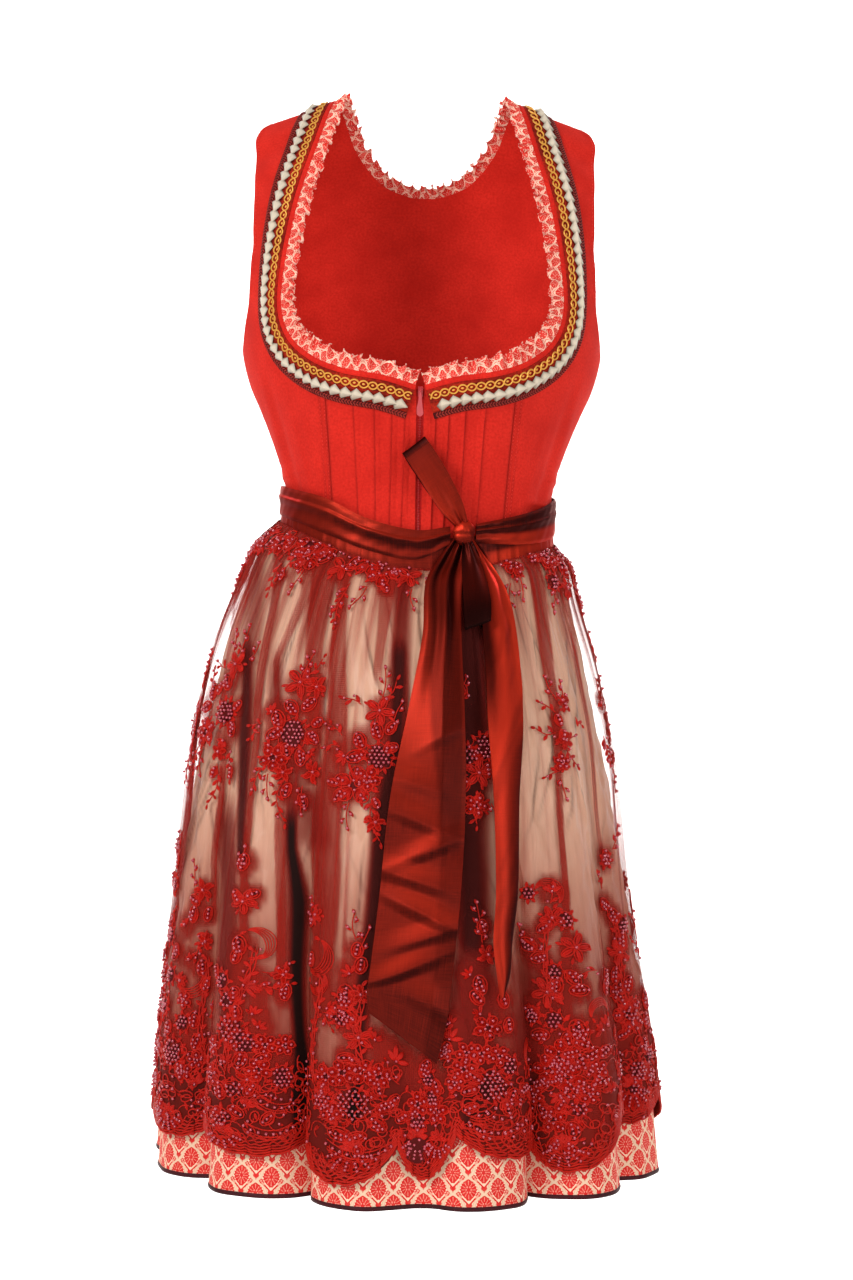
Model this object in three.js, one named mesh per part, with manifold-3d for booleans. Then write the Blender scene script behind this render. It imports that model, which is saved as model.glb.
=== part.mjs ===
// A worn dirndl with its apron: a fitted bodice with wide straps and a deep U neckline edged with a
// gathered frill, a chain braid, a folded ribbon and a gimp; a gathered knee-length skirt with a piped
// hem; and an apron of a plain underlay and a lace overlay, tied with a long sash whose bow sits beside
// the centre front. Every cloth piece is a wall that keeps the hollow form it has when worn.
//
// Millimetres, +Z up. The wearer faces -Y and +X is the wearer's left. The origin is the point between
// the two shoulders that carry the dress, level with the neck end of the shoulder seams.

import * as THREE from "three";
import { mergeVertices } from "three/addons/utils/BufferGeometryUtils.js";
import Module from "manifold-3d";

const wasm = await Module();
wasm.setup();

// ---------------------------------------------------------------- driving dimensions

const BODICE_CLOTH = 1.5; // face cloth and its backing
const SKIRT_CLOTH = 1.2;
const APRON_CLOTH = 1.0;
const SASH_CLOTH = 1.0;
const GAP = 0.4; // clearance between neighbouring pieces
const TRIM_GAP = 0.7; // clearance under the trims, which follow the cloth less closely

const HEM_HEIGHT = -1024;
const WAIST_SIDE = -400; // waist seam at the side seams
const WAIST_DIP = 38; // how far the waist seam drops towards the centre front
const WAIST_TILT = 10; // how far the seam hangs lower at the wearer's left, and higher at the right
const APRON_REACH = 105; // degrees either side of the centre front

const rad = THREE.MathUtils.degToRad;
const { clamp, smoothstep, lerp } = THREE.MathUtils;

// ---------------------------------------------------------------- tables

// The bodice form, a row for each level. `along` is the way down the cloth from the shoulder line.
const BODICE_LEVELS = [
  { along: 500, height: -450, halfWidth: 127, front: 101, back: 92 },
  { along: 455, height: -405, halfWidth: 126, front: 100, back: 90 },
  { along: 415, height: -365, halfWidth: 132, front: 106, back: 94 },
  { along: 371, height: -322, halfWidth: 147, front: 118, back: 99 },
  { along: 331, height: -283, halfWidth: 165, front: 128, back: 102 },
  { along: 292, height: -245, halfWidth: 174, front: 131, back: 104 },
  { along: 246, height: -200, halfWidth: 176, front: 122, back: 106 },
  { along: 201, height: -156, halfWidth: 181, front: 109, back: 107 },
  { along: 160, height: -118, halfWidth: 184, front: 93, back: 103 },
  { along: 120, height: -82, halfWidth: 186, front: 75, back: 90 },
  { along: 78, height: -46, halfWidth: 187, front: 52, back: 68 },
  { along: 38, height: -14, halfWidth: 188, front: 27, back: 38 },
  { along: 0, height: 0, halfWidth: 188, front: 0, back: 0 },
];

// The neckline edge, from the centre front over the shoulder to the centre back. `along` is negative on
// the front and positive on the back.
const NECKLINE = [
  { x: 4, along: -337 },
  { x: 32, along: -329 },
  { x: 72, along: -322 },
  { x: 101, along: -309 },
  { x: 122, along: -288 },
  { x: 131, along: -258 },
  { x: 128, along: -215 },
  { x: 118, along: -155 },
  { x: 104, along: -92 },
  { x: 92, along: -38 },
  { x: 86, along: 0 },
  { x: 80, along: 36 },
  { x: 69, along: 72 },
  { x: 46, along: 103 },
  { x: 18, along: 117 },
  { x: 0, along: 119 },
];

// The armhole seen from the side: how far it reaches to the front and to the back at each height. It runs
// up to the outer end of the shoulder seam.
const ARMHOLE = [
  { height: -252, front: 0, back: 4 },
  { height: -243, front: -22, back: 30 },
  { height: -215, front: -38, back: 46 },
  { height: -160, front: -47, back: 50 },
  { height: -118, front: -44, back: 47 },
  { height: -87, front: -36, back: 41 },
  { height: -63, front: -25, back: 31 },
  { height: -39, front: -11, back: 16 },
  { height: -26, front: -1, back: 1 },
];

// The trims that lie side by side on the neckline. Distances are from the neckline edge, out on the cloth.
const NECK_TRIMS = [
  { name: "neck_binding", from: 0.4, to: 5.4, lift: 1.2, colour: 0xd5281c },
  { name: "neck_chain_braid", from: 5.8, to: 17.4, lift: 1.6, colour: 0xa8672a },
  { name: "neck_folded_ribbon", from: 17.8, to: 27.2, lift: 2.6, colour: 0xcfc0a4 },
  { name: "neck_gimp", from: 27.6, to: 33.4, lift: 1.4, colour: 0x5c1c1c },
];
const FRILL = { atFront: 18, atStraps: 12, thickness: 2.4 }; // how far it stands past the neckline edge

// The pressed tucks of the front panels: their distance from the centre front, under the neckline's trims
// and at the waist.
const TUCKS = {
  right: [
    { top: 11, bottom: 13 },
    { top: 23, bottom: 24 },
    { top: 39, bottom: 36 },
    { top: 58, bottom: 51 },
  ],
  left: [
    { top: 12, bottom: 9 },
    { top: 24, bottom: 20 },
    { top: 39, bottom: 34 },
    { top: 57, bottom: 50 },
  ],
};
const TUCK = { width: 5, lift: 0.9, top: -324, bottom: -442 }; // they run on under the trims
const PRINCESS_SEAM = { top: 91, bottom: 75 }; // the front panel's outer seam, from the centre front
const ZIP_EDGE = { top: 4, bottom: 2.2 }; // the front panel's inner edge, from the centre front

// The skirt's form over its ridges. `height` is as at the side; elsewhere the rows start from the waist
// seam. `sway` is how far the skirt hangs off the centre.
const SKIRT_LEVELS = [
  { height: -400, halfWidth: 124, front: 98, back: 88, sway: 0 },
  { height: -418, halfWidth: 128, front: 101, back: 91, sway: -1 },
  { height: -436, halfWidth: 143, front: 112, back: 102, sway: -4 },
  { height: -480, halfWidth: 158, front: 134, back: 118, sway: -8 },
  { height: -540, halfWidth: 177, front: 158, back: 137, sway: -10 },
  { height: -640, halfWidth: 199, front: 184, back: 162, sway: -10 },
  { height: -780, halfWidth: 219, front: 212, back: 190, sway: -9 },
  { height: -900, halfWidth: 236, front: 234, back: 210, sway: -4 },
  { height: -1024, halfWidth: 247, front: 252, back: 224, sway: -1 },
];

// The skirt's folds, a row for each valley. Angles are from the centre front, positive to the wearer's
// left. `depth` and `roll` are millimetres at the hem; `start` is where down the skirt the valley begins,
// from 0 to 1.
const FOLDS = [
  { angle: -171, depth: 30, roll: 7, start: 0.1 },
  { angle: -140, depth: 34, roll: 8, start: 0.05 },
  { angle: -112, depth: 26, roll: 6, start: 0.2 },
  { angle: -84, depth: 30, roll: 8, start: 0.1 },
  { angle: -55, depth: 34, roll: 9, start: 0.12 },
  { angle: -24, depth: 46, roll: 10, start: 0.08 },
  { angle: 4, depth: 16, roll: 2, start: 0.3 },
  { angle: 33, depth: 44, roll: 10, start: 0.08 },
  { angle: 63, depth: 26, roll: 7, start: 0.2 },
  { angle: 90, depth: 32, roll: 8, start: 0.1 },
  { angle: 121, depth: 28, roll: 7, start: 0.15 },
  { angle: 152, depth: 34, roll: 8, start: 0.05 },
];

// ---------------------------------------------------------------- small tools

// Cubic interpolation of one column of a table whose rows are in order of `key`.
function sample(rows, key, column, at) {
  const sign = rows[rows.length - 1][key] > rows[0][key] ? 1 : -1;
  let i = rows.findIndex((row) => sign * row[key] >= sign * at);
  i = clamp(i < 0 ? rows.length - 1 : i, 1, rows.length - 1);
  const [a, b] = [rows[i - 1], rows[i]];
  const slope = (j) => {
    const [before, after] = [rows[Math.max(j - 1, 0)], rows[Math.min(j + 1, rows.length - 1)]];
    return (after[column] - before[column]) / (after[key] - before[key]);
  };
  const span = b[key] - a[key];
  const t = clamp((at - a[key]) / span, 0, 1);
  const [t2, t3] = [t * t, t * t * t];
  return (
    (2 * t3 - 3 * t2 + 1) * a[column] +
    (t3 - 2 * t2 + t) * span * slope(i - 1) +
    (3 * t2 - 2 * t3) * b[column] +
    (t3 - t2) * span * slope(i)
  );
}

const range = (count, from, to) =>
  Array.from({ length: count + 1 }, (_, i) => from + ((to - from) * i) / count);

// A closed manifold-3d solid from corner points and triangles. Corners that coincide become one.
function toSolid(points, triangles) {
  const geometry = new THREE.BufferGeometry();
  const position = new Float32Array(points.flatMap((p) => [p.x, p.y, p.z]));
  geometry.setAttribute("position", new THREE.BufferAttribute(position, 3));
  geometry.setIndex(triangles.flat());
  return geometryToSolid(geometry);
}

function geometryToSolid(geometry) {
  const bare = geometry.clone();
  bare.deleteAttribute("normal");
  bare.deleteAttribute("uv");
  const merged = mergeVertices(bare, 1e-3);
  const corners = merged.index.array;
  const kept = [];
  for (let i = 0; i < corners.length; i += 3) {
    const [a, b, c] = [corners[i], corners[i + 1], corners[i + 2]];
    if (a !== b && b !== c && c !== a) kept.push(a, b, c);
  }
  return new wasm.Manifold(
    new wasm.Mesh({
      numProp: 3,
      vertProperties: merged.attributes.position.array,
      triVerts: new Uint32Array(kept),
    }),
  );
}

function solidToGeometry(solid) {
  const { vertProperties, triVerts, numProp } = solid.getMesh();
  const geometry = new THREE.BufferGeometry();
  const buffer = new THREE.InterleavedBuffer(vertProperties, numProp);
  geometry.setAttribute("position", new THREE.InterleavedBufferAttribute(buffer, 3, 0));
  geometry.setIndex(new THREE.BufferAttribute(triVerts, 1));
  const flat = geometry.toNonIndexed();
  flat.computeVertexNormals();
  return flat;
}

// A wall of even thickness whose outside passes through a grid of points, rows[r][c]. With `loop` the last
// column joins the first. The outside is the side from which rows run down and columns run to the right.
function wall(rows, thickness, loop = false) {
  const [height, width] = [rows.length, rows[0].length];
  const column = (c) => (loop ? (c + width) % width : clamp(c, 0, width - 1));
  const at = (r, c) => rows[clamp(r, 0, height - 1)][column(c)];
  const inside = rows.map((row, r) =>
    row.map((point, c) => {
      const across = at(r, c + 1).clone().sub(at(r, c - 1));
      const down = at(r + 1, c).clone().sub(at(r - 1, c));
      return point.clone().addScaledVector(down.cross(across).normalize(), -thickness);
    }),
  );
  const points = [...rows.flat(), ...inside.flat()];
  const outer = (r, c) => r * width + column(c);
  const inner = (r, c) => height * width + outer(r, c);
  const triangles = [];
  const quad = (a, b, c, d) => triangles.push([a, b, c], [a, c, d]);
  const lastColumn = loop ? width : width - 1;
  for (let r = 0; r < height - 1; r++) {
    for (let c = 0; c < lastColumn; c++) {
      quad(outer(r, c), outer(r + 1, c), outer(r + 1, c + 1), outer(r, c + 1));
      quad(inner(r, c), inner(r, c + 1), inner(r + 1, c + 1), inner(r + 1, c));
    }
    if (!loop) {
      quad(outer(r, 0), inner(r, 0), inner(r + 1, 0), outer(r + 1, 0));
      const c = width - 1;
      quad(outer(r, c), outer(r + 1, c), inner(r + 1, c), inner(r, c));
    }
  }
  for (let c = 0; c < lastColumn; c++) {
    quad(outer(0, c), outer(0, c + 1), inner(0, c + 1), inner(0, c));
    const r = height - 1;
    quad(outer(r, c), inner(r, c), inner(r, c + 1), outer(r, c + 1));
  }
  return toSolid(points, triangles);
}

const group = new THREE.Group();
group.name = "dirndl";

function addPiece(name, solid, colour, roughness = 0.85, metalness = 0) {
  const material = new THREE.MeshStandardMaterial({ color: colour, roughness, metalness });
  const mesh = new THREE.Mesh(solidToGeometry(solid), material);
  mesh.name = name;
  group.add(mesh);
}

const COLOUR = {
  bodice: 0xd3251a,
  print: 0xd9564a,
  piping: 0x3a1416,
  underlay: 0xc79a84,
  lace: 0x9c1512,
  sash: 0x6e1c17,
  zip: 0xc4282a,
};

// ---------------------------------------------------------------- the bodice form

const BODICE_PROFILE = [
  ...BODICE_LEVELS.map((row) => ({ ...row, along: -row.along, depth: -row.front })),
  ...BODICE_LEVELS.slice(0, -1)
    .reverse()
    .map((row) => ({ ...row, depth: row.back })),
];
const profile = (column, along) => sample(BODICE_PROFILE, "along", column, along);

const BUST = { x: 80, height: -283, bulge: 13, spread: 50 };
const SHOULDER = { neck: 66, pitch: 0.38, run: 12, fade: 170 };

// A point of the bodice form. `angle` (radians) is 0 at the centre and a quarter turn at the side seam.
function bodicePoint(angle, along) {
  const x = profile("halfWidth", along) * Math.sin(angle);
  const outward = Math.max(Math.abs(x) - SHOULDER.neck, 0);
  const slope = (-SHOULDER.pitch * outward * outward) / (outward + SHOULDER.run);
  const nearShoulder = Math.cos((Math.PI / 2) * Math.min(Math.abs(along) / SHOULDER.fade, 1)) ** 2;
  const z = profile("height", along) + slope * nearShoulder;
  let y = profile("depth", along) * Math.cos(angle);
  if (along < 0) {
    const offCentre = (Math.abs(x) - BUST.x) / BUST.spread;
    const offHeight = (z - BUST.height) / BUST.spread;
    y -= BUST.bulge * Math.exp(-offCentre * offCentre - offHeight * offHeight) * Math.cos(angle);
  }
  return new THREE.Vector3(x, y, z);
}

// The form's two directions at a point, and its outward normal.
function bodiceFrame(angle, along) {
  const [stepAngle, stepAlong] = [0.004, 0.5];
  const across = bodicePoint(angle + stepAngle, along)
    .sub(bodicePoint(angle - stepAngle, along))
    .divideScalar(2 * stepAngle);
  const over = bodicePoint(angle, along + stepAlong)
    .sub(bodicePoint(angle, along - stepAlong))
    .divideScalar(2 * stepAlong);
  const normal = across.clone().cross(over).normalize();
  return { across, over, normal };
}

function liftedBodicePoint(angle, along, lift) {
  return bodicePoint(angle, along).addScaledVector(bodiceFrame(angle, along).normal, lift);
}

// The angle of a point of the form at a distance x from the centre.
const angleAt = (x, along) => Math.asin(clamp(x / profile("halfWidth", along), -1, 1));

// The level of the form at a height, on its front.
function frontLevelAt(height) {
  let [low, high] = [-BODICE_LEVELS[0].along, 0];
  while (high - low > 1e-6) {
    const middle = (low + high) / 2;
    if (profile("height", middle) < height) low = middle;
    else high = middle;
  }
  return (low + high) / 2;
}

const frontPoint = (x, height, lift) => {
  const along = frontLevelAt(height);
  return liftedBodicePoint(angleAt(x, along), along, lift);
};

// The closed dome of the form, drawn in by `inset`, from below the waist to the shoulder line.
function bodiceDome(inset, columns, levels) {
  const edge = rad(89.6);
  const angles = range(columns, -edge, edge);
  const rings = levels.map((level) => [
    ...angles.map((angle) => liftedBodicePoint(angle, -level, -inset)),
    ...[...angles].reverse().map((angle) => liftedBodicePoint(angle, level, -inset)),
  ]);
  const width = rings[0].length;
  const points = rings.flat();
  const triangles = [];
  for (let r = 0; r < rings.length - 1; r++) {
    for (let c = 0; c < width; c++) {
      const [a, b] = [r * width + c, r * width + ((c + 1) % width)];
      triangles.push([a, b, b + width], [a, b + width, a + width]);
    }
  }
  const floor = new THREE.Vector3(0, 0, rings[0].reduce((sum, p) => sum + p.z, 0) / width);
  points.push(floor);
  for (let c = 0; c < width; c++) triangles.push([points.length - 1, (c + 1) % width, c]);
  return toSolid(points, triangles);
}

// A prism whose outline is seen from the front (x, z), from y = from to y = to.
function frontPrism(outline, from, to) {
  const shape = new THREE.Shape(outline.map(([x, z]) => new THREE.Vector2(x, z)));
  const geometry = new THREE.ExtrudeGeometry(shape, { depth: to - from, bevelEnabled: false });
  geometry.rotateX(Math.PI / 2);
  geometry.translate(0, to, 0);
  return geometryToSolid(geometry);
}

// A prism whose outline is seen from the side (y, z), from x = from to x = to.
function sidePrism(outline, from, to) {
  const shape = new THREE.Shape(outline.map(([y, z]) => new THREE.Vector2(y, z)));
  const geometry = new THREE.ExtrudeGeometry(shape, { depth: to - from, bevelEnabled: false });
  geometry.applyMatrix4(new THREE.Matrix4().set(0, 0, 1, from, 1, 0, 0, 0, 0, 1, 0, 0, 0, 0, 0, 1));
  return geometryToSolid(geometry);
}

// ---------------------------------------------------------------- the neckline

// Where the trims have their corners, counted in the rows of the neckline's table.
const NECK_STATIONS = [0, 1, 2, 3, 3.5, 4, 4.5, 5, 6, 7, 8, 9, 9.5, 10, 10.5, 11, 12, 13, 14, 15];
const NECK_WALK = 6; // steps on the way out from the edge
const neckCurve = new THREE.SplineCurve(NECKLINE.map((row) => new THREE.Vector2(row.x, row.along)));

// The point `distance` out from the neckline edge on the cloth, at share s of one side, lifted off the cloth.
// It steps away from the edge at right angles, along the form.
function neckPoint(s, side, distance, lift) {
  const edge = neckCurve.getPoint(s);
  const [along, angle] = [edge.y, angleAt(edge.x, edge.y) * side];
  const heading = neckCurve.getTangent(s);
  const ahead = edge.clone().addScaledVector(heading, 0.5);
  const tangent = bodicePoint(angleAt(ahead.x, ahead.y) * side, ahead.y).sub(bodicePoint(angle, along));
  const here = { angle, along };
  let direction = null;
  for (let i = 0; i < NECK_WALK; i++) {
    const { across, over, normal } = bodiceFrame(here.angle, here.along);
    if (!direction) direction = tangent.clone().cross(normal).multiplyScalar(side);
    direction.addScaledVector(normal, -direction.dot(normal)).normalize();
    const [aa, ao, oo] = [across.dot(across), across.dot(over), over.dot(over)];
    const [da, dd] = [across.dot(direction), over.dot(direction)];
    const size = distance / NECK_WALK / (aa * oo - ao * ao);
    here.angle += size * (da * oo - dd * ao);
    here.along += size * (dd * aa - da * ao);
  }
  return liftedBodicePoint(here.angle, here.along, lift);
}

// A band along the whole neckline, from the right centre front round the back to the left centre front.
// Its edges `from` and `to` are distances that may vary along the neckline.
function neckBand(from, to, lift, thickness) {
  const shares = NECK_STATIONS.map((station) => station / (NECKLINE.length - 1));
  const stations = [
    ...shares.map((s) => [s, -1]),
    ...shares.slice(0, -1).reverse().map((s) => [s, 1]),
  ];
  const rows = [from, to].map((distance) =>
    stations.map(([s, side]) => neckPoint(s, side, distance(s), lift + thickness)),
  );
  return wall(rows, thickness);
}

// ---------------------------------------------------------------- the bodice pieces

function makeBodice() {
  const levels = [500, 455, 410, 365, 325, 290, 255, 210, 165, 120, 75, 35, 0];
  const shell = bodiceDome(0, 15, levels).subtract(bodiceDome(BODICE_CLOTH, 15, levels.toSpliced(0, 1, 520)));

  // The neck opening, seen from the front and from the back. It is cut through one half at a time.
  const opening = (front) => {
    const shares = range(30, 0, 1).filter((s) => neckCurve.getPoint(s).y * front < 0);
    const side = shares.map((s) => {
      const edge = neckCurve.getPoint(s);
      const point = bodicePoint(angleAt(edge.x, edge.y), edge.y);
      return [point.x, point.z];
    });
    if (front < 0) side.reverse();
    const half = [...side, [86, 200]];
    const mirrored = [...half].reverse().map(([x, z]) => [-x, z]);
    return [...mirrored, ...half].reverse();
  };
  const neckFront = frontPrism(opening(1), -260, 0.5);
  const neckBack = frontPrism(opening(-1), 0, 260);

  const armholeOutline = [
    ...ARMHOLE.map((row) => [row.front, row.height]),
    ...[...ARMHOLE].reverse().map((row) => [row.back, row.height]),
  ];
  let body = shell.subtract(neckFront).subtract(neckBack);
  for (const [from, to] of [
    [-260, -110],
    [110, 260],
  ]) {
    body = body.subtract(sidePrism(armholeOutline, from, to));
  }

  // Pieces are cut from the shell by their outlines, with a gap along each seam.
  const half = GAP / 2;
  const waistCut = frontPrism(
    [
      [-260, -560],
      [260, -560],
      ...range(16, 260, -260).map((x) => [x, waistHeight(x)]),
    ],
    -260,
    0.5,
  );
  const backWaist = frontPrism(
    [
      [-260, -560],
      [260, -560],
      ...range(4, 260, -260).map((x) => [x, backWaistHeight(x)]),
    ],
    0,
    260,
  );
  const trimmed = body.subtract(waistCut).subtract(backWaist);

  const back = trimmed.intersect(
    frontPrism(
      [
        [-300, -600],
        [300, -600],
        [300, 100],
        [-300, 100],
      ],
      half,
      300,
    ),
  );
  addPiece("bodice_back", back, COLOUR.bodice);

  const [top, bottom] = [-262, -480];
  for (const [word, side] of [
    ["right", -1],
    ["left", 1],
  ]) {
    const mirror = (outline) => {
      const points = outline.map(([x, z]) => [side * x, z]);
      return side < 0 ? points.reverse() : points;
    };
    const centre = mirror([
      [ZIP_EDGE.bottom, bottom],
      [PRINCESS_SEAM.bottom - half, bottom],
      [PRINCESS_SEAM.top - half, top],
      [ZIP_EDGE.top, top],
    ]);
    let panel = trimmed.intersect(frontPrism(centre, -300, -half));
    for (const tuck of TUCKS[word]) {
      const rows = range(4, TUCK.top, TUCK.bottom).map((height) => {
        const x = lerp(tuck.top, tuck.bottom, (height - TUCK.top) / (TUCK.bottom - TUCK.top));
        return [-0.5, 0.5].map((share) => frontPoint(side * x + share * TUCK.width, height, TUCK.lift));
      });
      panel = panel.add(wall(rows, TUCK.lift + 0.8));
    }
    addPiece(`bodice_front_${word}`, panel.subtract(waistCut), COLOUR.bodice);

    const outer = mirror([
      [PRINCESS_SEAM.bottom + half, bottom],
      [300, bottom],
      [300, 100],
      [40, 100],
      [40, top + 60],
      [PRINCESS_SEAM.top + half, top],
    ]);
    addPiece(`bodice_side_${word}`, trimmed.intersect(frontPrism(outer, -300, -half)), COLOUR.bodice);
  }
}

// The waist seam's height at a distance x from the centre, on the front and on the back.
const waistShare = (x) => clamp(x / 130, -1, 1);
const backWaistHeight = (x) => WAIST_SIDE - WAIST_TILT * waistShare(x);
const waistHeight = (x) => backWaistHeight(x) - WAIST_DIP * Math.cos((Math.PI / 2) * waistShare(x));

function makeNeckTrims() {
  for (const trim of NECK_TRIMS) {
    addPiece(trim.name, neckBand(() => trim.from, () => trim.to, TRIM_GAP, trim.lift), trim.colour);
  }
  const reach = (s) => -lerp(FRILL.atFront, FRILL.atStraps, smoothstep(s, 0.3, 0.5));
  addPiece("neck_frill", neckBand(reach, () => -0.9, -0.6, FRILL.thickness), COLOUR.print);
}

// ---------------------------------------------------------------- the zip

const ZIP = { top: -293, bottom: -430, tape: 12 };
const SLIDER = { height: -291, width: 4.4, length: 9, thickness: 3.2, ear: 0.8 };
const PULL = { length: 24, width: 6.2, neck: 2.6, thickness: 1.4, eye: 1.1, rim: 1.9 };
const PIN = { radius: 0.7, length: 3.8, lift: 2.2, fall: 2.6 };

function boxAt(x, y, z, width, depth, height) {
  const geometry = new THREE.BoxGeometry(width, depth, height);
  geometry.translate(x, y, z);
  return geometryToSolid(geometry);
}

function rodAcross(radius, length, y, z) {
  const geometry = new THREE.CylinderGeometry(radius, radius, length, 16);
  geometry.rotateZ(Math.PI / 2);
  geometry.translate(0, y, z);
  return geometryToSolid(geometry);
}

function makeZip() {
  const under = -BODICE_CLOTH - GAP - 0.3;
  const rows = range(6, ZIP.top, ZIP.bottom).map((height) =>
    [-0.5, 0.5].map((share) => frontPoint(share * ZIP.tape, height, under)),
  );
  addPiece("zip_tape", wall(rows, 1), COLOUR.zip);

  // The slider is made upright at the origin, with its back face at y = 0 and its top at z = 0, and is
  // then laid on the tape at the slope that the front has there. Two ears on its face carry the pull's pin.
  const upper = frontPoint(0, SLIDER.height, under + GAP);
  const lower = frontPoint(0, SLIDER.height - SLIDER.length, under + GAP);
  const slope = Math.atan2(lower.y - upper.y, upper.z - lower.z);
  const [face, pinY] = [-SLIDER.thickness, -SLIDER.thickness - PIN.lift];
  let slider = boxAt(0, face / 2, -SLIDER.length / 2, SLIDER.width, SLIDER.thickness, SLIDER.length);
  for (const side of [-1, 1]) {
    const x = (side * (PIN.length - SLIDER.ear)) / 2;
    slider = slider.add(boxAt(x, (face + pinY) / 2 - 0.4, -PIN.fall, SLIDER.ear, PIN.lift + 1, 1.8));
  }
  slider = slider.add(rodAcross(PIN.radius, PIN.length, pinY, -PIN.fall));
  const lay = new THREE.Matrix4().makeRotationX(slope).setPosition(upper);
  const laid = solidToGeometry(slider).applyMatrix4(lay);
  addPiece("zip_slider", geometryToSolid(laid), COLOUR.zip, 0.35, 0.3);

  // The pull is a drop with an eye that turns on the pin, hanging straight down.
  const pin = new THREE.Vector3(0, pinY, -PIN.fall).applyMatrix4(lay);
  const drop = new THREE.Shape();
  const low = -PULL.length;
  drop.moveTo(-PULL.neck / 2, -1);
  drop.quadraticCurveTo(-PULL.neck / 2, low * 0.45, -PULL.width / 2, low * 0.66);
  drop.absarc(0, low + PULL.width / 2, PULL.width / 2, Math.PI, 2 * Math.PI);
  drop.quadraticCurveTo(PULL.neck / 2, low * 0.45, PULL.neck / 2, -1);
  const plate = new THREE.ExtrudeGeometry(drop, {
    depth: PULL.thickness,
    bevelEnabled: false,
    curveSegments: 6,
  });
  plate.translate(0, 0, -PULL.thickness / 2);
  plate.rotateX(Math.PI / 2);
  const eyeWidth = PIN.length - 2 * SLIDER.ear - 2 * 0.3;
  const pull = geometryToSolid(plate)
    .intersect(boxAt(0, 0, low / 2, eyeWidth, 10, -low))
    .add(geometryToSolid(plate).intersect(boxAt(0, 0, low / 2 - 4, 10, 10, -low - 1)))
    .add(rodAcross(PULL.rim, eyeWidth, 0, 0))
    .subtract(rodAcross(PULL.eye, PIN.length * 2, 0, 0))
    .translate([pin.x, pin.y, pin.z]);
  addPiece("zip_pull", pull, COLOUR.zip, 0.3, 0.2);
}

// ---------------------------------------------------------------- the skirt and the apron

const skirtLevel = (column, height) => sample(SKIRT_LEVELS, "height", column, height);

// A point of the skirt's form. `degrees` runs round from the centre front, `fold` scales the folds' depth and
// `lift` moves the point outwards.
function skirtPoint(degrees, height, fold, lift) {
  const waist = waistAt(degrees);
  const fall = clamp((height - waist) / (HEM_HEIGHT - waist), 0, 1);
  const level = lerp(WAIST_SIDE, HEM_HEIGHT, fall);
  let turn = degrees;
  while (turn < FOLDS[0].angle) turn += 360;
  while (turn >= FOLDS[0].angle + 360) turn -= 360;
  const i = FOLDS.findLastIndex((valley) => valley.angle <= turn + 1e-6);
  const [left, right] = [FOLDS[i], FOLDS[(i + 1) % FOLDS.length]];
  const width = (right.angle - left.angle + 360) % 360;
  const share = (turn - left.angle) / width;
  const grown = (valley) => smoothstep(fall, valley.start, 1.05) ** 0.8;
  const depth = lerp(left.depth * grown(left), right.depth * grown(right), share);
  const roll = lerp(left.roll * grown(left), right.roll * grown(right), share);
  const inward = fold * depth * (1 - Math.sin(Math.PI * share) ** 1.3);
  const sideways = -roll * Math.sin(2 * Math.PI * share);

  const angle = rad(turn);
  const halfWidth = skirtLevel("halfWidth", level);
  const reach = skirtLevel(Math.cos(angle) > 0 ? "front" : "back", level);
  const sway = skirtLevel("sway", level);
  const point = new THREE.Vector3(sway + halfWidth * Math.sin(angle), -reach * Math.cos(angle), height);
  const outward = new THREE.Vector3(reach * Math.sin(angle), -halfWidth * Math.cos(angle), 0).normalize();
  const tangent = new THREE.Vector3(-outward.y, outward.x, 0);
  return point.addScaledVector(outward, lift - inward).addScaledVector(tangent, sideways);
}

// The waist seam's height at an angle round from the centre front.
function waistAt(degrees) {
  const x = skirtLevel("halfWidth", WAIST_SIDE) * Math.sin(rad(degrees));
  return Math.cos(rad(degrees)) > 0 ? waistHeight(x) : backWaistHeight(x);
}

// The columns that shape each fold, as shares of the way from one valley to the next.
const FOLD_COLUMNS = [0, 0.13, 0.36, 0.64, 0.87];
const FOLD_ANGLES = FOLDS.flatMap((valley, i) => {
  const next = i + 1 < FOLDS.length ? FOLDS[i + 1].angle : FOLDS[0].angle + 360;
  return FOLD_COLUMNS.map((share) => lerp(valley.angle, next, share));
});
const SHAPING_ROWS = [0.08, 0.2, 0.42, 0.7]; // shares of the way from the waist to the hem, in every layer
const WAISTBAND = { above: 9, below: 18 }; // from the waist seam
const PIPING = { height: 4, thickness: 2 };

const underWaistband = (turn) => waistAt(turn) - WAISTBAND.below - 3 * GAP;

// The rows of one layer of the skirt, from under the waistband to its hem.
function skirtRows(angles, hem, fold, lift) {
  const heights = [
    underWaistband,
    ...SHAPING_ROWS.map((share) => (turn) => lerp(waistAt(turn), HEM_HEIGHT, share)),
    hem,
  ];
  return heights.map((height, row) =>
    angles.map((turn) => skirtPoint(turn, height(turn), fold, row ? lift : lift / 2)),
  );
}

function makeSkirt() {
  const seam = FOLD_ANGLES.map((turn) => skirtPoint(turn, waistAt(turn) - GAP, 1, 0));
  const rows = skirtRows(FOLD_ANGLES, () => HEM_HEIGHT + PIPING.height + GAP, 1, 0);
  addPiece("skirt", wall([seam, ...rows], SKIRT_CLOTH, true), COLOUR.print);
  const piping = [HEM_HEIGHT + PIPING.height, HEM_HEIGHT].map((height) =>
    FOLD_ANGLES.map((turn) => skirtPoint(turn, height, 1, 0.4)),
  );
  addPiece("skirt_piping", wall(piping, PIPING.thickness, true), COLOUR.piping);
}

const UNDERLAY_HEM = -938;
const LAYER = { underlay: 3.4, lace: 7 }; // how far each layer hangs off the skirt

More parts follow.
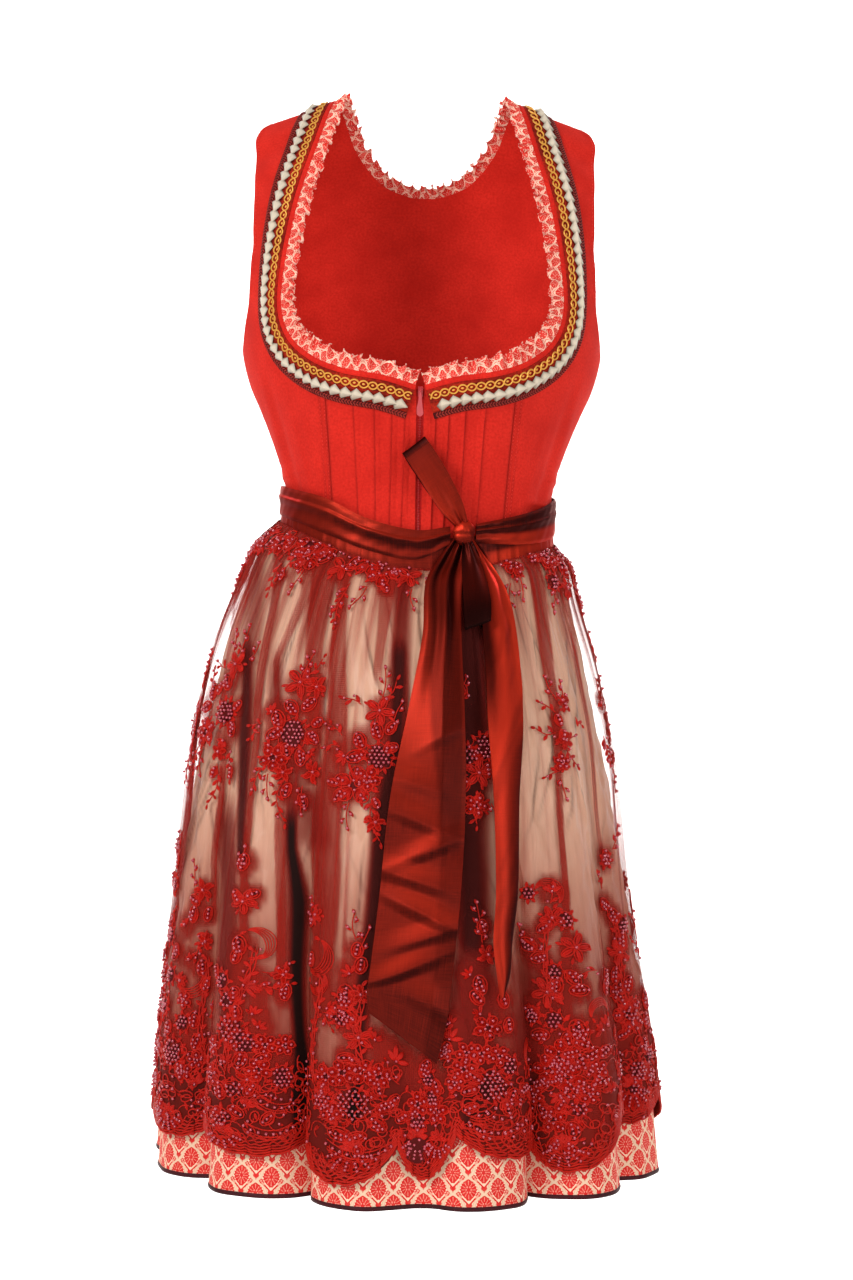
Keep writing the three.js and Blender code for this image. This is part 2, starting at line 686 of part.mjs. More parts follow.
// Where two scallops of the lace meet, and how far the scallop to the right of each place drops below them.
const SCALLOPS = [
  { angle: -105, meets: -980, drop: 20 },
  { angle: -91, meets: -958, drop: 22 },
  { angle: -77, meets: -960, drop: 26 },
  { angle: -50, meets: -958, drop: 22 },
  { angle: -23, meets: -968, drop: 33 },
  { angle: -2, meets: -968, drop: 34 },
  { angle: 12, meets: -957, drop: 16 },
  { angle: 31, meets: -968, drop: 40 },
  { angle: 54, meets: -946, drop: 22 },
  { angle: 76, meets: -950, drop: 26 },
  { angle: 93, meets: -955, drop: 22 },
  { angle: 105, meets: -978, drop: 0 },
];

// The lace's lower edge: between two meeting places it drops as a half wave.
function laceHem(degrees) {
  const at = Math.max(-105, Math.min(104.999, degrees));
  const i = SCALLOPS.findIndex((place, k) => k < SCALLOPS.length - 1 && at < SCALLOPS[k + 1].angle);
  const left = SCALLOPS[i];
  const right = SCALLOPS[i + 1];
  const share = (at - left.angle) / (right.angle - left.angle);
  const line = left.meets + (right.meets - left.meets) * share;
  return line - left.drop * Math.sin(Math.PI * share) ** 0.8;
}

function makeApron() {
  const degrees = FOLD_ANGLES.filter((turn) => Math.abs(turn) <= APRON_REACH);
  const underlay = skirtRows(degrees, () => UNDERLAY_HEM, 0.95, LAYER.underlay);
  addPiece("apron_underlay", wall(underlay, APRON_CLOTH), COLOUR.underlay);
  addPiece("apron_lace", wall(skirtRows(degrees, laceHem, 0.9, LAYER.lace), APRON_CLOTH), COLOUR.lace);
}

// ---------------------------------------------------------------- the sash

// The edges of the sash wound over the waistband, at angles round from the centre front.
const SASH_RIGHT = [
  { angle: -180, top: -374, bottom: -403 },
  { angle: -90, top: -377, bottom: -405 },
  { angle: -60, top: -384, bottom: -414 },
  { angle: -40, top: -393, bottom: -426 },
  { angle: -20, top: -412, bottom: -441 },
  { angle: 0, top: -422, bottom: -449 },
  { angle: 13.5, top: -418, bottom: -436 },
];
const SASH_LEFT = [
  { angle: 24.5, top: -415, bottom: -433 },
  { angle: 50, top: -403, bottom: -432 },
  { angle: 80, top: -388, bottom: -424 },
  { angle: 120, top: -379, bottom: -409 },
  { angle: 179.6, top: -374, bottom: -403 },
];
const SASH_BACK = [
  { angle: 132, top: -380, bottom: -414 },
  { angle: 180, top: -384, bottom: -418 },
  { angle: 228, top: -380, bottom: -414 },
];
const WAIST_FORM = { halfWidth: 128, front: 101, back: 92, sway: -1 };
const WRAP = { waistband: 3.4, over: 6, crossing: 7.8 }; // how far each layer stands off the waist

// A point of the sash's form, which is the waist carried straight up and down.
function waistPoint(degrees, height, lift) {
  const angle = rad(degrees);
  const reach = Math.cos(angle) > 0 ? WAIST_FORM.front : WAIST_FORM.back;
  return new THREE.Vector3(
    WAIST_FORM.sway + (WAIST_FORM.halfWidth + lift) * Math.sin(angle),
    -(reach + lift) * Math.cos(angle),
    height,
  );
}

// A stretch of sash round the waist, between two edges given as the height at an angle.
function sashStretch(from, to, top, bottom, lift) {
  const degrees = range(Math.max(6, Math.round((to - from) / 8)), from, to);
  const rows = [0, 0.5, 1].map((share) =>
    degrees.map((turn) => waistPoint(turn, lerp(top(turn), bottom(turn), share), lift)),
  );
  return wall(rows, SASH_CLOTH);
}

function sashFromTable(table, lift) {
  const edge = (column) => (turn) => sample(table, "angle", column, turn);
  return sashStretch(table[0].angle, table.at(-1).angle, edge("top"), edge("bottom"), lift);
}

const KNOT = { x: 43, height: -424, width: 20, depth: 14, tall: 24, angle: 19 };

// A length of sash through a table of stations: centre x, height, distance in front of the form, width, and
// how far it is turned about its own length (0 faces forwards).
function sashLength(stations, front) {
  const rows = stations.map((row) => {
    const reach = (row.width / 2) * Math.cos(rad(row.turn));
    const depth = (row.width / 2) * Math.sin(rad(row.turn));
    const lean = rad(row.lean ?? 0);
    const y = front(row.x, row.height) - row.off;
    return [-1, 1].map(
      (side) =>
        new THREE.Vector3(
          row.x + side * reach * Math.cos(lean),
          y + side * depth,
          row.height + side * reach * Math.sin(lean),
        ),
    );
  });
  return wall(rows, SASH_CLOTH);
}

// How far forward the lace's ridges reach at a place seen from the front.
function apronFront(x, height) {
  const waist = waistHeight(x);
  const fall = clamp((height - waist) / (HEM_HEIGHT - waist), 0, 1);
  const level = lerp(WAIST_SIDE, HEM_HEIGHT, fall);
  const share = clamp(x / skirtLevel("halfWidth", level), -1, 1);
  return -skirtLevel("front", level) * Math.sqrt(1 - share * share) - LAYER.lace;
}

const TAIL_RIGHT = [
  { x: 40, height: -428, off: 3, width: 12, turn: 8 },
  { x: 33, height: -446, off: 4, width: 24, turn: 10 },
  { x: 25, height: -470, off: 4, width: 34, turn: 12 },
  { x: 24, height: -520, off: 4, width: 36, turn: 8 },
  { x: 20, height: -590, off: 4, width: 52, turn: -6 },
  { x: 14, height: -665, off: 4, width: 68, turn: 6 },
  { x: 9, height: -745, off: 4, width: 72, turn: -5 },
  { x: 2, height: -820, off: 4, width: 74, turn: 5 },
  { x: -4, height: -874, off: 4, width: 74, turn: 0, lean: -36 },
];

const TAIL_LEFT = [
  { x: 50, height: -430, off: 4, width: 7, turn: 10 },
  { x: 59, height: -448, off: 3, width: 16, turn: 14 },
  { x: 70, height: -476, off: 4, width: 28, turn: 18 },
  { x: 78, height: -520, off: 4, width: 34, turn: 22 },
  { x: 83, height: -590, off: 6, width: 38, turn: 30 },
  { x: 85, height: -670, off: 9, width: 34, turn: 50 },
  { x: 85, height: -750, off: 11, width: 34, turn: 56 },
  { x: 82, height: -838, off: 12, width: 30, turn: 62 },
];

// The bow's standing loop: up the front, over at the top and down again behind itself.
const LOOP_UP = [
  { x: 40, height: -416, off: 14, width: 12, turn: 0, lean: 26 },
  { x: 30, height: -399, off: 18, width: 22, turn: 0, lean: 31 },
  { x: 13, height: -371, off: 19, width: 26, turn: 0, lean: 34 },
  { x: -2, height: -349, off: 15, width: 26, turn: 0, lean: 37 },
  { x: -5, height: -345, off: 10, width: 26, turn: 0, lean: 38 },
  { x: 5, height: -360, off: 6, width: 26, turn: 0, lean: 36 },
  { x: 24, height: -391, off: 6, width: 20, turn: 0, lean: 32 },
  { x: 38, height: -412, off: 8, width: 10, turn: 0, lean: 28 },
];

// The bow's hanging loop: down the front, under at the bottom and up again behind itself.
const LOOP_DOWN = [
  { x: 46, height: -432, off: 11, width: 8, turn: 12 },
  { x: 51, height: -455, off: 15, width: 20, turn: 14 },
  { x: 56, height: -488, off: 16, width: 27, turn: 14 },
  { x: 58, height: -510, off: 13, width: 28, turn: 14 },
  { x: 58, height: -512, off: 10, width: 28, turn: 14 },
  { x: 54, height: -484, off: 9, width: 24, turn: 14 },
  { x: 49, height: -450, off: 8, width: 14, turn: 12 },
];

function makeSash() {
  const bandTop = (turn) => waistAt(turn) + WAISTBAND.above;
  const bandBottom = (turn) => waistAt(turn) - WAISTBAND.below;
  const waistband = sashStretch(-APRON_REACH, APRON_REACH, bandTop, bandBottom, WRAP.waistband);
  addPiece("apron_waistband", waistband, COLOUR.sash);
  addPiece("sash_right", sashFromTable(SASH_RIGHT, WRAP.over), COLOUR.sash);
  addPiece("sash_left", sashFromTable(SASH_LEFT, WRAP.over), COLOUR.sash);
  addPiece("sash_cross_back", sashFromTable(SASH_BACK, WRAP.crossing), COLOUR.sash);

  const seat = waistPoint(KNOT.angle, KNOT.height, WRAP.waistband + 2 * GAP + KNOT.depth / 2);
  const knotSolid = (spare) => {
    const knot = new THREE.SphereGeometry(0.5, 12, 8);
    knot.scale(KNOT.width + spare, KNOT.depth + spare, KNOT.tall + spare);
    knot.translate(KNOT.x, seat.y, KNOT.height);
    return geometryToSolid(knot);
  };
  addPiece("bow_knot", knotSolid(0), COLOUR.sash, 0.6);

  // The loops and tails come out of the knot, so they stop a little short of its surface.
  const bodiceFront = (x, height) => frontPoint(x, height, 0).y;
  const addLength = (name, stations, front) => {
    addPiece(name, sashLength(stations, front).subtract(knotSolid(2 * GAP)), COLOUR.sash, 0.6);
  };
  addLength("bow_tail_right", TAIL_RIGHT, apronFront);
  addLength("bow_tail_left", TAIL_LEFT, apronFront);
  addLength("bow_loop_up", LOOP_UP, bodiceFront);
  addLength("bow_loop_down", LOOP_DOWN, apronFront);
}

makeBodice();
makeNeckTrims();
makeZip();
makeSkirt();
makeApron();
makeSash();

export default group;
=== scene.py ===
"""A worn dirndl with its apron, finished in cloth, trims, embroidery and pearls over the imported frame.

The forms of the bodice, the neckline, the skirt and the sash are worked out here as whole numpy arrays in
millimetres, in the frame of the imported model, and put into the meshes in metres. The wearer faces -Y and
+X is the wearer's left.
"""

from __future__ import annotations

import logging
import math
from dataclasses import dataclass, field
from enum import Enum
from functools import partial

import bmesh
import bpy
import numpy as np
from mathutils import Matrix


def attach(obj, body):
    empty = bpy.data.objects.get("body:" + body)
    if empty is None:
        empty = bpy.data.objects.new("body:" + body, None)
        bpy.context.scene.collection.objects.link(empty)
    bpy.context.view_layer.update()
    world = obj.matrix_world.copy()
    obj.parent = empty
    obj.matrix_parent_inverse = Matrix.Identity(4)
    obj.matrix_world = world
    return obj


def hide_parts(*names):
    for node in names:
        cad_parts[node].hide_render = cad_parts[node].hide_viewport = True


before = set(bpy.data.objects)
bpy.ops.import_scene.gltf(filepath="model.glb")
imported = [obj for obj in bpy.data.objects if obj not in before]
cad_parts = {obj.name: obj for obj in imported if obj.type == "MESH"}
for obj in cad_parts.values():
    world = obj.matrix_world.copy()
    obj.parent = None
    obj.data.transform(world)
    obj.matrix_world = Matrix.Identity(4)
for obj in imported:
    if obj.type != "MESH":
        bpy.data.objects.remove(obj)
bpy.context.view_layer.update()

log = logging.getLogger("dirndl")
Array = np.ndarray
Stations = tuple[tuple[float, ...], ...]
MM = 0.001


# ---------------------------------------------------------------- numbers and curves


def smoothstep(at: Array, low: float, high: float) -> Array:
    """Rises from 0 at low to 1 at high as 3t^2 - 2t^3."""
    t = np.clip((np.asarray(at, float) - low) / (high - low), 0, 1)
    return t * t * (3 - 2 * t)


def bump(at: Array, width: float) -> Array:
    """A bell of height 1 at 0: the exponential of minus the square of at over width."""
    return np.exp(-((at / width) ** 2))


def lerp(low: Array, high: Array, share: Array) -> Array:
    """The straight mix of low and high."""
    return low + (high - low) * share


def hermite(table: Array, column: int, at: Array) -> Array:
    """Reads one column of a table whose first column rises.

    Between two rows it is the cubic that has the rows' values, and at each row the slope of the line
    through the rows before and after.

    Args:
        table: rows of numbers, the key first.
        column: the column to read.
        at: the keys to read it at.

    Returns:
        The values, in the shape of at.
    """
    keys, values = table[:, 0], table[:, column]
    last = len(keys) - 1
    before, after = np.maximum(np.arange(last + 1) - 1, 0), np.minimum(np.arange(last + 1) + 1, last)
    slopes = (values[after] - values[before]) / (keys[after] - keys[before])
    i = np.clip(np.searchsorted(keys, at), 1, last)
    span = keys[i] - keys[i - 1]
    t = np.clip((at - keys[i - 1]) / span, 0, 1)
    return (
        (2 * t**3 - 3 * t**2 + 1) * values[i - 1]
        + (t**3 - 2 * t**2 + t) * span * slopes[i - 1]
        + (3 * t**2 - 2 * t**3) * values[i]
        + (t**3 - t**2) * span * slopes[i]
    )


def catmull(points: Array, share: Array) -> Array:
    """The uniform Catmull-Rom curve through points, at shares from 0 to 1 of its rows."""
    last = len(points) - 1
    p = np.clip(share, 0, 1) * last
    i = np.minimum(p.astype(int), last - 1)
    t = (p - i)[..., None]
    a, b, c, d = (points[np.clip(i + k, 0, last)] for k in (-1, 0, 1, 2))
    va, vb = (c - a) / 2, (d - b) / 2
    return (2 * b - 2 * c + va + vb) * t**3 + (-3 * b + 3 * c - 2 * va - vb) * t**2 + va * t + b


def unit(vectors: Array) -> Array:
    """Vectors brought to length 1."""
    return vectors / np.maximum(np.linalg.norm(vectors, axis=-1, keepdims=True), 1e-12)


def along_path(points: Array) -> Array:
    """The distance travelled to each point of a path."""
    steps = np.linalg.norm(np.diff(points, axis=0), axis=-1)
    return np.concatenate([[0], np.cumsum(steps)])


def waver(at: Array, seed: float) -> Array:
    """An uneven wave between about -1 and 1: three sines whose lengths share no common measure."""
    return (np.sin(at + seed) + 0.6 * np.sin(at * 1.73 + 2.1 * seed) + 0.4 * np.sin(at * 2.91 - seed)) / 1.6


def gathered(degrees: Array, waves: tuple[int, int, int], seed: Array) -> Array:
    """An uneven wave round a tube: three sines of whole numbers of waves, so that it joins up."""
    a, b, c = (np.radians(degrees) * count for count in waves)
    return (np.sin(a + seed) + 0.6 * np.sin(b + 2.1 * seed) + 0.4 * np.sin(c - seed)) / 1.6


def heading(degrees: float) -> tuple[float, float]:
    """The cosine and the sine of an angle in degrees."""
    return math.cos(math.radians(degrees)), math.sin(math.radians(degrees))


def circle(count: int) -> Array:
    """Angles evenly round a circle."""
    return np.arange(count) * 2 * math.pi / count


def polar(radius: Array, angle: Array) -> Array:
    """Flat points at distances and angles from the origin."""
    return np.stack([radius * np.cos(angle), radius * np.sin(angle)], -1)


def flat_map(across: Array, along: Array) -> Array:
    """A flat map in metres from distances in millimetres."""
    return np.stack(np.broadcast_arrays(across * MM, along * MM), -1)


def rows_of(*rows: tuple[float, ...]) -> Array:
    """A dataclass field that holds a table of numbers."""
    return field(default_factory=lambda: np.array(rows, float))


# ---------------------------------------------------------------- meshes


@dataclass
class Shell:
    """The points, four-cornered faces, flat map and marks of a mesh in the making, in millimetres."""

    points: Array
    faces: Array
    uv: Array
    marks: dict[str, Array] = field(default_factory=dict)

    @staticmethod
    def joined(shells: list[Shell]) -> Shell:
        """Several shells as one, with the marks that the first has."""
        starts = np.cumsum([0] + [len(s.points) for s in shells[:-1]])
        return Shell(
            np.concatenate([s.points for s in shells]),
            np.concatenate([s.faces + start for s, start in zip(shells, starts)]),
            np.concatenate([s.uv for s in shells]),
            {key: np.concatenate([s.marks[key] for s in shells]) for key in shells[0].marks},
        )


def quads(index: Array) -> Array:
    """The four corners of every cell of a grid of point numbers, from the top left round by the bottom."""
    left, right = index[..., :-1], index[..., 1:]
    return np.stack([left[..., :-1, :], left[..., 1:, :], right[..., 1:, :], right[..., :-1, :]], -1)


def grid_normals(grid: Array) -> Array:
    """The outward normal at each point of a grid whose rows run down and whose columns run to the right. A
    grid that runs right round has the same normals in its first and last columns.
    """
    across, down = np.gradient(grid, axis=1), np.gradient(grid, axis=0)
    normals = unit(np.cross(down, across))
    if np.allclose(grid[:, 0], grid[:, -1], atol=1e-3):
        normals[:, 0] = normals[:, -1] = unit(normals[:, 0] + normals[:, -1])
    return normals


def wall(
    grid: Array,
    uv: Array,
    thickness: float,
    marks: dict[str, Array] | None = None,
    rims: str = "tblr",
    normals: Array | None = None,
) -> Shell:
    """A wall of even thickness whose outside passes through a grid of points.

    The inside is the outside moved back along its normals. A grid that runs right round repeats its first
    column as its last and leaves out the rims l and r; the seam closes when the mesh is welded.

    Args:
        grid: points in rows and columns, rows running down and columns to the right, seen from outside.
        uv: the flat map, for the same rows and columns.
        thickness: the wall's thickness.
        marks: point marks by name, for the same rows and columns.
        rims: which edges are closed: top, bottom, left, right.
        normals: the outward normals, where they aren't the grid's own.

    Returns:
        The closed wall.
    """
    rows, columns = grid.shape[:2]
    inside = grid - (grid_normals(grid) if normals is None else normals) * thickness
    index = np.arange(rows * columns).reshape(rows, columns)
    under = rows * columns
    faces = [quads(index), quads(index)[..., [0, 3, 2, 1]] + under]
    edges = {
        "t": (index[0, :-1], index[0, 1:]),
        "b": (index[-1, 1:], index[-1, :-1]),
        "l": (index[1:, 0], index[:-1, 0]),
        "r": (index[:-1, -1], index[1:, -1]),
    }
    for side in rims:
        start, end = edges[side]
        faces.append(np.stack([start, end, end + under, start + under], -1))
    flat = np.tile(uv.reshape(-1, 2), (2, 1))
    return Shell(
        np.concatenate([grid.reshape(-1, 3), inside.reshape(-1, 3)]),
        np.concatenate([f.reshape(-1, 4) for f in faces]),
        flat,
        {key: np.tile(np.broadcast_to(m, (rows, columns)).ravel(), 2) for key, m in (marks or {}).items()},
    )


def ringed(points: Array, closed: bool = False) -> Shell:
    """Many closed bodies alike: each is a row of rings, and its first and last ring are drawn together.

    Args:
        points: copies, stations, ring points and coordinates. Rings run so that station-to-station crossed
            with point-to-point faces out.
        closed: whether the last station joins the first, as in a link.

    Returns:
        One shell of all the copies. Its flat map runs along the stations and round the ring.
    """
    copies, stations, around = points.shape[:3]
    index = np.arange(copies * stations * around).reshape(copies, stations, around)
    rows = np.concatenate([index, index[:, :1]], 1) if closed else index
    rows = np.concatenate([rows, rows[:, :, :1]], 2)
    u, v = np.meshgrid(np.linspace(0, 1, stations), np.linspace(0, 1, around), indexing="ij")
    return Shell(
        points.reshape(-1, 3),
        quads(rows).reshape(-1, 4),
        np.tile(np.stack([u, v], -1).reshape(-1, 2), (copies, 1)),
    )


def tubes(paths: Array, ups: Array, radius: Array, sides: int = 6, closed: bool = False) -> Shell:
    """Cords along many paths: circles about each path, in the plane of up and of the way across.

    Args:
        paths: copies, stations and coordinates.
        ups: a direction off the cloth at each station.
        radius: the cord's radius, which can vary by copy and station. It ends in a point.
        sides: points round each circle.
        closed: whether each path is a loop.

    Returns:
        The cords' shell.
    """
    if closed:
        ahead, behind = np.roll(paths, -1, 1), np.roll(paths, 1, 1)
    else:
        ahead = np.concatenate([paths[:, 1:], paths[:, -1:]], 1)
        behind = np.concatenate([paths[:, :1], paths[:, :-1]], 1)
    tangent = unit(ahead - behind)
    across = unit(np.cross(tangent, ups))
    up = np.cross(across, tangent)
    turn = circle(sides)
    width = np.broadcast_to(radius, paths.shape[:2]).copy()
    if not closed:
        width[:, [0, -1]] = 0
    ring = np.cos(turn)[:, None] * across[:, :, None] + np.sin(turn)[:, None] * up[:, :, None]
    return ringed(paths[:, :, None] + ring * width[:, :, None, None], closed)


def painted_light(grid: Array) -> Array:
    """Painted light on shot cloth, shown as more of its weft: more where it turns up and to its right, and
    less below.
    """
    normals = grid_normals(grid)
    turned = 0.9 * normals[..., 2] - 0.35 * normals[..., 0]
    return np.clip(0.26 + 1.15 * turned, 0, 1)


def make_piece(
    name: str,
    shell: Shell,
    stock: Stock,
    nodes: tuple[str, ...] = (),
    body: str = "dress",
    crease: float = 50,
) -> bpy.types.Object:
    """Puts a shell into a mesh object, which rides on a body.

    Args:
        name: the object's name.
        shell: what it is made of.
        stock: the stock it is cut from, which gives its finish.
        nodes: the CAD nodes that it replaces.
        body: the body that it rides on.
        crease: the angle in degrees past which an edge stays crisp.

    Returns:
        The object.
    """
    mesh = bpy.data.meshes.new(name)
    count = len(shell.faces)
    mesh.vertices.add(len(shell.points))
    mesh.vertices.foreach_set("co", (shell.points * MM).astype(np.float32).ravel())
    mesh.loops.add(count * 4)
    mesh.loops.foreach_set("vertex_index", shell.faces.astype(np.int32).ravel())
    mesh.polygons.add(count)
    mesh.polygons.foreach_set("loop_start", np.arange(0, count * 4, 4, dtype=np.int32))
    mesh.update(calc_edges=True)
    layer = mesh.uv_layers.new(name="UVMap")
    layer.data.foreach_set("uv", shell.uv[shell.faces.ravel()].astype(np.float32).ravel())
    for key, values in shell.marks.items():
        mark = mesh.attributes.new(key, "FLOAT", "POINT")
        mark.data.foreach_set("value", values.astype(np.float32))
    welded = bmesh.new()
    welded.from_mesh(mesh)
    bmesh.ops.remove_doubles(welded, verts=welded.verts, dist=2e-6)
    welded.to_mesh(mesh)
    welded.free()
    mesh.validate()
    mesh.polygons.foreach_set("use_smooth", np.ones(len(mesh.polygons), bool))
    mesh.set_sharp_from_angle(angle=math.radians(crease))
    mesh.materials.append(stock.material())
    piece = bpy.data.objects.new(name, mesh)
    bpy.context.scene.collection.objects.link(piece)
    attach(piece, body)
    if nodes:
        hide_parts(*nodes)
    triangles = sum(len(p.vertices) - 2 for p in mesh.polygons)
    log.info("%s: %d triangles", name, triangles)
    return piece


# ---------------------------------------------------------------- finishes


def colour(code: str) -> tuple[float, float, float, float]:
    """An sRGB hex colour as linear light, with full cover."""
    parts = [int(code[i : i + 2], 16) / 255 for i in (0, 2, 4)]
    r, g, b = (c / 12.92 if c <= 0.04045 else ((c + 0.055) / 1.055) ** 2.4 for c in parts)
    return (r, g, b, 1.0)


Socket = bpy.types.NodeSocket


def set_inputs(tree: bpy.types.NodeTree, node: bpy.types.Node, inputs: dict) -> None:
    """Gives a node's inputs their values, and links the sockets among them.

    Args:
        tree: the material's node tree.
        node: the node.
        inputs: values or sockets by the input's name or number.
    """
    for key, value in inputs.items():
        if isinstance(value, Socket):
            tree.links.new(value, node.inputs[key])
        else:
            node.inputs[key].default_value = value


def add_node(
    tree: bpy.types.NodeTree, kind: str, inputs: dict | None = None, out: int | str = 0, **settings: object
) -> Socket:
    """Adds a node, sets it up and links it.

    Args:
        tree: the material's node tree.
        kind: the node's type.
        inputs: values or sockets by the input's name or number.
        out: which output is wanted.
        **settings: the node's own properties.

    Returns:
        The wanted output.
    """
    node = tree.nodes.new(kind)
    for key, value in settings.items():
        setattr(node, key, value)
    set_inputs(tree, node, inputs or {})
    return node.outputs[out]


@dataclass(frozen=True)
class Steps:
    """The steps that the finishes share. Each adds a node to one material's tree and returns its output."""

    tree: bpy.types.NodeTree

    def places(self, kind: str = "UV") -> Socket:
        """Where a point lies: on the flat map, or in the object."""
        return add_node(self.tree, "ShaderNodeTexCoord", out=kind)

    def mark(self, name: str) -> Socket:
        """One of the mesh's marks."""
        return add_node(self.tree, "ShaderNodeAttribute", out="Fac", attribute_name=name)

    def scaled(self, places: Socket, x: float, y: float) -> Socket:
        """Places multiplied along the map's two directions."""
        return add_node(self.tree, "ShaderNodeMapping", {"Vector": places, "Scale": (x, y, 1.0)})

    def noise(self, places: Socket, scale: float = 1.0, detail: float = 2.0) -> Socket:
        """Soft, uneven spots."""
        inputs = {"Vector": places, "Scale": scale, "Detail": detail}
        return add_node(self.tree, "ShaderNodeTexNoise", inputs)

    def bands(self, places: Socket, scale: float, direction: str, distortion: float = 0.0) -> Socket:
        """Even bands, such as threads side by side."""
        inputs = {"Vector": places, "Scale": scale, "Distortion": distortion}
        return add_node(self.tree, "ShaderNodeTexWave", inputs, bands_direction=direction)

    def calc(
        self, operation: str, a: object, b: object = 0.0, c: object = 0.0, clamp: bool = False
    ) -> Socket:
        """One step of arithmetic."""
        return add_node(self.tree, "ShaderNodeMath", {0: a, 1: b, 2: c}, operation=operation, use_clamp=clamp)

    def ranged(self, value: Socket, low: float, high: float, to: tuple[float, float] = (0.0, 1.0)) -> Socket:
        """A value brought from one range to another, and held within it."""
        inputs = {"Value": value, "From Min": low, "From Max": high, "To Min": to[0], "To Max": to[1]}
        return add_node(self.tree, "ShaderNodeMapRange", inputs)

    def mixed(self, share: Socket, low: Socket | str, high: Socket | str) -> Socket:
        """Two colours mixed, each an output or a code."""
        low, high = (colour(c) if isinstance(c, str) else c for c in (low, high))
        return add_node(self.tree, "ShaderNodeMix", {0: share, 6: low, 7: high}, 2, data_type="RGBA")

    def raised(self, height: Socket, strength: float, distance: float) -> Socket:
        """The normal of a surface raised by up to a distance in millimetres."""
        inputs = {"Height": height, "Strength": strength, "Distance": distance * MM}
        return add_node(self.tree, "ShaderNodeBump", inputs)


@dataclass(frozen=True)
class Finish:
    """A finish: its name, and how it is mixed."""

    name: str

    def build(self) -> bpy.types.Material:
        """Makes the material."""
        material = bpy.data.materials.new(self.name)
        material.use_nodes = True
        tree = material.node_tree
        set_inputs(tree, tree.nodes["Principled BSDF"], self.dress(Steps(tree)))
        return material

    def dress(self, steps: Steps) -> dict[str, object]:
        """The shader's numbers and patterns, by the input's name."""
        raise NotImplementedError


@dataclass(frozen=True)
class WovenCloth(Finish):
    """Woven cloth: crossed threads in the bump, a soft sheen on raised fibres and a slight unevenness in
    the dye, with painted shade darkening it where the mark `crease` lies, along pressed folds and seams. The
    threads are drawn coarser than the real 0.4 mm so that they show.
    """

    base: str
    shade: str
    # The colour that the painted shade in the creases goes to.
    wear_and_painted_shade: str = "6A0C08"
    thread: float = 1.1
    roughness: float = 0.8
    sheen: float = 0.2
    relief: float = 0.12
    BAND = 0.314  # the scale at which bands repeat once in a unit of length

    def dress(self, steps: Steps) -> dict[str, object]:
        """The shader's numbers and patterns, by the input's name."""
        uv = steps.places()
        scale = self.BAND / (self.thread * MM)
        weave = steps.calc("MULTIPLY", steps.bands(uv, scale, "X"), steps.bands(uv, scale, "Y"))
        tone_and_painted_light = steps.calc("MULTIPLY", steps.noise(uv, 26.0, 4.0), steps.noise(uv, 420.0))
        dyed_and_painted_light = steps.mixed(steps.ranged(tone_and_painted_light, 0.12, 0.38), self.shade, self.base)
        return {
            # Painted shade: the cloth darkens where the crease mark lies.
            "Base Color": steps.mixed(steps.mark("crease"), dyed_and_painted_light, self.wear_and_painted_shade),
            "Normal": steps.raised(weave, 0.5, self.relief),
            "Roughness": self.roughness,
            "Specular IOR Level": 0.12,
            "Sheen Weight": self.sheen,
            "Sheen Tint": colour(self.base),
        }


@dataclass(frozen=True)
class Taffeta(Finish):
    """Shot taffeta: a dark warp and a bright weft, mixed by its threads and by a mark of painted light, so it
    is painted dark where it turns down and painted bright where its folds turn up. Where the mark `deep`
    lies, painted shade darkens it. Fine slubs, drawn 0.7 mm thick, run across.
    """

    warp: str
    weft: str
    shadow: str = "0C0303"
    gleam: str = "DC9A90"
    metallic: float = 0.7
    roughness: float = 0.4

    def dress(self, steps: Steps) -> dict[str, object]:
        """The shader's numbers and patterns, by the input's name."""
        uv = steps.places()
        slubs = steps.noise(steps.scaled(uv, 45.0, 1500.0))
        warps = steps.noise(steps.scaled(uv, 1500.0, 40.0))
        threads = steps.calc("ADD", slubs, warps)
        shared = steps.calc("MULTIPLY_ADD", threads, 0.3, steps.mark("painted_light"))
        # The warp and weft mix by painted light from the normals, and by the threads.
        dyed_and_painted_light = steps.mixed(steps.ranged(shared, 0.3, 1.3), self.warp, self.weft)
        return {
            "Base Color": steps.mixed(steps.mark("deep"), dyed_and_painted_light, self.shadow),
            "Normal": steps.raised(threads, 0.35, 0.12),
            "Metallic": self.metallic,
            "Roughness": self.roughness,
            "Specular IOR Level": 0.2,
            "Specular Tint": colour(self.gleam),
        }


@dataclass(frozen=True)
class Satin(Finish):
    """Lining satin: long floats lie almost flat, so the gloss is broad and silky, with faint lengthwise
    threads. It takes a painted shade where the mark `deep` lies, under a fold or an overlap.
    """

    base: str
    shade: str
    shadow: str = "5A4434"
    roughness: float = 0.42

    def dress(self, steps: Steps) -> dict[str, object]:
        """The shader's numbers and patterns, by the input's name."""
        floats = steps.noise(steps.scaled(steps.places(), 700.0, 40.0), detail=3.0)
        dyed_and_painted_light = steps.mixed(floats, self.shade, self.base)
        return {
            "Base Color": steps.mixed(steps.mark("deep"), dyed_and_painted_light, self.shadow),
            "Normal": steps.raised(floats, 0.25, 0.08),
            "Roughness": self.roughness,
            "Specular IOR Level": 0.3,
            "Sheen Weight": 0.15,
        }


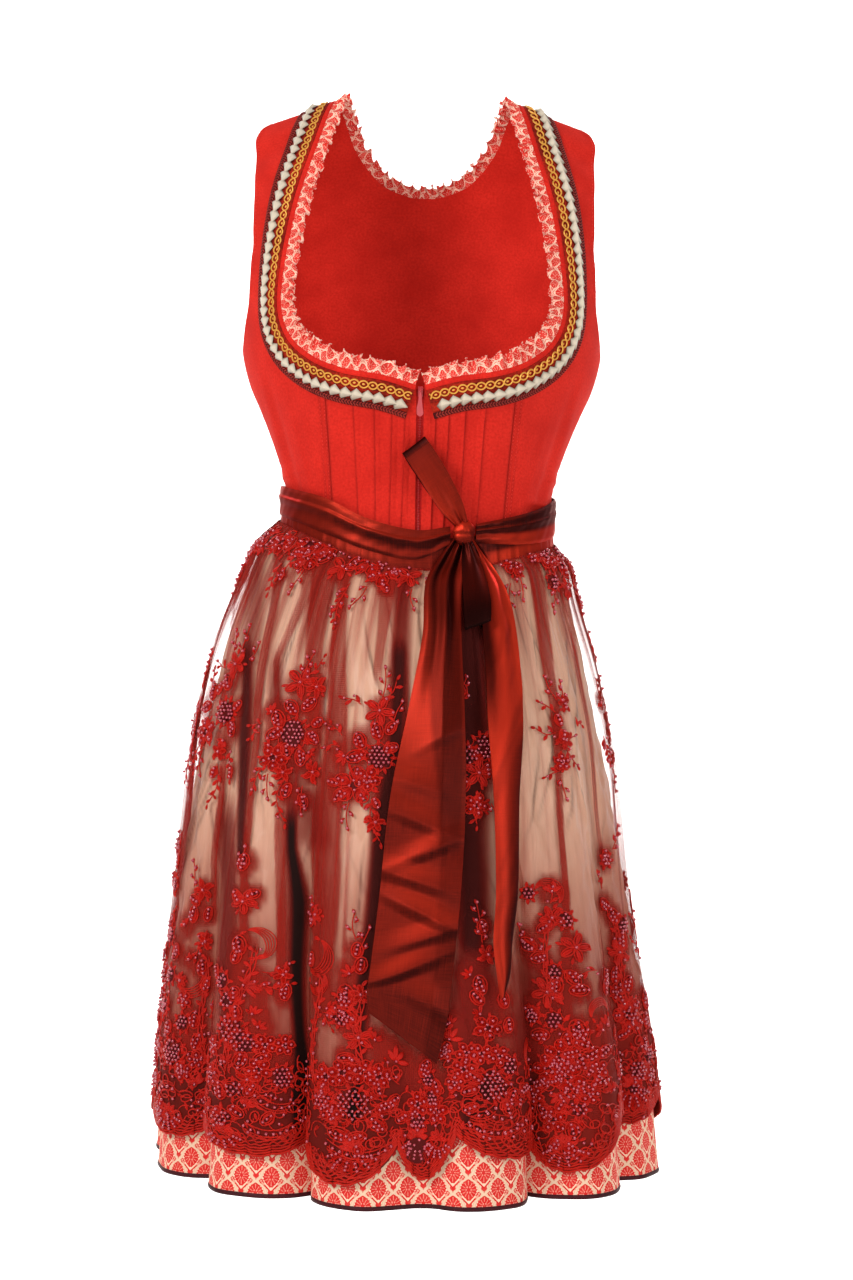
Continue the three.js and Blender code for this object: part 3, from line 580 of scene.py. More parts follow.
@dataclass(frozen=True)
class Tulle(Finish):
    """Net tulle: open holes between fine twisted threads. Its cover comes from the mark `cover`, higher
    where gathers lay it double, and in the folds marked `deep` it takes painted shade: it closes up and goes
    to a near-black shadow colour. The net is drawn at 1.8 mm, a little coarser than the real net.
    """

    thread: str
    double: str
    shadow: str

    def dress(self, steps: Steps) -> dict[str, object]:
        """The shader's numbers and patterns, by the input's name."""
        uv = steps.places()
        cover, deep = steps.mark("cover"), steps.mark("deep")
        holes = {"Vector": uv, "Scale": 560.0, "Randomness": 0.25}
        cells = add_node(steps.tree, "ShaderNodeTexVoronoi", holes, feature="DISTANCE_TO_EDGE")
        net = steps.ranged(cells, 0.05, 0.3, (1.4, 0.8))
        streaks = steps.noise(steps.scaled(uv, 160.0, 5.0), detail=3.0)
        uneven = steps.ranged(streaks, 0.3, 0.7, (0.7, 1.3))
        thin = steps.calc("MULTIPLY", steps.calc("MULTIPLY", cover, net), uneven)
        dyed_and_painted_light = steps.mixed(cover, self.thread, self.double)
        return {
            "Base Color": steps.mixed(deep, dyed_and_painted_light, self.shadow),
            "Alpha": steps.calc("MULTIPLY_ADD", deep, 0.94, thin, clamp=True),
            "Roughness": 0.8,
            "Specular IOR Level": 0.08,
        }


@dataclass(frozen=True)
class DamaskPrint(Finish):
    """Cotton printed with a small damask: an ogee trellis in cream, and in each of its cells a red
    palmette on a bud between two wings. One repeat of the skirt's print is 28.2 mm wide and 28.8 mm high,
    with a half drop.
    """

    ground: str
    vein: str
    ink: str
    wide: float = 28.2
    high: float = 28.8

    def dress(self, steps: Steps) -> dict[str, object]:
        """The shader's numbers and patterns, by the input's name.

        With u and v counted in repeats, a cell's half width grows from its top point in a quick, a slow and
        a quick step, and its lower half is what the cells beside it leave. The distance from that line gives
        the trellis band, and its sign says which column of cells a place lies in. Within a cell, x and y
        are in millimetres from its middle.
        """
        calc, uv = steps.calc, steps.places()
        repeats = steps.scaled(uv, 1 / (self.wide * MM), 1 / (self.high * MM))
        u = add_node(steps.tree, "ShaderNodeSeparateXYZ", {0: repeats})
        v = u.node.outputs["Y"]

        def wave(of: object, turns: float, size: float, plus: object) -> Socket:
            """A cosine of a value times a number of radians, scaled, plus something."""
            return calc("MULTIPLY_ADD", calc("COSINE", calc("MULTIPLY", of, turns)), size, plus)

        def oval(x0: float, y0: float, turn: float, long: float, wide: float) -> Socket:
            """The square of the distance from the middle of a slanted oval, in its half sizes, on both
            flanks.
            """
            c, s = heading(turn)
            dx, dy = calc("SUBTRACT", flank, x0), calc("SUBTRACT", y, y0)
            a = calc("MULTIPLY_ADD", dx, c / long, calc("MULTIPLY", dy, s / long))
            b = calc("MULTIPLY_ADD", dx, -s / wide, calc("MULTIPLY", dy, c / wide))
            return calc("MULTIPLY_ADD", a, a, calc("MULTIPLY", b, b))

        # The trellis.
        column = calc("PINGPONG", u, 0.5)
        down = calc("FRACT", calc("SUBTRACT", 0.5, v))
        step = calc("FRACT", calc("MULTIPLY", down, 2.0))
        swing = calc("MULTIPLY_ADD", calc("SINE", calc("MULTIPLY", step, math.pi)), 0.135, step)
        grown = calc("MULTIPLY_ADD", calc("SINE", calc("MULTIPLY", step, 2 * math.pi)), 0.1, swing)
        lower = calc("GREATER_THAN", down, 0.5)
        width = calc("MULTIPLY_ADD", lower, calc("MULTIPLY_ADD", grown, -2.0, 1.0), grown)
        side = calc("MULTIPLY_ADD", width, -0.5, column)
        other = calc("GREATER_THAN", side, 0.0)
        across = calc("MULTIPLY_ADD", other, calc("MULTIPLY_ADD", column, -2.0, 0.5), column)
        x = calc("MULTIPLY", across, self.wide)
        y = calc("MULTIPLY", calc("WRAP", calc("MULTIPLY_ADD", other, 0.5, v), 0.5, -0.5), self.high)
        flank, away = calc("ABSOLUTE", x), calc("ABSOLUTE", side)
        steep = calc("ABSOLUTE", calc("COSINE", calc("MULTIPLY", step, math.pi)))
        leafy = wave(v, 24 * math.pi, 0.008, calc("MULTIPLY_ADD", steep, 0.026, 0.038))
        band, outline = calc("LESS_THAN", away, leafy), calc("COMPARE", away, leafy, 0.012)
        # The palmette, within a rounded square whose edge waves, and the bud below its vee.
        up = calc("SUBTRACT", y, 4.4)
        around = calc("ARCTAN2", up, x)
        sideways = calc("POWER", calc("DIVIDE", flank, 7.5), 1.55)
        tall = calc("POWER", calc("DIVIDE", calc("ABSOLUTE", up), 9.6), 1.55)
        reach = calc("POWER", calc("ADD", sideways, tall), 1 / 1.55)
        line = calc("MULTIPLY_ADD", flank, 1.0, -7.0)
        above = calc("GREATER_THAN", y, line)
        palmette = calc("MULTIPLY", calc("LESS_THAN", reach, wave(around, 18.0, 0.06, 1.0)), above)
        bud = calc("LESS_THAN", flank, wave(y, 1.3, 0.6, calc("MULTIPLY_ADD", y, 0.5, 6.9)))
        bud = calc("MULTIPLY", bud, calc("SUBTRACT", 1.0, above))
        vee = calc("MULTIPLY", calc("COMPARE", line, y, 0.8), calc("LESS_THAN", flank, 6.2))
        ribbed = calc("GREATER_THAN", wave(around, 12.0, 1.0, 0.0), 0.84)
        ribs = calc("MULTIPLY", calc("COMPARE", reach, 0.62, 0.2), ribbed)
        parted = calc("GREATER_THAN", wave(around, 6.0, 1.0, 0.0), 0.0)
        heart = calc("MULTIPLY", calc("COMPARE", reach, 0.3, 0.07), parted)
        # The wings, each an oval and a curl with pale hollows.
        wing, curl = oval(7.4, -1.6, 48.0, 3.9, 2.0), oval(9.2, 0.9, 0.0, 1.9, 1.9)
        wings = calc("MAXIMUM", calc("LESS_THAN", wing, 1.0), calc("LESS_THAN", curl, 1.0))
        hollow = calc("MAXIMUM", calc("LESS_THAN", wing, 0.25), calc("LESS_THAN", curl, 0.25))
        # The ink and the ground under it.
        inked = calc("MAXIMUM", calc("MAXIMUM", palmette, bud), wings)
        inked = calc("MULTIPLY", inked, calc("SUBTRACT", 1.0, vee))
        inked = calc("MULTIPLY", inked, calc("SUBTRACT", 1.0, band))
        pale = calc("MULTIPLY_ADD", calc("MAXIMUM", calc("MAXIMUM", ribs, heart), hollow), -0.5, 1.0)
        uneven = calc("MULTIPLY_ADD", steps.noise(uv, 300.0, 3.0), 0.3, 0.84)
        wear_and_painted_shade = calc("MULTIPLY", calc("MULTIPLY", inked, pale), uneven)
        veined = calc("MAXIMUM", calc("MULTIPLY", band, 0.35), calc("MULTIPLY", outline, 0.8))
        return {
            "Base Color": steps.mixed(wear_and_painted_shade, steps.mixed(veined, self.ground, self.vein), self.ink),
            "Normal": steps.raised(steps.bands(uv, 350.0, "DIAGONAL"), 0.25, 0.08),
            "Roughness": 0.75,
            "Specular IOR Level": 0.15,
        }


@dataclass(frozen=True)
class StitchedThread(Finish):
    """Embroidery thread laid side by side: satin stitches in fine ridges, drawn 0.8 mm apart so that they
    show, with a painted highlight on the ridges and painted shade between them, uneven at random.
    """

    base: str
    shade: str
    roughness: float = 0.45

    def dress(self, steps: Steps) -> dict[str, object]:
        """The shader's numbers and patterns, by the input's name."""
        place = steps.places("Object")
        ridges = steps.bands(place, 390.0, "DIAGONAL", 3.0)
        share = steps.ranged(steps.calc("ADD", ridges, steps.noise(place, 90.0)), 0.35, 1.15)
        return {
            "Base Color": steps.mixed(share, self.shade, self.base),
            "Normal": steps.raised(ridges, 0.5, 0.2),
            "Roughness": self.roughness,
            "Specular IOR Level": 0.12,
        }


@dataclass(frozen=True)
class Lacquer(Finish):
    """A hard, even finish such as dipped glass pearl, gilt wire or enamelled zinc: a smooth body with a
    faint mottling in its gloss.
    """

    base: str
    metallic: float = 0.0
    roughness: float = 0.25
    coat: float = 0.0

    def dress(self, steps: Steps) -> dict[str, object]:
        """The shader's numbers and patterns, by the input's name."""
        mottle = steps.noise(steps.places("Object"), 160.0)
        return {
            "Base Color": colour(self.base),
            "Metallic": self.metallic,
            "Roughness": steps.ranged(mottle, 0.0, 1.0, (self.roughness * 0.8, self.roughness * 1.25)),
            "Coat Weight": self.coat,
            "Coat Roughness": 0.08,
        }


class Stock(Enum):
    """The finishes that the dress is made of."""

    # Cotton-linen face cloth, piece-dyed and plainly woven: matt, with raised fibres.
    BODICE_CLOTH = WovenCloth("cotton_linen_woven_red", "CF271B", "B61B11")
    # The same cloth cut as a strip.
    BINDING = WovenCloth("cotton_linen_strip_red", "D4261A", "B41A12", thread=0.8)
    # Printed cotton sateen.
    PRINT = DamaskPrint("cotton_printed_damask", "EBC8AC", "C9A284", "D02422")
    # The same print cut as a narrow strip, drawn smaller because its gathers hide most of it.
    FRILL_PRINT = DamaskPrint("cotton_printed_strip", "F2CCB4", "E69C88", "D42C24", wide=21.0, high=19.0)
    # Burgundy cord covered in bias-cut satin.
    PIPING = WovenCloth("satin_bias_piping_burgundy", "431419", "2E0C10", roughness=0.5)
    # Shot polyester taffeta.
    TAFFETA = Taffeta("taffeta_shot_wine_red", "300A08", "B02A18")
    # Acetate lining satin.
    SATIN = Satin("satin_lining_beige", "DDB094", "C39478")
    # Nylon net, dyed red.
    TULLE = Tulle("tulle_net_red", "A01C14", "801C12", "1A0806")
    # Rayon machine embroidery.
    EMBROIDERY = StitchedThread("rayon_embroidery_red", "C2180C", "620A06")
    # The same thread laid flat and close as a ground, darkened by painted shade from the work that stands on
    # it.
    GROUND = StitchedThread("rayon_ground_dark_red", "5C0A08", "2C0404", roughness=0.7)
    # Rayon cord couched along the edges.
    CORDING = StitchedThread("rayon_cording_red", "BE1C0E", "700A06")
    # Dipped glass pearls, burgundy with a pink lustre.
    PEARL = Lacquer("glass_pearl_burgundy", "AE3A48", metallic=0.2, roughness=0.22, coat=0.7)
    # Gilt thread wound on a core.
    GILT = Lacquer("gilt_wound_thread", "DEA040", metallic=0.35, roughness=0.45)
    # Burgundy woven braid.
    BRAID = WovenCloth("braid_woven_burgundy", "AC2410", "5C100A", thread=1.2, relief=0.3)
    # Rayon gimp.
    GIMP = StitchedThread("rayon_gimp_burgundy", "9A2E24", "561412")
    # The woven foot of the gimp, which shows dark between its loops.
    GIMP_GROUND = StitchedThread("rayon_gimp_foot_dark", "480C0C", "280606", roughness=0.8)
    # Champagne satin ribbon, folded.
    RIBBON = Satin("satin_ribbon_champagne", "DACDB8", "BCAE98", roughness=0.55)
    # Sewing thread.
    THREAD = StitchedThread("polyester_sewing_thread_red", "E2382C", "B01C14")
    # Pale overlock thread.
    PALE_THREAD = StitchedThread("polyester_overlock_thread_pale", "E8B4A4", "C87A6C")
    # Woven zip tape.
    ZIP_TAPE = WovenCloth("polyester_zip_tape_red", "B81C1A", "8E1412", thread=0.8)
    # Nylon coil.
    ZIP_COIL = Lacquer("nylon_zip_coil_red", "B01A1A", roughness=0.35)
    # Zinc alloy, enamelled.
    ENAMEL = Lacquer("zinc_enamelled_red", "AE1A22", metallic=0.0, roughness=0.42, coat=0.25)

    def material(self) -> bpy.types.Material:
        """The material, made when it is first asked for."""
        return bpy.data.materials.get(self.value.name) or self.value.build()


# ---------------------------------------------------------------- the forms that the cloth follows


class BodiceForm:
    """The form of the bodice, by the angle round from the centre and the way along the cloth over the
    shoulder, negative on the front and positive on the back.
    """

    FRONT = np.array(
        [  # along, height, half width, depth
            (-500, -450, 127, -101),
            (-455, -405, 126, -100),
            (-415, -365, 132, -106),
            (-371, -322, 147, -118),
            (-331, -283, 165, -128),
            (-292, -245, 174, -131),
            (-246, -200, 176, -122),
            (-201, -156, 181, -109),
            (-160, -118, 184, -93),
            (-120, -82, 186, -75),
            (-78, -46, 187, -52),
            (-38, -14, 188, -27),
            (0, 0, 188, 0),
        ],
        float,
    )
    BACK_DEPTHS = (38, 68, 90, 103, 107, 106, 104, 102, 99, 94, 90, 92)
    BUST = (80.0, -283.0, 13.0, 50.0)  # from the centre, height, bulge, spread
    NECK, PITCH, RUN, FADE = 66.0, 0.38, 12.0, 170.0  # the slope of the shoulder
    SIDE = 124.0  # from the centre to the side seam at the waist

    def __init__(self) -> None:
        """Joins the front and back rows into one table."""
        back = self.FRONT[-2::-1].copy()
        back[:, 0] *= -1
        back[:, 3] = self.BACK_DEPTHS
        self.table = np.concatenate([self.FRONT, back])
        self.levels = np.linspace(-500, 0, 2001)
        self.heights = hermite(self.table, 1, self.levels)

    def point(self, angle: Array, along: Array) -> Array:
        """Points of the form: an ellipse at each level, its height lowered past the neck end of the
        shoulder, and its front filled out by a bell at each side.
        """
        x = hermite(self.table, 2, along) * np.sin(angle)
        outward = np.maximum(np.abs(x) - self.NECK, 0)
        near = np.cos(math.pi / 2 * np.minimum(np.abs(along) / self.FADE, 1)) ** 2
        z = hermite(self.table, 1, along) - self.PITCH * outward**2 / (outward + self.RUN) * near
        y = hermite(self.table, 3, along) * np.cos(angle)
        side, height, bulge, spread = self.BUST
        filled = bulge * bump(np.abs(x) - side, spread) * bump(z - height, spread) * np.cos(angle)
        return np.stack([x, y - np.where(along < 0, filled, 0), z], -1)

    def frame(self, angle: Array, along: Array) -> tuple[Array, Array, Array]:
        """The form's two directions at points, by central differences, and its outward normal."""
        da, dl = 0.004, 0.5
        across = (self.point(angle + da, along) - self.point(angle - da, along)) / (2 * da)
        over = (self.point(angle, along + dl) - self.point(angle, along - dl)) / (2 * dl)
        return across, over, unit(np.cross(across, over))

    def lifted(self, angle: Array, along: Array, lift: Array) -> Array:
        """Points at a distance off the form."""
        return self.point(angle, along) + self.frame(angle, along)[2] * np.asarray(lift)[..., None]

    def angle_at(self, x: Array, along: Array) -> Array:
        """The angle of points at a distance x from the centre."""
        return np.arcsin(np.clip(x / hermite(self.table, 2, along), -1, 1))

    def front_level(self, height: Array) -> Array:
        """The level of the front at a height."""
        return np.interp(height, self.heights, self.levels)

    def front(self, x: Array, height: Array, lift: Array) -> Array:
        """Points of the front at a distance from the centre and a height, off the form."""
        level = self.front_level(height)
        x, level = np.broadcast_arrays(x, level)
        return self.lifted(self.angle_at(x, level), level, lift)


class Waist:
    """The waist seam, which dips towards the centre front and hangs lower at the wearer's left, and the
    form of the sash wound over it.
    """

    SIDE, DIP, TILT = -400.0, 38.0, 10.0
    HALF_WIDTH, FRONT, BACK, SWAY = 128.0, 101.0, 92.0, -1.0

    def back_height(self, x: Array) -> Array:
        """The seam's height on the back: a straight slope."""
        return self.SIDE - self.TILT * np.clip(np.asarray(x) / 130, -1, 1)

    def front_height(self, x: Array) -> Array:
        """The seam's height on the front: the slope less a quarter wave."""
        share = np.clip(np.asarray(x) / 130, -1, 1)
        return self.back_height(x) - self.DIP * np.cos(math.pi / 2 * share)

    def height(self, degrees: Array) -> Array:
        """The seam's height at an angle round from the centre front."""
        x = 124 * np.sin(np.radians(degrees))
        return np.where(np.cos(np.radians(degrees)) > 0, self.front_height(x), self.back_height(x))

    def point(self, degrees: Array, height: Array, lift: Array) -> Array:
        """Points of the sash's form: an ellipse carried straight up and down."""
        angle = np.radians(degrees)
        reach = np.where(np.cos(angle) > 0, self.FRONT, self.BACK)
        x = self.SWAY + (self.HALF_WIDTH + lift) * np.sin(angle)
        return np.stack(np.broadcast_arrays(x, -(reach + lift) * np.cos(angle), height), -1)


class SkirtForm:
    """The form of the skirt and of the apron's two layers: an oval that widens to the hem, pulled in at a
    row of folds, with finer gathers under the waistband.
    """

    HEM = -1024.0
    LEVELS = np.array(
        [  # height at the side, half width, front, back, sway
            (-1024, 247, 252, 224, -1),
            (-900, 236, 234, 210, -4),
            (-780, 219, 212, 190, -9),
            (-640, 199, 184, 162, -10),
            (-540, 177, 158, 137, -10),
            (-480, 158, 134, 118, -8),
            (-436, 143, 112, 102, -4),
            (-418, 128, 101, 91, -1),
            (-400, 124, 98, 88, 0),
        ],
        float,
    )
    FOLDS = np.array(
        [  # angle, depth, roll, start
            (-171, 30, 7, 0.1),
            (-140, 34, 8, 0.05),
            (-112, 26, 6, 0.2),
            (-84, 30, 8, 0.1),
            (-55, 34, 9, 0.12),
            (-24, 46, 10, 0.08),
            (4, 16, 2, 0.3),
            (33, 44, 10, 0.08),
            (63, 26, 7, 0.2),
            (90, 32, 8, 0.1),
            (121, 28, 7, 0.15),
            (152, 34, 8, 0.05),
        ],
        float,
    )

    def __init__(self, waist: Waist) -> None:
        """Keeps the waist seam that the skirt hangs from, and measures the hem."""
        self.waist = waist
        turns = np.linspace(-180, 180, 2881)
        self.turns, self.lengths = turns, along_path(self.point(turns, np.full_like(turns, self.HEM), 1, 0))

    def fall(self, degrees: Array, height: Array) -> Array:
        """How far down the skirt a height is, from 0 at the waist seam to 1 at the hem."""
        waist = self.waist.height(degrees)
        return np.clip((height - waist) / (self.HEM - waist), 0, 1)

    def ripple(self, degrees: Array, fall: Array) -> Array:
        """How far the finer gathers stand in or out: short waves that die away below the waistband, and
        longer uneven ones between the folds. Every layer shares them.
        """
        short = 1.3 * gathered(degrees, (60, 104, 175), 1.0) * (1 - smoothstep(fall, 0.06, 0.42))
        middle = 1.6 * gathered(degrees, (19, 33, 55), 2.0 + fall) * smoothstep(fall, 0.03, 0.3)
        long = 1.8 * gathered(degrees, (11, 19, 32), 5.0) * smoothstep(fall, 0.25, 0.9)
        return short + middle + long - 1.0

    def point(self, degrees: Array, height: Array, fold: float, lift: Array) -> Array:
        """Points of the form.

        Args:
            degrees: the angle round from the centre front, positive to the wearer's left.
            height: the height.
            fold: how much of the folds' depth the layer follows.
            lift: how far outwards the layer hangs.

        Returns:
            The points.
        """
        degrees, height, lift = np.broadcast_arrays(*(np.asarray(a, float) for a in (degrees, height, lift)))
        fall = self.fall(degrees, height)
        level = lerp(self.waist.SIDE, self.HEM, fall)
        turn = (degrees - self.FOLDS[0, 0]) % 360 + self.FOLDS[0, 0]
        i = np.searchsorted(self.FOLDS[:, 0], turn + 1e-6, side="right") - 1
        left, right = self.FOLDS[i], self.FOLDS[(i + 1) % len(self.FOLDS)]
        share = (turn - left[..., 0]) / ((right[..., 0] - left[..., 0]) % 360)
        grown = [smoothstep(fall, fold_row[..., 3], 1.05) for fold_row in (left, right)]
        depth = lerp(left[..., 1] * grown[0] ** 0.8, right[..., 1] * grown[1] ** 0.8, share)
        roll = lerp(left[..., 2] * grown[0] ** 0.8, right[..., 2] * grown[1] ** 0.8, share)
        inward = fold * depth * (1 - np.sin(math.pi * np.clip(share, 0, 1)) ** 1.3)
        sideways = -roll * np.sin(2 * math.pi * share)
        angle = np.radians(turn)
        half_width = hermite(self.LEVELS, 1, level)
        reach = np.where(np.cos(angle) > 0, hermite(self.LEVELS, 2, level), hermite(self.LEVELS, 3, level))
        sway = hermite(self.LEVELS, 4, level)
        outward = unit(
            np.stack([reach * np.sin(angle), -half_width * np.cos(angle), np.zeros_like(angle)], -1)
        )
        tangent = np.stack([-outward[..., 1], outward[..., 0], np.zeros_like(angle)], -1)
        base = np.stack([sway + half_width * np.sin(angle), -reach * np.cos(angle), height], -1)
        out = (lift - inward + self.ripple(degrees, fall))[..., None]
        return base + outward * out + tangent * sideways[..., None]

    def frame(self, degrees: Array, height: Array, fold: float, lift: Array) -> tuple[Array, ...]:
        """A point of a layer, its direction round and its outward normal."""
        d, h = 0.25, 1.0
        here = self.point(degrees, height, fold, lift)
        across = self.point(degrees + d, height, fold, lift) - self.point(degrees - d, height, fold, lift)
        down = self.point(degrees, height - h, fold, lift) - self.point(degrees, height + h, fold, lift)
        return here, unit(across), unit(np.cross(down, across))

    def set_in(self, degrees: Array, fall: Array) -> Array:
        """How much closer in the skirt and the satin hang at the sides, under the lace that stands off."""
        side = np.abs(degrees)
        return 6.0 * smoothstep(side, 45, 78) * bump(fall - 0.25, 0.22) * (1 - smoothstep(side, 106, 125))

    def around(self, height: Array) -> Array:
        """The radius of the front at a height: the mean of its half width and its depth."""
        return np.interp(height, self.LEVELS[:, 0], self.LEVELS[:, 1:3].mean(1))

    def cloth(self, degrees: Array) -> Array:
        """The distance round the cloth at the hem, which is the same cloth all the way up."""
        return np.interp(degrees, self.turns, self.lengths)


class NeckForm:
    """The neckline edge, from the centre front over the shoulder to the centre back, and the cloth next to
    it. Places on it are given by the length run from the right centre front round the back to the left
    centre front, and by the distance out from the edge.
    """

    EDGE = np.array(
        [  # from the centre, along
            (4, -337),
            (32, -329),
            (72, -322),
            (101, -309),
            (122, -288),
            (131, -258),
            (128, -215),
            (118, -155),
            (104, -92),
            (92, -38),
            (86, 0),
            (80, 36),
            (69, 72),
            (46, 103),
            (18, 117),
            (0, 119),
        ],
        float,
    )
    SHOULDER = 10 / 15  # the share of the edge at which it crosses the shoulder
    WALK = 6  # steps away from the edge

    def __init__(self, form: BodiceForm) -> None:
        """Keeps the form and samples the edge for readings by height."""
        self.form = form
        self.shares = np.linspace(0, 1, 1501)
        edge = catmull(self.EDGE, self.shares)
        self.edge_x, self.edge_along = edge[:, 0], edge[:, 1]

    def walk(self, s: Array, side: Array, distance: Array, lift: Array) -> Array:
        """Points at a distance out from the edge on the cloth.

        It steps away from the edge at right angles, along the form, in a few equal steps, each solved for
        the form's own two directions.

        Args:
            s: the share of one side's edge.
            side: -1 on the wearer's right and 1 on the left.
            distance: how far out from the edge; negative is into the opening.
            lift: how far off the cloth.

        Returns:
            The points.
        """
        s, side, distance, lift = np.broadcast_arrays(
            *(np.asarray(a, float) for a in (s, side, distance, lift))
        )
        form = self.form
        edge = catmull(self.EDGE, s)
        heading = unit(catmull(self.EDGE, s + 1e-4) - catmull(self.EDGE, s - 1e-4))
        angle, along = form.angle_at(edge[..., 0], edge[..., 1]) * side, edge[..., 1].copy()
        ahead = edge + 0.5 * heading
        tangent = form.point(form.angle_at(ahead[..., 0], ahead[..., 1]) * side, ahead[..., 1])
        tangent = tangent - form.point(angle, along)
        direction = None
        for _ in range(self.WALK):
            across, over, normal = form.frame(angle, along)
            if direction is None:
                direction = np.cross(tangent, normal) * side[..., None]
            direction = unit(direction - normal * (direction * normal).sum(-1, keepdims=True))
            aa, ao, oo = ((p * q).sum(-1) for p, q in ((across, across), (across, over), (over, over)))
            da, dd = (across * direction).sum(-1), (over * direction).sum(-1)
            size = distance / self.WALK / (aa * oo - ao * ao)
            angle = angle + size * (da * oo - dd * ao)
            along = along + size * (dd * aa - da * ao)
        return form.lifted(angle, along, lift)

    def run(self, middle: float) -> NeckRun:
        """The neckline measured along a line at a distance out from the edge."""
        return NeckRun(self, middle)


class NeckRun:
    """One trim's line round the neckline, measured in millimetres."""

    def __init__(self, neck: NeckForm, middle: float) -> None:
        """Measures the line at the distance `middle` on both sides."""
        self.neck = neck
        s = np.concatenate([np.linspace(0, 1, 401), np.linspace(1, 0, 401)[1:]])
        side = np.where(np.arange(801) <= 400, -1.0, 1.0)
        self.lengths = along_path(neck.walk(s, side, middle, 0))
        self.shares = np.concatenate([np.linspace(0, 1, 401), np.linspace(1, 2, 401)[1:]])
        self.length = float(self.lengths[-1])

    def share(self, run: Array) -> Array:
        """The share of one side's edge at a length run."""
        both = np.interp(run, self.lengths, self.shares)
        return np.minimum(both, 2 - both)

    def place(self, run: Array, distance: Array, lift: Array) -> Array:
        """Points at a length run, a distance out and a height off the cloth."""
        both = np.interp(run, self.lengths, self.shares)
        return self.neck.walk(np.minimum(both, 2 - both), np.where(both <= 1, -1.0, 1.0), distance, lift)

    def frame(self, run: Array, distance: Array, lift: Array) -> tuple[Array, Array, Array, Array]:
        """A point, and the directions on along the trim, out from the edge and off the cloth."""
        here = self.place(run, distance, lift)
        on = unit(self.place(run + 0.8, distance, lift) - self.place(run - 0.8, distance, lift))
        out = unit(self.place(run, distance + 0.5, lift) - self.place(run, distance - 0.5, lift))
        return here, on, out, unit(np.cross(out, on))


# ---------------------------------------------------------------- repeated small bodies


def lens(stations: int, around: int) -> Array:
    """A leaf or petal lying along X from 0 to 1, one wide and one high: rings flattened underneath, widest
    half way along.
    """
    t = np.linspace(0, 1, stations)
    half = 0.5 * np.sin(math.pi * t) ** 0.8
    turn = circle(around)
    y = half[:, None] * np.cos(turn)
    z = (half[:, None] * 2) ** 0.7 * np.maximum(np.sin(turn), -0.12)
    x = np.broadcast_to(t[:, None], y.shape)
    return np.stack([x, -y, z], -1)


def satin_petal(stations: int = 6) -> Array:
    """A satin-stitched petal along X from 0 to 1: two padded halves that meet in a groove."""
    t = np.linspace(0, 1, stations)[:, None]
    half = 0.5 * np.sin(math.pi * t**1.2) ** 0.75
    across = np.array([-1.0, -0.85, -0.45, 0.0, 0.45, 0.85, 1.0, 0.0])
    rise = np.array([0.0, 0.75, 1.0, 0.45, 1.0, 0.75, 0.0, -0.1])
    return np.stack([t + 0 * across, half * across, (half * 2) ** 0.6 * rise], -1)


def ball(stations: int, around: int) -> Array:
    """A ball one across, its middle at the origin: rings from pole to pole."""
    t = np.linspace(0, math.pi, stations)[:, None]
    turn = circle(around)
    rise = np.broadcast_to(0.5 * np.cos(t), (stations, around))
    return np.concatenate([polar(0.5 * np.sin(t), turn), rise[..., None]], -1)


def scattered(template: Array, origins: Array, on: Array, aside: Array, up: Array, size: Array) -> Shell:
    """Copies of a small body, each set in its own three directions and scaled along them.

    Args:
        template: stations, ring points and coordinates of the body.
        origins: where each copy is.
        on: each copy's first direction.
        aside: its second direction.
        up: its third direction, off the cloth.
        size: its size along each.

    Returns:
        One shell of all the copies.
    """
    axes = np.stack([on, aside, up], 1) * np.broadcast_to(size, origins.shape)[:, :, None]
    points = np.einsum("sac,kcd->ksad", template, axes) + origins[:, None, None, :]
    return ringed(points)


# ---------------------------------------------------------------- the bodice


def resampled(path: Array, count: int, measure: Array | None = None) -> Array:
    """A path again with evenly spaced points, by its own length or by a given measure."""
    length = along_path(path if measure is None else measure)
    at = np.linspace(0, length[-1], count)
    return np.stack([np.interp(at, length, path[:, k]) for k in range(path.shape[1])], -1)


def stitched(
    paths: list[tuple[Array, Array]], length: float = 2.6, gap: float = 1.1, width: float = 0.55
) -> Shell:
    """Lines of running stitches: short rounded threads set end to end along each path.

    Args:
        paths: pairs of a path's points and the normals there.
        length: one stitch's length.
        gap: the space to the next.
        width: the thread's width.

    Returns:
        All the stitches as one shell.
    """
    rows = []
    for path, normals in paths:
        run = along_path(path)
        at = np.arange(0, run[-1] - length, length + gap)
        start, end, up = (
            np.stack([np.interp(at + offset, run, source[:, k]) for k in range(3)], -1)
            for offset, source in ((0, path), (length, path), (length / 2, normals))
        )
        rows.append((start, unit(end - start), unit(up)))
    start, on, up = (np.concatenate(part) for part in zip(*rows))
    return scattered(lens(5, 5), start, on, np.cross(up, on), up, np.array([length, width, width * 0.8]))


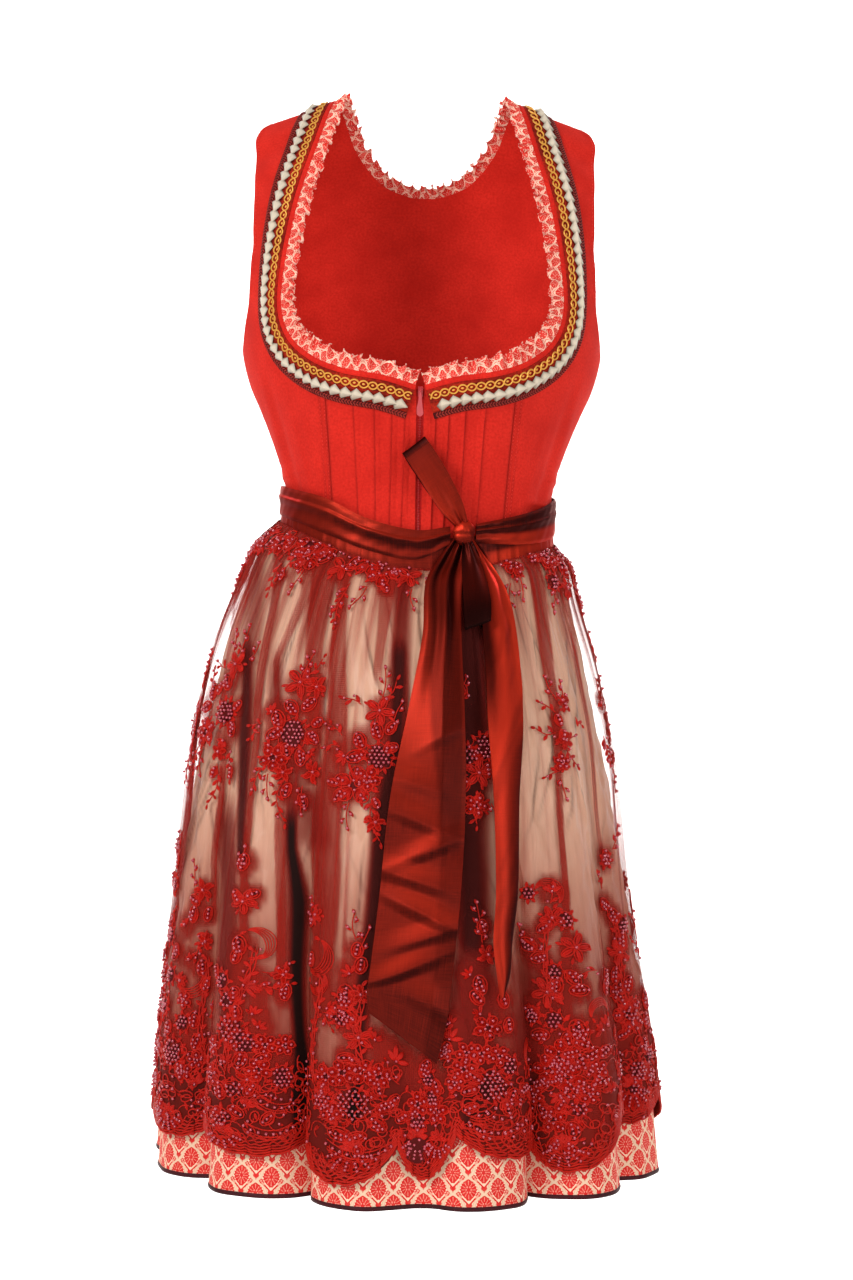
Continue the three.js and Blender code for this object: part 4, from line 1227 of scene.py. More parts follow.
@dataclass
class Bodice:
    """The bodice: front panels with pressed tucks, side fronts with their straps, and the back."""

    # Points across a side front or half a back, and points down each above and below its split.
    ACROSS, FRONT_ROWS, BACK_ROWS = 46, (120, 64), (70, 90)

    form: BodiceForm
    neck: NeckForm
    waist: Waist
    cloth: float = 1.5
    gap: float = 0.4
    tuck_width: float = 5.0
    tuck_lift: float = 1.9
    princess: tuple[float, float] = (91.0, 75.0)
    zip_edge: tuple[float, float] = (4.0, 2.2)
    seam_levels: tuple[float, float] = (-262.0, -480.0)
    tuck_levels: tuple[float, float] = (-324.0, -442.0)
    side_seam: float = 1.5707
    underarm: float = 297.0
    shoulder_hold: float = 8.0
    back_split: float = 150.0
    stitch_lines: tuple[float, float] = (1.6, 5.6)
    tucks: dict[int, tuple[tuple[float, float], ...]] = field(
        default_factory=lambda: {
            -1: ((11, 13), (23, 24), (39, 36), (58, 51)),
            1: ((12, 9), (24, 20), (39, 34), (57, 50)),
        }
    )
    # Height, how far the armhole reaches to the front, and to the back.
    armhole: Array = rows_of(
        (-252, 0.0, 0.0),
        (-249, -10, 16),
        (-243, -22, 30),
        (-215, -38, 46),
        (-160, -47, 50),
        (-118, -44, 47),
        (-87, -36, 41),
        (-63, -25, 31),
        (-39, -11, 16),
        (-26, -1, 1),
    )

    def seam(self, ends: tuple[float, float], height: Array) -> Array:
        """A straight seam's distance from the centre at a height."""
        top, bottom = self.seam_levels
        return lerp(ends[0], ends[1], (height - top) / (bottom - top))

    def edge_height(self, x: Array) -> Array:
        """The height of the neckline edge on the front, at a distance from the centre up to 100."""
        front = (self.neck.edge_along < 0) & (self.neck.edge_x < 122) & (self.neck.edge_along < -280)
        xs, alongs = self.neck.edge_x[front], self.neck.edge_along[front]
        return np.interp(np.interp(x, xs, alongs), self.form.levels, self.form.heights)

    def off_tuck(self, x: Array, height: Array, ends: tuple[float, float]) -> Array:
        """How far beyond the middle of a tuck places lie, the tuck's ends given at its two levels."""
        top, bottom = self.tuck_levels
        return x - lerp(ends[0], ends[1], (height - top) / (bottom - top))

    def tuck_profile(self, x: Array, height: Array, side: int) -> Array:
        """How far the tucks stand up: each rises slowly towards the side and drops at a crisp fold."""
        lift = np.zeros_like(x)
        for ends in self.tucks[side]:
            off = self.off_tuck(x, height, ends)
            slope = np.clip((off + self.tuck_width / 2) / self.tuck_width, 0, 1) ** 0.7
            groove = -0.7 * bump(off - self.tuck_width / 2 - 0.9, 0.9)
            lift = np.where(lift > groove, lift + groove, lift)
            lift = np.maximum(lift, self.tuck_lift * slope * (off < self.tuck_width / 2))
        return lift * smoothstep(self.edge_height(x) - height, 22, 40)

    def creases(self, points: Array) -> Array:
        """Soft drags in the cloth: from the armhole to the waist at each side, and across above the sash."""
        x, z = np.abs(points[..., 0]), points[..., 2]
        slant = x - 150 - 0.28 * (z + 300)
        drag = 2.0 * waver(slant * 0.22, 1.3) * bump(slant - 8, 34) * smoothstep(-z, 250, 340)
        across = 1.3 * waver((z + 0.25 * x) * 0.25, 4.0) * smoothstep(-z, 330, 400) * smoothstep(x, 84, 112)
        strap = 0.8 * waver(z * 0.08 + x * 0.05, 2.5) * (1 - smoothstep(-z, 180, 260))
        return drag + across + strap

    def front_panel(self, side: int, columns: int = 128, rows: int = 64) -> Shell:
        """One front panel, from the zip edge to the princess seam and from the neckline to the waist."""
        p, q = np.linspace(0, 1, columns), np.linspace(0, 1, rows)[:, None]
        x = lerp(self.zip_edge[0], self.princess[0] - self.gap / 2, p)
        for _ in range(4):
            top = self.edge_height(x)
            x = lerp(self.seam(self.zip_edge, top), self.seam(self.princess, top) - self.gap / 2, p)
        height = lerp(top, self.waist.front_height(side * x) + 0.2, q)
        for _ in range(3):
            x = lerp(self.seam(self.zip_edge, height), self.seam(self.princess, height) - self.gap / 2, p)
            height = lerp(top, self.waist.front_height(side * x) + 0.2, q)
        lift = self.tuck_profile(x, height, side)
        grid = self.form.front(side * x, height, lift)
        uv = flat_map(x, height)
        # Painted shade along the tucks' folds and the princess seam.
        crease = self.pressed(x, height, side)
        if side < 0:
            grid, uv, crease = grid[:, ::-1], uv[:, ::-1], crease[:, ::-1]
        return wall(grid, uv, self.cloth, {"crease": crease})

    def pressed(self, x: Array, height: Array, side: int) -> Array:
        """How strong the painted shade is on the pressed tucks' folds and at the princess seam."""
        line = 0.5 * bump(x - self.seam(self.princess, height), 1.4)
        for ends in self.tucks[side]:
            fold = 0.42 * bump(self.off_tuck(x, height, ends) - self.tuck_width / 2 - 0.5, 1.0)
            line = np.maximum(line, fold * smoothstep(self.edge_height(x) - height, 22, 34))
        return line

    def armhole_angle(self, along: Array, column: int) -> Array:
        """The angle at which the armhole's edge crosses a level, found by halving."""
        low, high = np.full_like(along, 0.3), np.full_like(along, math.pi / 2)
        for _ in range(40):
            middle = (low + high) / 2
            p = self.form.point(middle, along)
            edge = hermite(self.armhole, column, p[:, 2])
            inside = p[:, 1] < edge if column == 1 else p[:, 1] > edge
            low, high = np.where(inside, middle, low), np.where(inside, high, middle)
        return (low + high) / 2

    def side_edge(self, back: bool) -> Array:
        """The outer edge of a strap and side, as angles and levels: the armhole from the shoulder, then the
        side seam. Next to the shoulder the edge keeps one angle, so that front and back meet there.
        """
        turn = 1.0 if back else -1.0
        low = np.linspace(0.2, self.underarm - 1, 240)
        angles = self.armhole_angle(np.maximum(low, self.shoulder_hold) * turn, 2 if back else 1)
        seam_levels = np.linspace(self.underarm + 1, 452, 120) * turn
        seam = np.stack([np.full(120, self.side_seam), seam_levels], -1)
        return np.concatenate([np.stack([angles, low * turn], -1), seam])

    def measured(self, path: Array) -> Array:
        """The points in space of a path of angles and levels."""
        return self.form.point(path[:, 0], path[:, 1])

    def ruled(self, inner: Array, outer: Array, columns: int) -> Array:
        """A grid of angle and level between two edges with equally many points."""
        return lerp(inner[:, None], outer[:, None], np.linspace(0, 1, columns)[None, :, None])

    def piece(self, places: Array, flip: bool, rims: str = "tblr") -> Shell:
        """The wall over a grid of angle and level, with its creases."""
        angle, along = places[..., 0], places[..., 1]
        bare = self.form.point(angle, along)
        normals = self.form.frame(angle, along)[2]
        grid = bare + normals * self.creases(bare)[..., None]
        uv = flat_map(hermite(self.form.table, 2, along) * angle, along)
        # Painted shade along the princess seam and its two lines of stitching, on the front below the seam's
        # top.
        off = np.abs(bare[..., 0]) - self.seam(self.princess, bare[..., 2])
        near, far = self.stitch_lines
        lines = bump(off, 1.2) + 0.7 * bump(off - near, 0.9) + 0.7 * bump(off - far, 0.9)
        crease = 0.45 * np.clip(lines, 0, 1) * (along < 0) * (bare[..., 2] < self.seam_levels[0])
        if flip:
            grid, uv, normals, crease = grid[:, ::-1], uv[:, ::-1], normals[:, ::-1], crease[:, ::-1]
        return wall(grid, uv, self.cloth, {"crease": crease}, rims=rims, normals=normals)

    def side_front(self, side: int) -> Shell:
        """One side front and its strap, from the shoulder down to the waist."""
        form, neck = self.form, self.neck
        heights = np.linspace(self.seam_levels[0], -470, 400)
        seam_x = self.seam(self.princess, heights) + self.gap / 2
        seam_along = form.front_level(heights)
        edge = catmull(neck.EDGE, np.linspace(neck.SHOULDER, 0, 1200))
        meets = np.argmax(edge[:, 0] - np.interp(edge[:, 1], seam_along[::-1], seam_x[::-1]) < 0)
        meets = np.argmax((edge[:, 1] < -300) & (edge[:, 0] < seam_x[0])) if meets == 0 else meets
        down = (seam_along < edge[meets, 1]) & (heights > self.waist.front_height(side * seam_x))
        inner_top = np.stack([form.angle_at(edge[:meets, 0], edge[:meets, 1]), edge[:meets, 1]], -1)
        inner_low = np.stack([form.angle_at(seam_x[down], seam_along[down]), seam_along[down]], -1)
        outer = self.side_edge(back=False)
        waist_level = form.front_level(self.waist.front_height(side * form.SIDE) + 0.2)
        armhole = outer[:, 1] > -self.underarm
        outer_top, outer_low = outer[armhole], outer[~armhole & (outer[:, 1] > waist_level)]
        pairs = zip((inner_top, inner_low, outer_top, outer_low), self.FRONT_ROWS * 2)
        a, b, c, d = (resampled(path, count, self.measured(path)) for path, count in pairs)
        inner, outer = np.concatenate([a, b]), np.concatenate([c, d])
        places = self.ruled(inner, outer, self.ACROSS)
        places[..., 0] *= side
        return self.piece(places, flip=side < 0)

    def back(self) -> Shell:
        """The back with both its straps: two halves that meet along the centre below the neckline."""
        form, neck = self.form, self.neck
        edge = catmull(neck.EDGE, np.linspace(neck.SHOULDER, 1, 600))
        inner_top = np.stack([form.angle_at(edge[:, 0], edge[:, 1]), edge[:, 1]], -1)
        outer = self.side_edge(back=True)
        top_rows, low_rows = self.BACK_ROWS
        halves = []
        for side in (1, -1):
            ends = self.waist.back_height(np.array([0.0, side * form.SIDE]))
            middle, waist_level = -form.front_level(ends)
            centre = np.stack([np.zeros(50), np.linspace(119, middle, 50)], -1)
            above = outer[:, 1] < self.back_split
            cuts = zip((outer[above], outer[~above & (outer[:, 1] < waist_level)]), self.BACK_ROWS)
            outer_parts = [resampled(path, count, self.measured(path)) for path, count in cuts]
            neckline = resampled(inner_top, top_rows, self.measured(inner_top))
            inner = np.concatenate([neckline, resampled(centre, low_rows)])
            places = self.ruled(inner, np.concatenate(outer_parts), self.ACROSS)
            places[..., 0] *= side
            shell = self.piece(places, flip=side > 0, rims="tb" + ("l" if side > 0 else "r"))
            under = (top_rows + low_rows) * self.ACROSS
            index = np.arange(under).reshape(-1, self.ACROSS)[:top_rows]
            start, end = (index[:-1, -1], index[1:, -1]) if side > 0 else (index[1:, 0], index[:-1, 0])
            rim = np.stack([start, end, end + under, start + under], -1)
            halves.append(Shell(shell.points, np.concatenate([shell.faces, rim]), shell.uv))
        return Shell.joined(halves)

    def stitching(self) -> Shell:
        """The topstitching: two lines beside each princess seam and one round each armhole."""
        lines = []
        for side in (-1, 1):
            for offset in self.stitch_lines:
                height = np.linspace(-274, -438, 90)
                x = side * (self.seam(self.princess, height) + offset)
                keep = height > self.waist.front_height(x) + 4
                path = self.form.front(x[keep], height[keep], np.full(keep.sum(), 0.1))
                lines.append((path, self.form.front(x[keep], height[keep], np.full(keep.sum(), 1.1)) - path))
            for back in (False, True):
                edge = self.side_edge(back)
                edge = edge[np.abs(edge[:, 1]) < 286]
                inward = edge[:, 0] - 5.0 / hermite(self.form.table, 2, edge[:, 1])
                bare = self.form.point(side * inward, edge[:, 1])
                lift = self.creases(bare) + 0.1
                path = self.form.lifted(side * inward, edge[:, 1], lift)
                lines.append((path, self.form.frame(side * inward, edge[:, 1])[2]))
        return stitched(lines)

    def make(self) -> None:
        """Builds and dresses every piece of the bodice."""
        cloth = Stock.BODICE_CLOTH
        for word, side in (("right", -1), ("left", 1)):
            front = make_piece(
                f"front_panel_{word}",
                self.front_panel(side),
                cloth,
                (f"bodice_front_{word}",),
            )
            strap = make_piece(
                f"side_front_{word}", self.side_front(side), cloth, (f"bodice_side_{word}",)
            )
        back = make_piece("back_panel", self.back(), cloth, ("bodice_back",))
        make_piece("bodice_topstitching", self.stitching(), Stock.THREAD)


# ---------------------------------------------------------------- the neckline's trims


@dataclass
class NeckTrims:
    """The trims side by side round the neckline, and the frill inside it."""

    neck: NeckForm
    gap: float = 0.7
    # How wide the frill is, by the share of the way round from the centre front: share, width, and so on.
    frill_reach: tuple[float, ...] = (0.0, 12.5, 0.1, 13.0, 0.2, 15.5, 0.35, 14.5, 0.5, 12.0)

    def band(self, low: float, high: float, lift: Array, thickness: float, columns: int = 8) -> Shell:
        """A flat band between two distances from the edge, its surface raised by lift across its width."""
        run = self.neck.run((low + high) / 2)
        along = np.linspace(0, run.length, int(run.length / 3))
        across = np.linspace(low, high, columns)[:, None]
        shape = np.broadcast_to(np.asarray(lift).reshape(-1, 1), (columns, len(along)))
        grid = run.place(
            np.broadcast_to(along, shape.shape),
            np.broadcast_to(across, shape.shape),
            self.gap + thickness + shape,
        )
        uv = flat_map(along, across)
        return wall(grid[::-1], uv[::-1], thickness)

    def chain(self) -> Shell:
        """Gilt thread along the middle of the braid: two wires that cross at every pitch, each swinging from
        side to side as a sine drawn out towards its crests, and a knot in every eye between them.
        """
        middle, pitch = 11.6, 8.4
        run = self.neck.run(middle)
        along = np.arange(1.5, run.length - 1.5, 0.55)
        phase = math.pi * along / pitch
        turn = circle(6)
        shells = []
        for side in (-1.0, 1.0):
            swing = 3.1 * side * np.sign(np.sin(phase)) * np.abs(np.sin(phase)) ** 0.6
            here, _, _, up = run.frame(along, middle + swing, 3.2 + 0.45 * side * np.cos(phase))
            out = unit(np.cross(unit(np.gradient(here, axis=0)), up))
            ring = np.cos(turn)[:, None] * out[:, None] + np.sin(turn)[:, None] * up[:, None]
            shells.append(ringed((here[:, None] + 0.75 * ring)[None]))
        at = np.arange(pitch / 2, run.length - pitch * 0.4, pitch)
        here, on, out, up = run.frame(at, middle, 2.4)
        shells.append(scattered(lens(5, 6), here - on * 1.3, on, -out, up, np.array([3.0, 2.6, 2.2])))
        return Shell.joined(shells)

    def ribbon(self) -> Shell:
        """The folded ribbon: a row of kites whose raised tips overlap the tails before them. A kite's half
        width grows in a straight line from its tip to its two side corners, and falls back to its tail.
        """
        middle, pitch = 22.5, 10.2
        run = self.neck.run(middle)
        at = np.arange(9.5, run.length - pitch * 0.8, pitch)
        s = np.array([0, 0.05, 0.25, 0.45, 0.6, 0.68, 0.8, 0.95, 1.0])[:, None]
        inner = np.interp(s, (0, 0.6, 1), (0.15, 6.1, 0.3))
        outer = np.interp(s, (0, 0.72, 1), (0.15, 5.8, 0.3))
        ridge = np.interp(s, (0, 0.25, 0.68, 1), (1.0, 2.4, 3.6, 0.8))
        corner = np.array([-1.0, -0.5, -0.12, 0.5, 1.0, 0.0])
        aside = np.where(corner < 0, corner * inner, corner * outer)
        rise = np.array([0.1, 0.45, 1.0, 0.7, 0.15, 0.0]) * ridge + 2.4 * (1 - s)
        x = -8.2 + 14.6 * s + aside * 0.16
        y = aside - 0.4
        local_x = at[:, None, None] + x[None]
        lift = self.gap + 1.3 + rise[None]
        points = run.place(np.clip(local_x, 0.5, run.length - 0.5), middle + y[None], lift)
        shell = ringed(points)
        shade = 0.75 * smoothstep(s, 0.72, 0.95) + np.array([0.55, 0.05, 0.0, 0.3, 0.7, 1.0])
        shell.marks["deep"] = np.broadcast_to(np.clip(shade, 0, 1), points.shape[:3]).ravel()
        return shell

    def gimp(self) -> Shell:
        """The gimp's herringbone: two rows of slanted loops."""
        run = self.neck.run(30.5)
        pitch = 2.8
        shells = []
        for distance, turn in ((29.1, 0.8), (31.9, -0.8)):
            at = np.arange(1.5, run.length - 1.5, pitch)
            here, on, out, up = run.frame(at, distance, self.gap + 0.9)
            tilted = unit(on * math.cos(turn) + out * math.sin(turn))
            shells.append(
                scattered(
                    lens(5, 5),
                    here - tilted * 2.0,
                    tilted,
                    np.cross(up, tilted),
                    up,
                    np.array([4.2, 1.6, 1.5]),
                )
            )
        return Shell.joined(shells)

    def frill(self) -> Shell:
        """The gathered frill: waves across the cloth that grow towards its free edge and lean over."""
        run = self.neck.run(-6.0)
        along = np.linspace(0.3, run.length - 0.3, int(run.length / 0.8))
        t = np.linspace(0, 1, 14)[:, None]
        s = run.share(along)
        reach = np.interp(s, self.frill_reach[::2], self.frill_reach[1::2])
        phase = along * 2 * math.pi / 9.2 + 2.6 * np.sin(along / 23) + 2.0 * np.sin(along / 9.1)
        size = 0.9 + 0.4 * np.sin(along / 17.3) * np.sin(along / 5.1 + 1)
        wave = np.sin(phase + 0.8 * t) + 0.2 * np.sin(2.0 * phase + 1.2)
        stand = 3.6 * size * wave * t**0.8
        slide = 2.7 * size * np.cos(phase + 0.6) * t
        distance = 0.4 - (reach + 1.4 * np.sin(phase * 0.5 + along / 9) + 0.8 * np.sin(phase)) * t
        lift = 1.0 + stand + 0.8 * t
        grid = run.place(np.clip(along + slide, 0.05, run.length - 0.05), distance, lift)
        across = distance * 1.25 + 4 * np.sin(along / 7.3) + 3 * np.sin(along / 17.0)
        uv = flat_map(along * 1.7 + 4 * np.sin(along / 11), across)
        self.frill_edge = grid[-1]
        return wall(grid[::-1], uv[::-1], 0.6)

    def overlock(self) -> Shell:
        """The stitched edge of the frill: short threads over its free edge, set close together."""
        path = self.frill_edge
        on = unit(np.gradient(path, axis=0))
        down = np.broadcast_to([0.0, -0.4, -1.0], path.shape)
        up = unit(np.cross(on, unit(np.cross(on, down))))
        keep = slice(1, -1, 2)
        return scattered(
            lens(5, 5),
            path[keep] - on[keep] * 0.5,
            on[keep],
            unit(np.cross(up, on))[keep],
            up[keep],
            np.array([2.0, 1.1, 0.9]),
        )

    def make(self) -> None:
        """Builds and dresses every trim."""
        dome, flat = np.sin(np.linspace(0, math.pi, 8)), np.zeros(8)
        make_piece(
            "neck_strip",
            self.band(0.4, 5.4, dome * 0.4, 1.2),
            Stock.BINDING,
            ("neck_binding",),
        )
        ribs = 0.25 * np.cos(np.linspace(0, 2 * math.pi * 5, 24)) + 0.5
        braid = make_piece(
            "chain_braid_ground",
            self.band(5.8, 17.4, ribs, 1.2, 24),
            Stock.BRAID,
            ("neck_chain_braid",),
        )
        make_piece("chain_braid_links", self.chain(), Stock.GILT)
        make_piece(
            "folded_ribbon", self.ribbon(), Stock.RIBBON, ("neck_folded_ribbon",), crease=24
        )
        make_piece("folded_ribbon_ground", self.band(17.8, 27.2, flat, 0.8), Stock.BRAID)
        make_piece(
            "gimp_ground",
            self.band(27.6, 33.4, dome * 0.2, 0.7),
            Stock.GIMP_GROUND,
            ("neck_gimp",),
        )
        make_piece("gimp_herringbone", self.gimp(), Stock.GIMP)
        frill = make_piece(
            "gathered_frill", self.frill(), Stock.FRILL_PRINT, ("neck_frill",)
        )
        make_piece("frill_overlock", self.overlock(), Stock.PALE_THREAD)


@dataclass
class Zip:
    """The zip at the centre front: its tape behind the edges, and the coil's teeth."""

    form: BodiceForm
    top: float = -293.0
    bottom: float = -430.0
    tape: float = 12.0
    under: float = -2.2

    def make(self) -> None:
        """Builds the tape and coil, and finishes the slider and the pull."""
        height = np.linspace(self.top, self.bottom, 60)[:, None]
        x = np.linspace(-self.tape / 2, self.tape / 2, 9)
        grid = self.form.front(*np.broadcast_arrays(x, height, self.under))
        uv = flat_map(x, height)
        make_piece("zip_tape_woven", wall(grid, uv, 1.0), Stock.ZIP_TAPE, ("zip_tape",))
        at = np.arange(self.bottom + 4, self.top - 12, 1.5)
        zero = np.zeros_like(at)
        here = self.form.front(zero, at, zero + self.under + 0.5)
        up = self.form.front(zero, at, zero + self.under + 1.5) - here
        across = np.broadcast_to([1.0, 0, 0], here.shape)
        coil = scattered(
            lens(5, 6), here - across * 1.5, across, np.cross(up, across), up, np.array([3.0, 0.9, 0.9])
        )
        make_piece("zip_coil", coil, Stock.ZIP_COIL)
        for node in ("zip_slider", "zip_pull"):
            bpy.data.objects[node].data.materials.clear()
            bpy.data.objects[node].data.materials.append(Stock.ENAMEL.material())


# ---------------------------------------------------------------- the skirt


@dataclass
class Skirt:
    """The gathered skirt of printed cotton, and the piping along its hem."""

    form: SkirtForm
    cloth: float = 1.2
    piping_height: float = 4.0

    def rows(self, degrees: Array, top: Array, bottom: Array, fold: float, lift: float, count: int) -> Array:
        """A layer's points, from one height to another, evenly down."""
        share = np.linspace(0, 1, count)[:, None]
        height = lerp(np.broadcast_to(top, degrees.shape), np.broadcast_to(bottom, degrees.shape), share)
        turns = np.broadcast_to(degrees, height.shape)
        return self.form.point(
            turns, height, fold, lift - self.form.set_in(turns, self.form.fall(turns, height))
        )

    def make(self) -> None:
        """Builds and dresses the skirt and its piping."""
        degrees = np.linspace(-180, 180, 481)
        top = self.form.waist.height(degrees) - 0.4
        hem = self.form.HEM + self.piping_height - 1.2
        grid = self.rows(degrees, top, np.full_like(degrees, hem), 1.0, 0.0, 64)
        uv = flat_map(self.form.cloth(degrees), grid[..., 2] - self.form.HEM)
        skirt = make_piece(
            "gathered_skirt", wall(grid, uv, self.cloth, rims="tb"), Stock.PRINT, ("skirt",)
        )
        height = np.linspace(self.form.HEM + self.piping_height, self.form.HEM, 7)[:, None]
        round_lift = 0.2 + 0.7 * np.sin(np.linspace(0, math.pi, 7))[:, None]
        cord = self.form.point(*np.broadcast_arrays(degrees, height), 1.0, round_lift)
        uv = flat_map(self.form.cloth(degrees), height)
        piping = make_piece(
            "hem_piping", wall(cord, uv, 2.0, rims="tb"), Stock.PIPING, ("skirt_piping",)
        )


# ---------------------------------------------------------------- the apron


@dataclass
class ApronLayers:
    """The apron's two layers under one waistband: a satin underlay, and the tulle that carries the
    embroidery.
    """

    GATHER_SEED, CREASE_SEED = 5, 11

    form: SkirtForm
    reach: float = 105.0
    cloth: float = 0.8
    underlay_hem: float = -938.0
    lifts: tuple[float, float] = (3.4, 7.0)
    folds: tuple[float, float] = (0.95, 0.9)
    band_below: float = 19.2
    creased: int = 60  # how many small creases the satin has
    thin_gathers: int = 38
    # The lower edge of the lace: angle and height where two scallops meet.
    meets: Array = rows_of(
        (-105, -980),
        (-91, -958),
        (-77, -960),
        (-50, -958),
        (-23, -968),
        (-2, -968),
        (12, -957),
        (31, -968),
        (54, -946),
        (76, -950),
        (93, -955),
        (105, -978),
    )
    drops: tuple[float, ...] = (20, 22, 26, 22, 33, 34, 16, 40, 22, 26, 22)
    # Where gathers lay the net double: how dense, 1 where the fold is in deep shade, and its run of height,
    # distance from the centre and half width.
    doubled: tuple[tuple[float, float, tuple[tuple[float, float, float], ...]], ...] = (
        (0.6, 0, ((-584, -180, 1.9), (-528, -172, 3.8), (-490, -168, 7.6), (-450, -165, 8.7))),
        (0.85, 1, ((-728, -156, 3.6), (-674, -155, 4.6), (-620, -158, 6.5), (-565, -156, 5.0))),
        (0.3, 1, ((-600, -157, 7.0), (-509, -153, 8.4), (-451, -154, 5.7))),
        (
            0.9,
            0,
            ((-816, -150, 4.5), (-736, -153, 3.6), (-691, -147, 2.7), (-583, -145, 3.7), (-480, -132, 3.7)),
        ),
        (0.5, 1, ((-900, -166, 5.0), (-818, -166, 10.9), (-721, -171, 9.0))),
        (0.6, 0, ((-600, -126, 1.8), (-545, -127, 2.8), (-517, -116, 3.7), (-482, -103, 5.6))),
        (0.8, 0, ((-600, -95, 5.0), (-572, -94, 8.2), (-526, -92, 8.3), (-470, -88, 11.1))),
        (
            0.8,
            0,
            ((-846, -77, 8.0), (-723, -77, 13.5), (-688, -76, 13.5), (-580, -70, 9.1), (-489, -70, 5.5)),
        ),
        (0.6, 0, ((-552, -33, 3.6), (-516, -30, 4.6), (-483, -28, 7.4))),
        (0.92, 1, ((-940, -46, 5.0), (-840, -40, 6.5), (-739, -31, 8.2), (-633, -19, 8.5), (-560, -13, 7.5))),
        (0.5, 1, ((-580, -13, 7.0), (-525, -12, 7.5), (-470, -14, 7))),
        (
            0.9,
            0,
            (
                (-935, 148, 3.6),
                (-847, 144, 4.6),
                (-696, 138, 2.7),
                (-577, 129, 4.6),
                (-522, 121, 6.5),
                (-447, 108, 6),
            ),
        ),
        (0.7, 0, ((-727, 179, 1.9), (-615, 165, 1.9), (-559, 156, 1.9), (-503, 147, 2.8), (-474, 137, 3.8))),
        (0.4, 0, ((-759, 101, 1.8), (-713, 96, 1.8), (-632, 90, 1.8))),
        (0.7, 0, ((-737, -219, 3.8), (-708, -215, 3.8), (-679, -210, 3.8))),
        (0.8, 0, ((-769, -184, 2.8), (-732, -184, 2.8), (-676, -177, 2.8))),
        (0.8, 0, ((-814, -114, 4.5), (-761, -118, 4.5), (-717, -119, 4.5))),
        (1.0, 1, ((-985, -93, 4.5), (-930, -95, 6.5), (-870, -98, 6), (-761, -102, 9.0), (-716, -108, 5.4))),
        (0.9, 1, ((-800, 56, 10), (-781, 55, 13), (-720, 53, 15), (-578, 52, 16), (-486, 52, 16))),
        (0.5, 1, ((-960, 60, 12), (-900, 62, 20), (-842, 60, 24), (-790, 56, 16))),
        (0.35, 1, ((-939, 101, 40), (-901, 111, 42), (-847, 123, 30))),
        (0.35, 1, ((-707, -92, 18.1), (-662, -102, 14.5), (-582, -128, 7.3))),
    )

    def lace_edge(self, degrees: Array) -> Array:
        """The lace's lower edge: between two meeting places it drops as a half wave."""
        keys, heights = self.meets[:, 0], self.meets[:, 1]
        degrees = np.asarray(degrees, float)
        i = np.clip(np.searchsorted(keys, degrees, side="right") - 1, 0, len(self.drops) - 1)
        share = np.clip((degrees - keys[i]) / (keys[i + 1] - keys[i]), 0, 1)
        small = 1.6 * np.abs(np.sin(math.pi * share * 6)) * np.sin(math.pi * share)
        drop = np.array(self.drops)[i] * np.sin(math.pi * share) ** 0.8
        return lerp(heights[i], heights[i + 1], share) - drop - small

    def lace_lift(self, degrees: Array, height: Array) -> Array:
        """How far the lace hangs off the skirt: half as much at the waistband, and puffed at the sides."""
        fall = self.form.fall(degrees, height)
        puff = 5.0 * smoothstep(np.abs(degrees), 50, 80) * bump(fall - 0.3, 0.2)
        return self.lifts[1] * (0.5 + 0.5 * smoothstep(fall, 0.0, 0.08)) + puff

    def place(self, degrees: Array, height: Array, off: Array) -> tuple[Array, Array, Array]:
        """Points off the lace, with the directions round and outwards."""
        lift = self.lace_lift(degrees, height)
        here, across, out = self.form.frame(degrees, height, self.folds[1], lift)
        return here + out * np.asarray(off)[..., None], across, out

    def gathers(self, degrees: Array, fall: Array) -> Array:
        """How much denser the net is in its thin gathers, which end at different heights."""
        gather = 0.4 * np.clip(gathered(degrees, (34, 61, 97), 3.0), 0, 1)
        gather = gather * (1 - smoothstep(fall, 0.02, 0.28))
        random = np.random.default_rng(self.GATHER_SEED)
        for _ in range(self.thin_gathers):
            at, start = random.uniform(-100, 100), random.uniform(0, 0.25)
            end, drift = random.uniform(0.3, 0.85), random.uniform(-3, 3)
            width, strength = random.uniform(0.28, 0.6), random.uniform(0.12, 0.3)
            strength = strength * (0.45 if 14 < at < 64 else 1.0)
            line = bump(degrees - at - drift * (fall - start), width)
            line = line * smoothstep(fall, start - 0.04, start + 0.05)
            gather = gather + strength * line * (1 - smoothstep(fall, end - 0.15, end))
        return gather

    def worked(self, degrees: Array, height: Array) -> Array:
        """Where the net is hidden by the larger motifs worked on it, from 0 to 1."""
        around, hidden = self.form.around(height), 0.0
        for kind in (Work.BLOOM, Work.CLUSTER, Work.STAR, Work.LOBE, Work.FAN, Work.LEAVES):
            for turn, level, _, size in kind.places():
                off = np.hypot(np.radians(degrees - turn) * around, height - level) / size
                hidden = np.maximum(hidden, 1 - smoothstep(off, 0.6, 1.25))
        return hidden

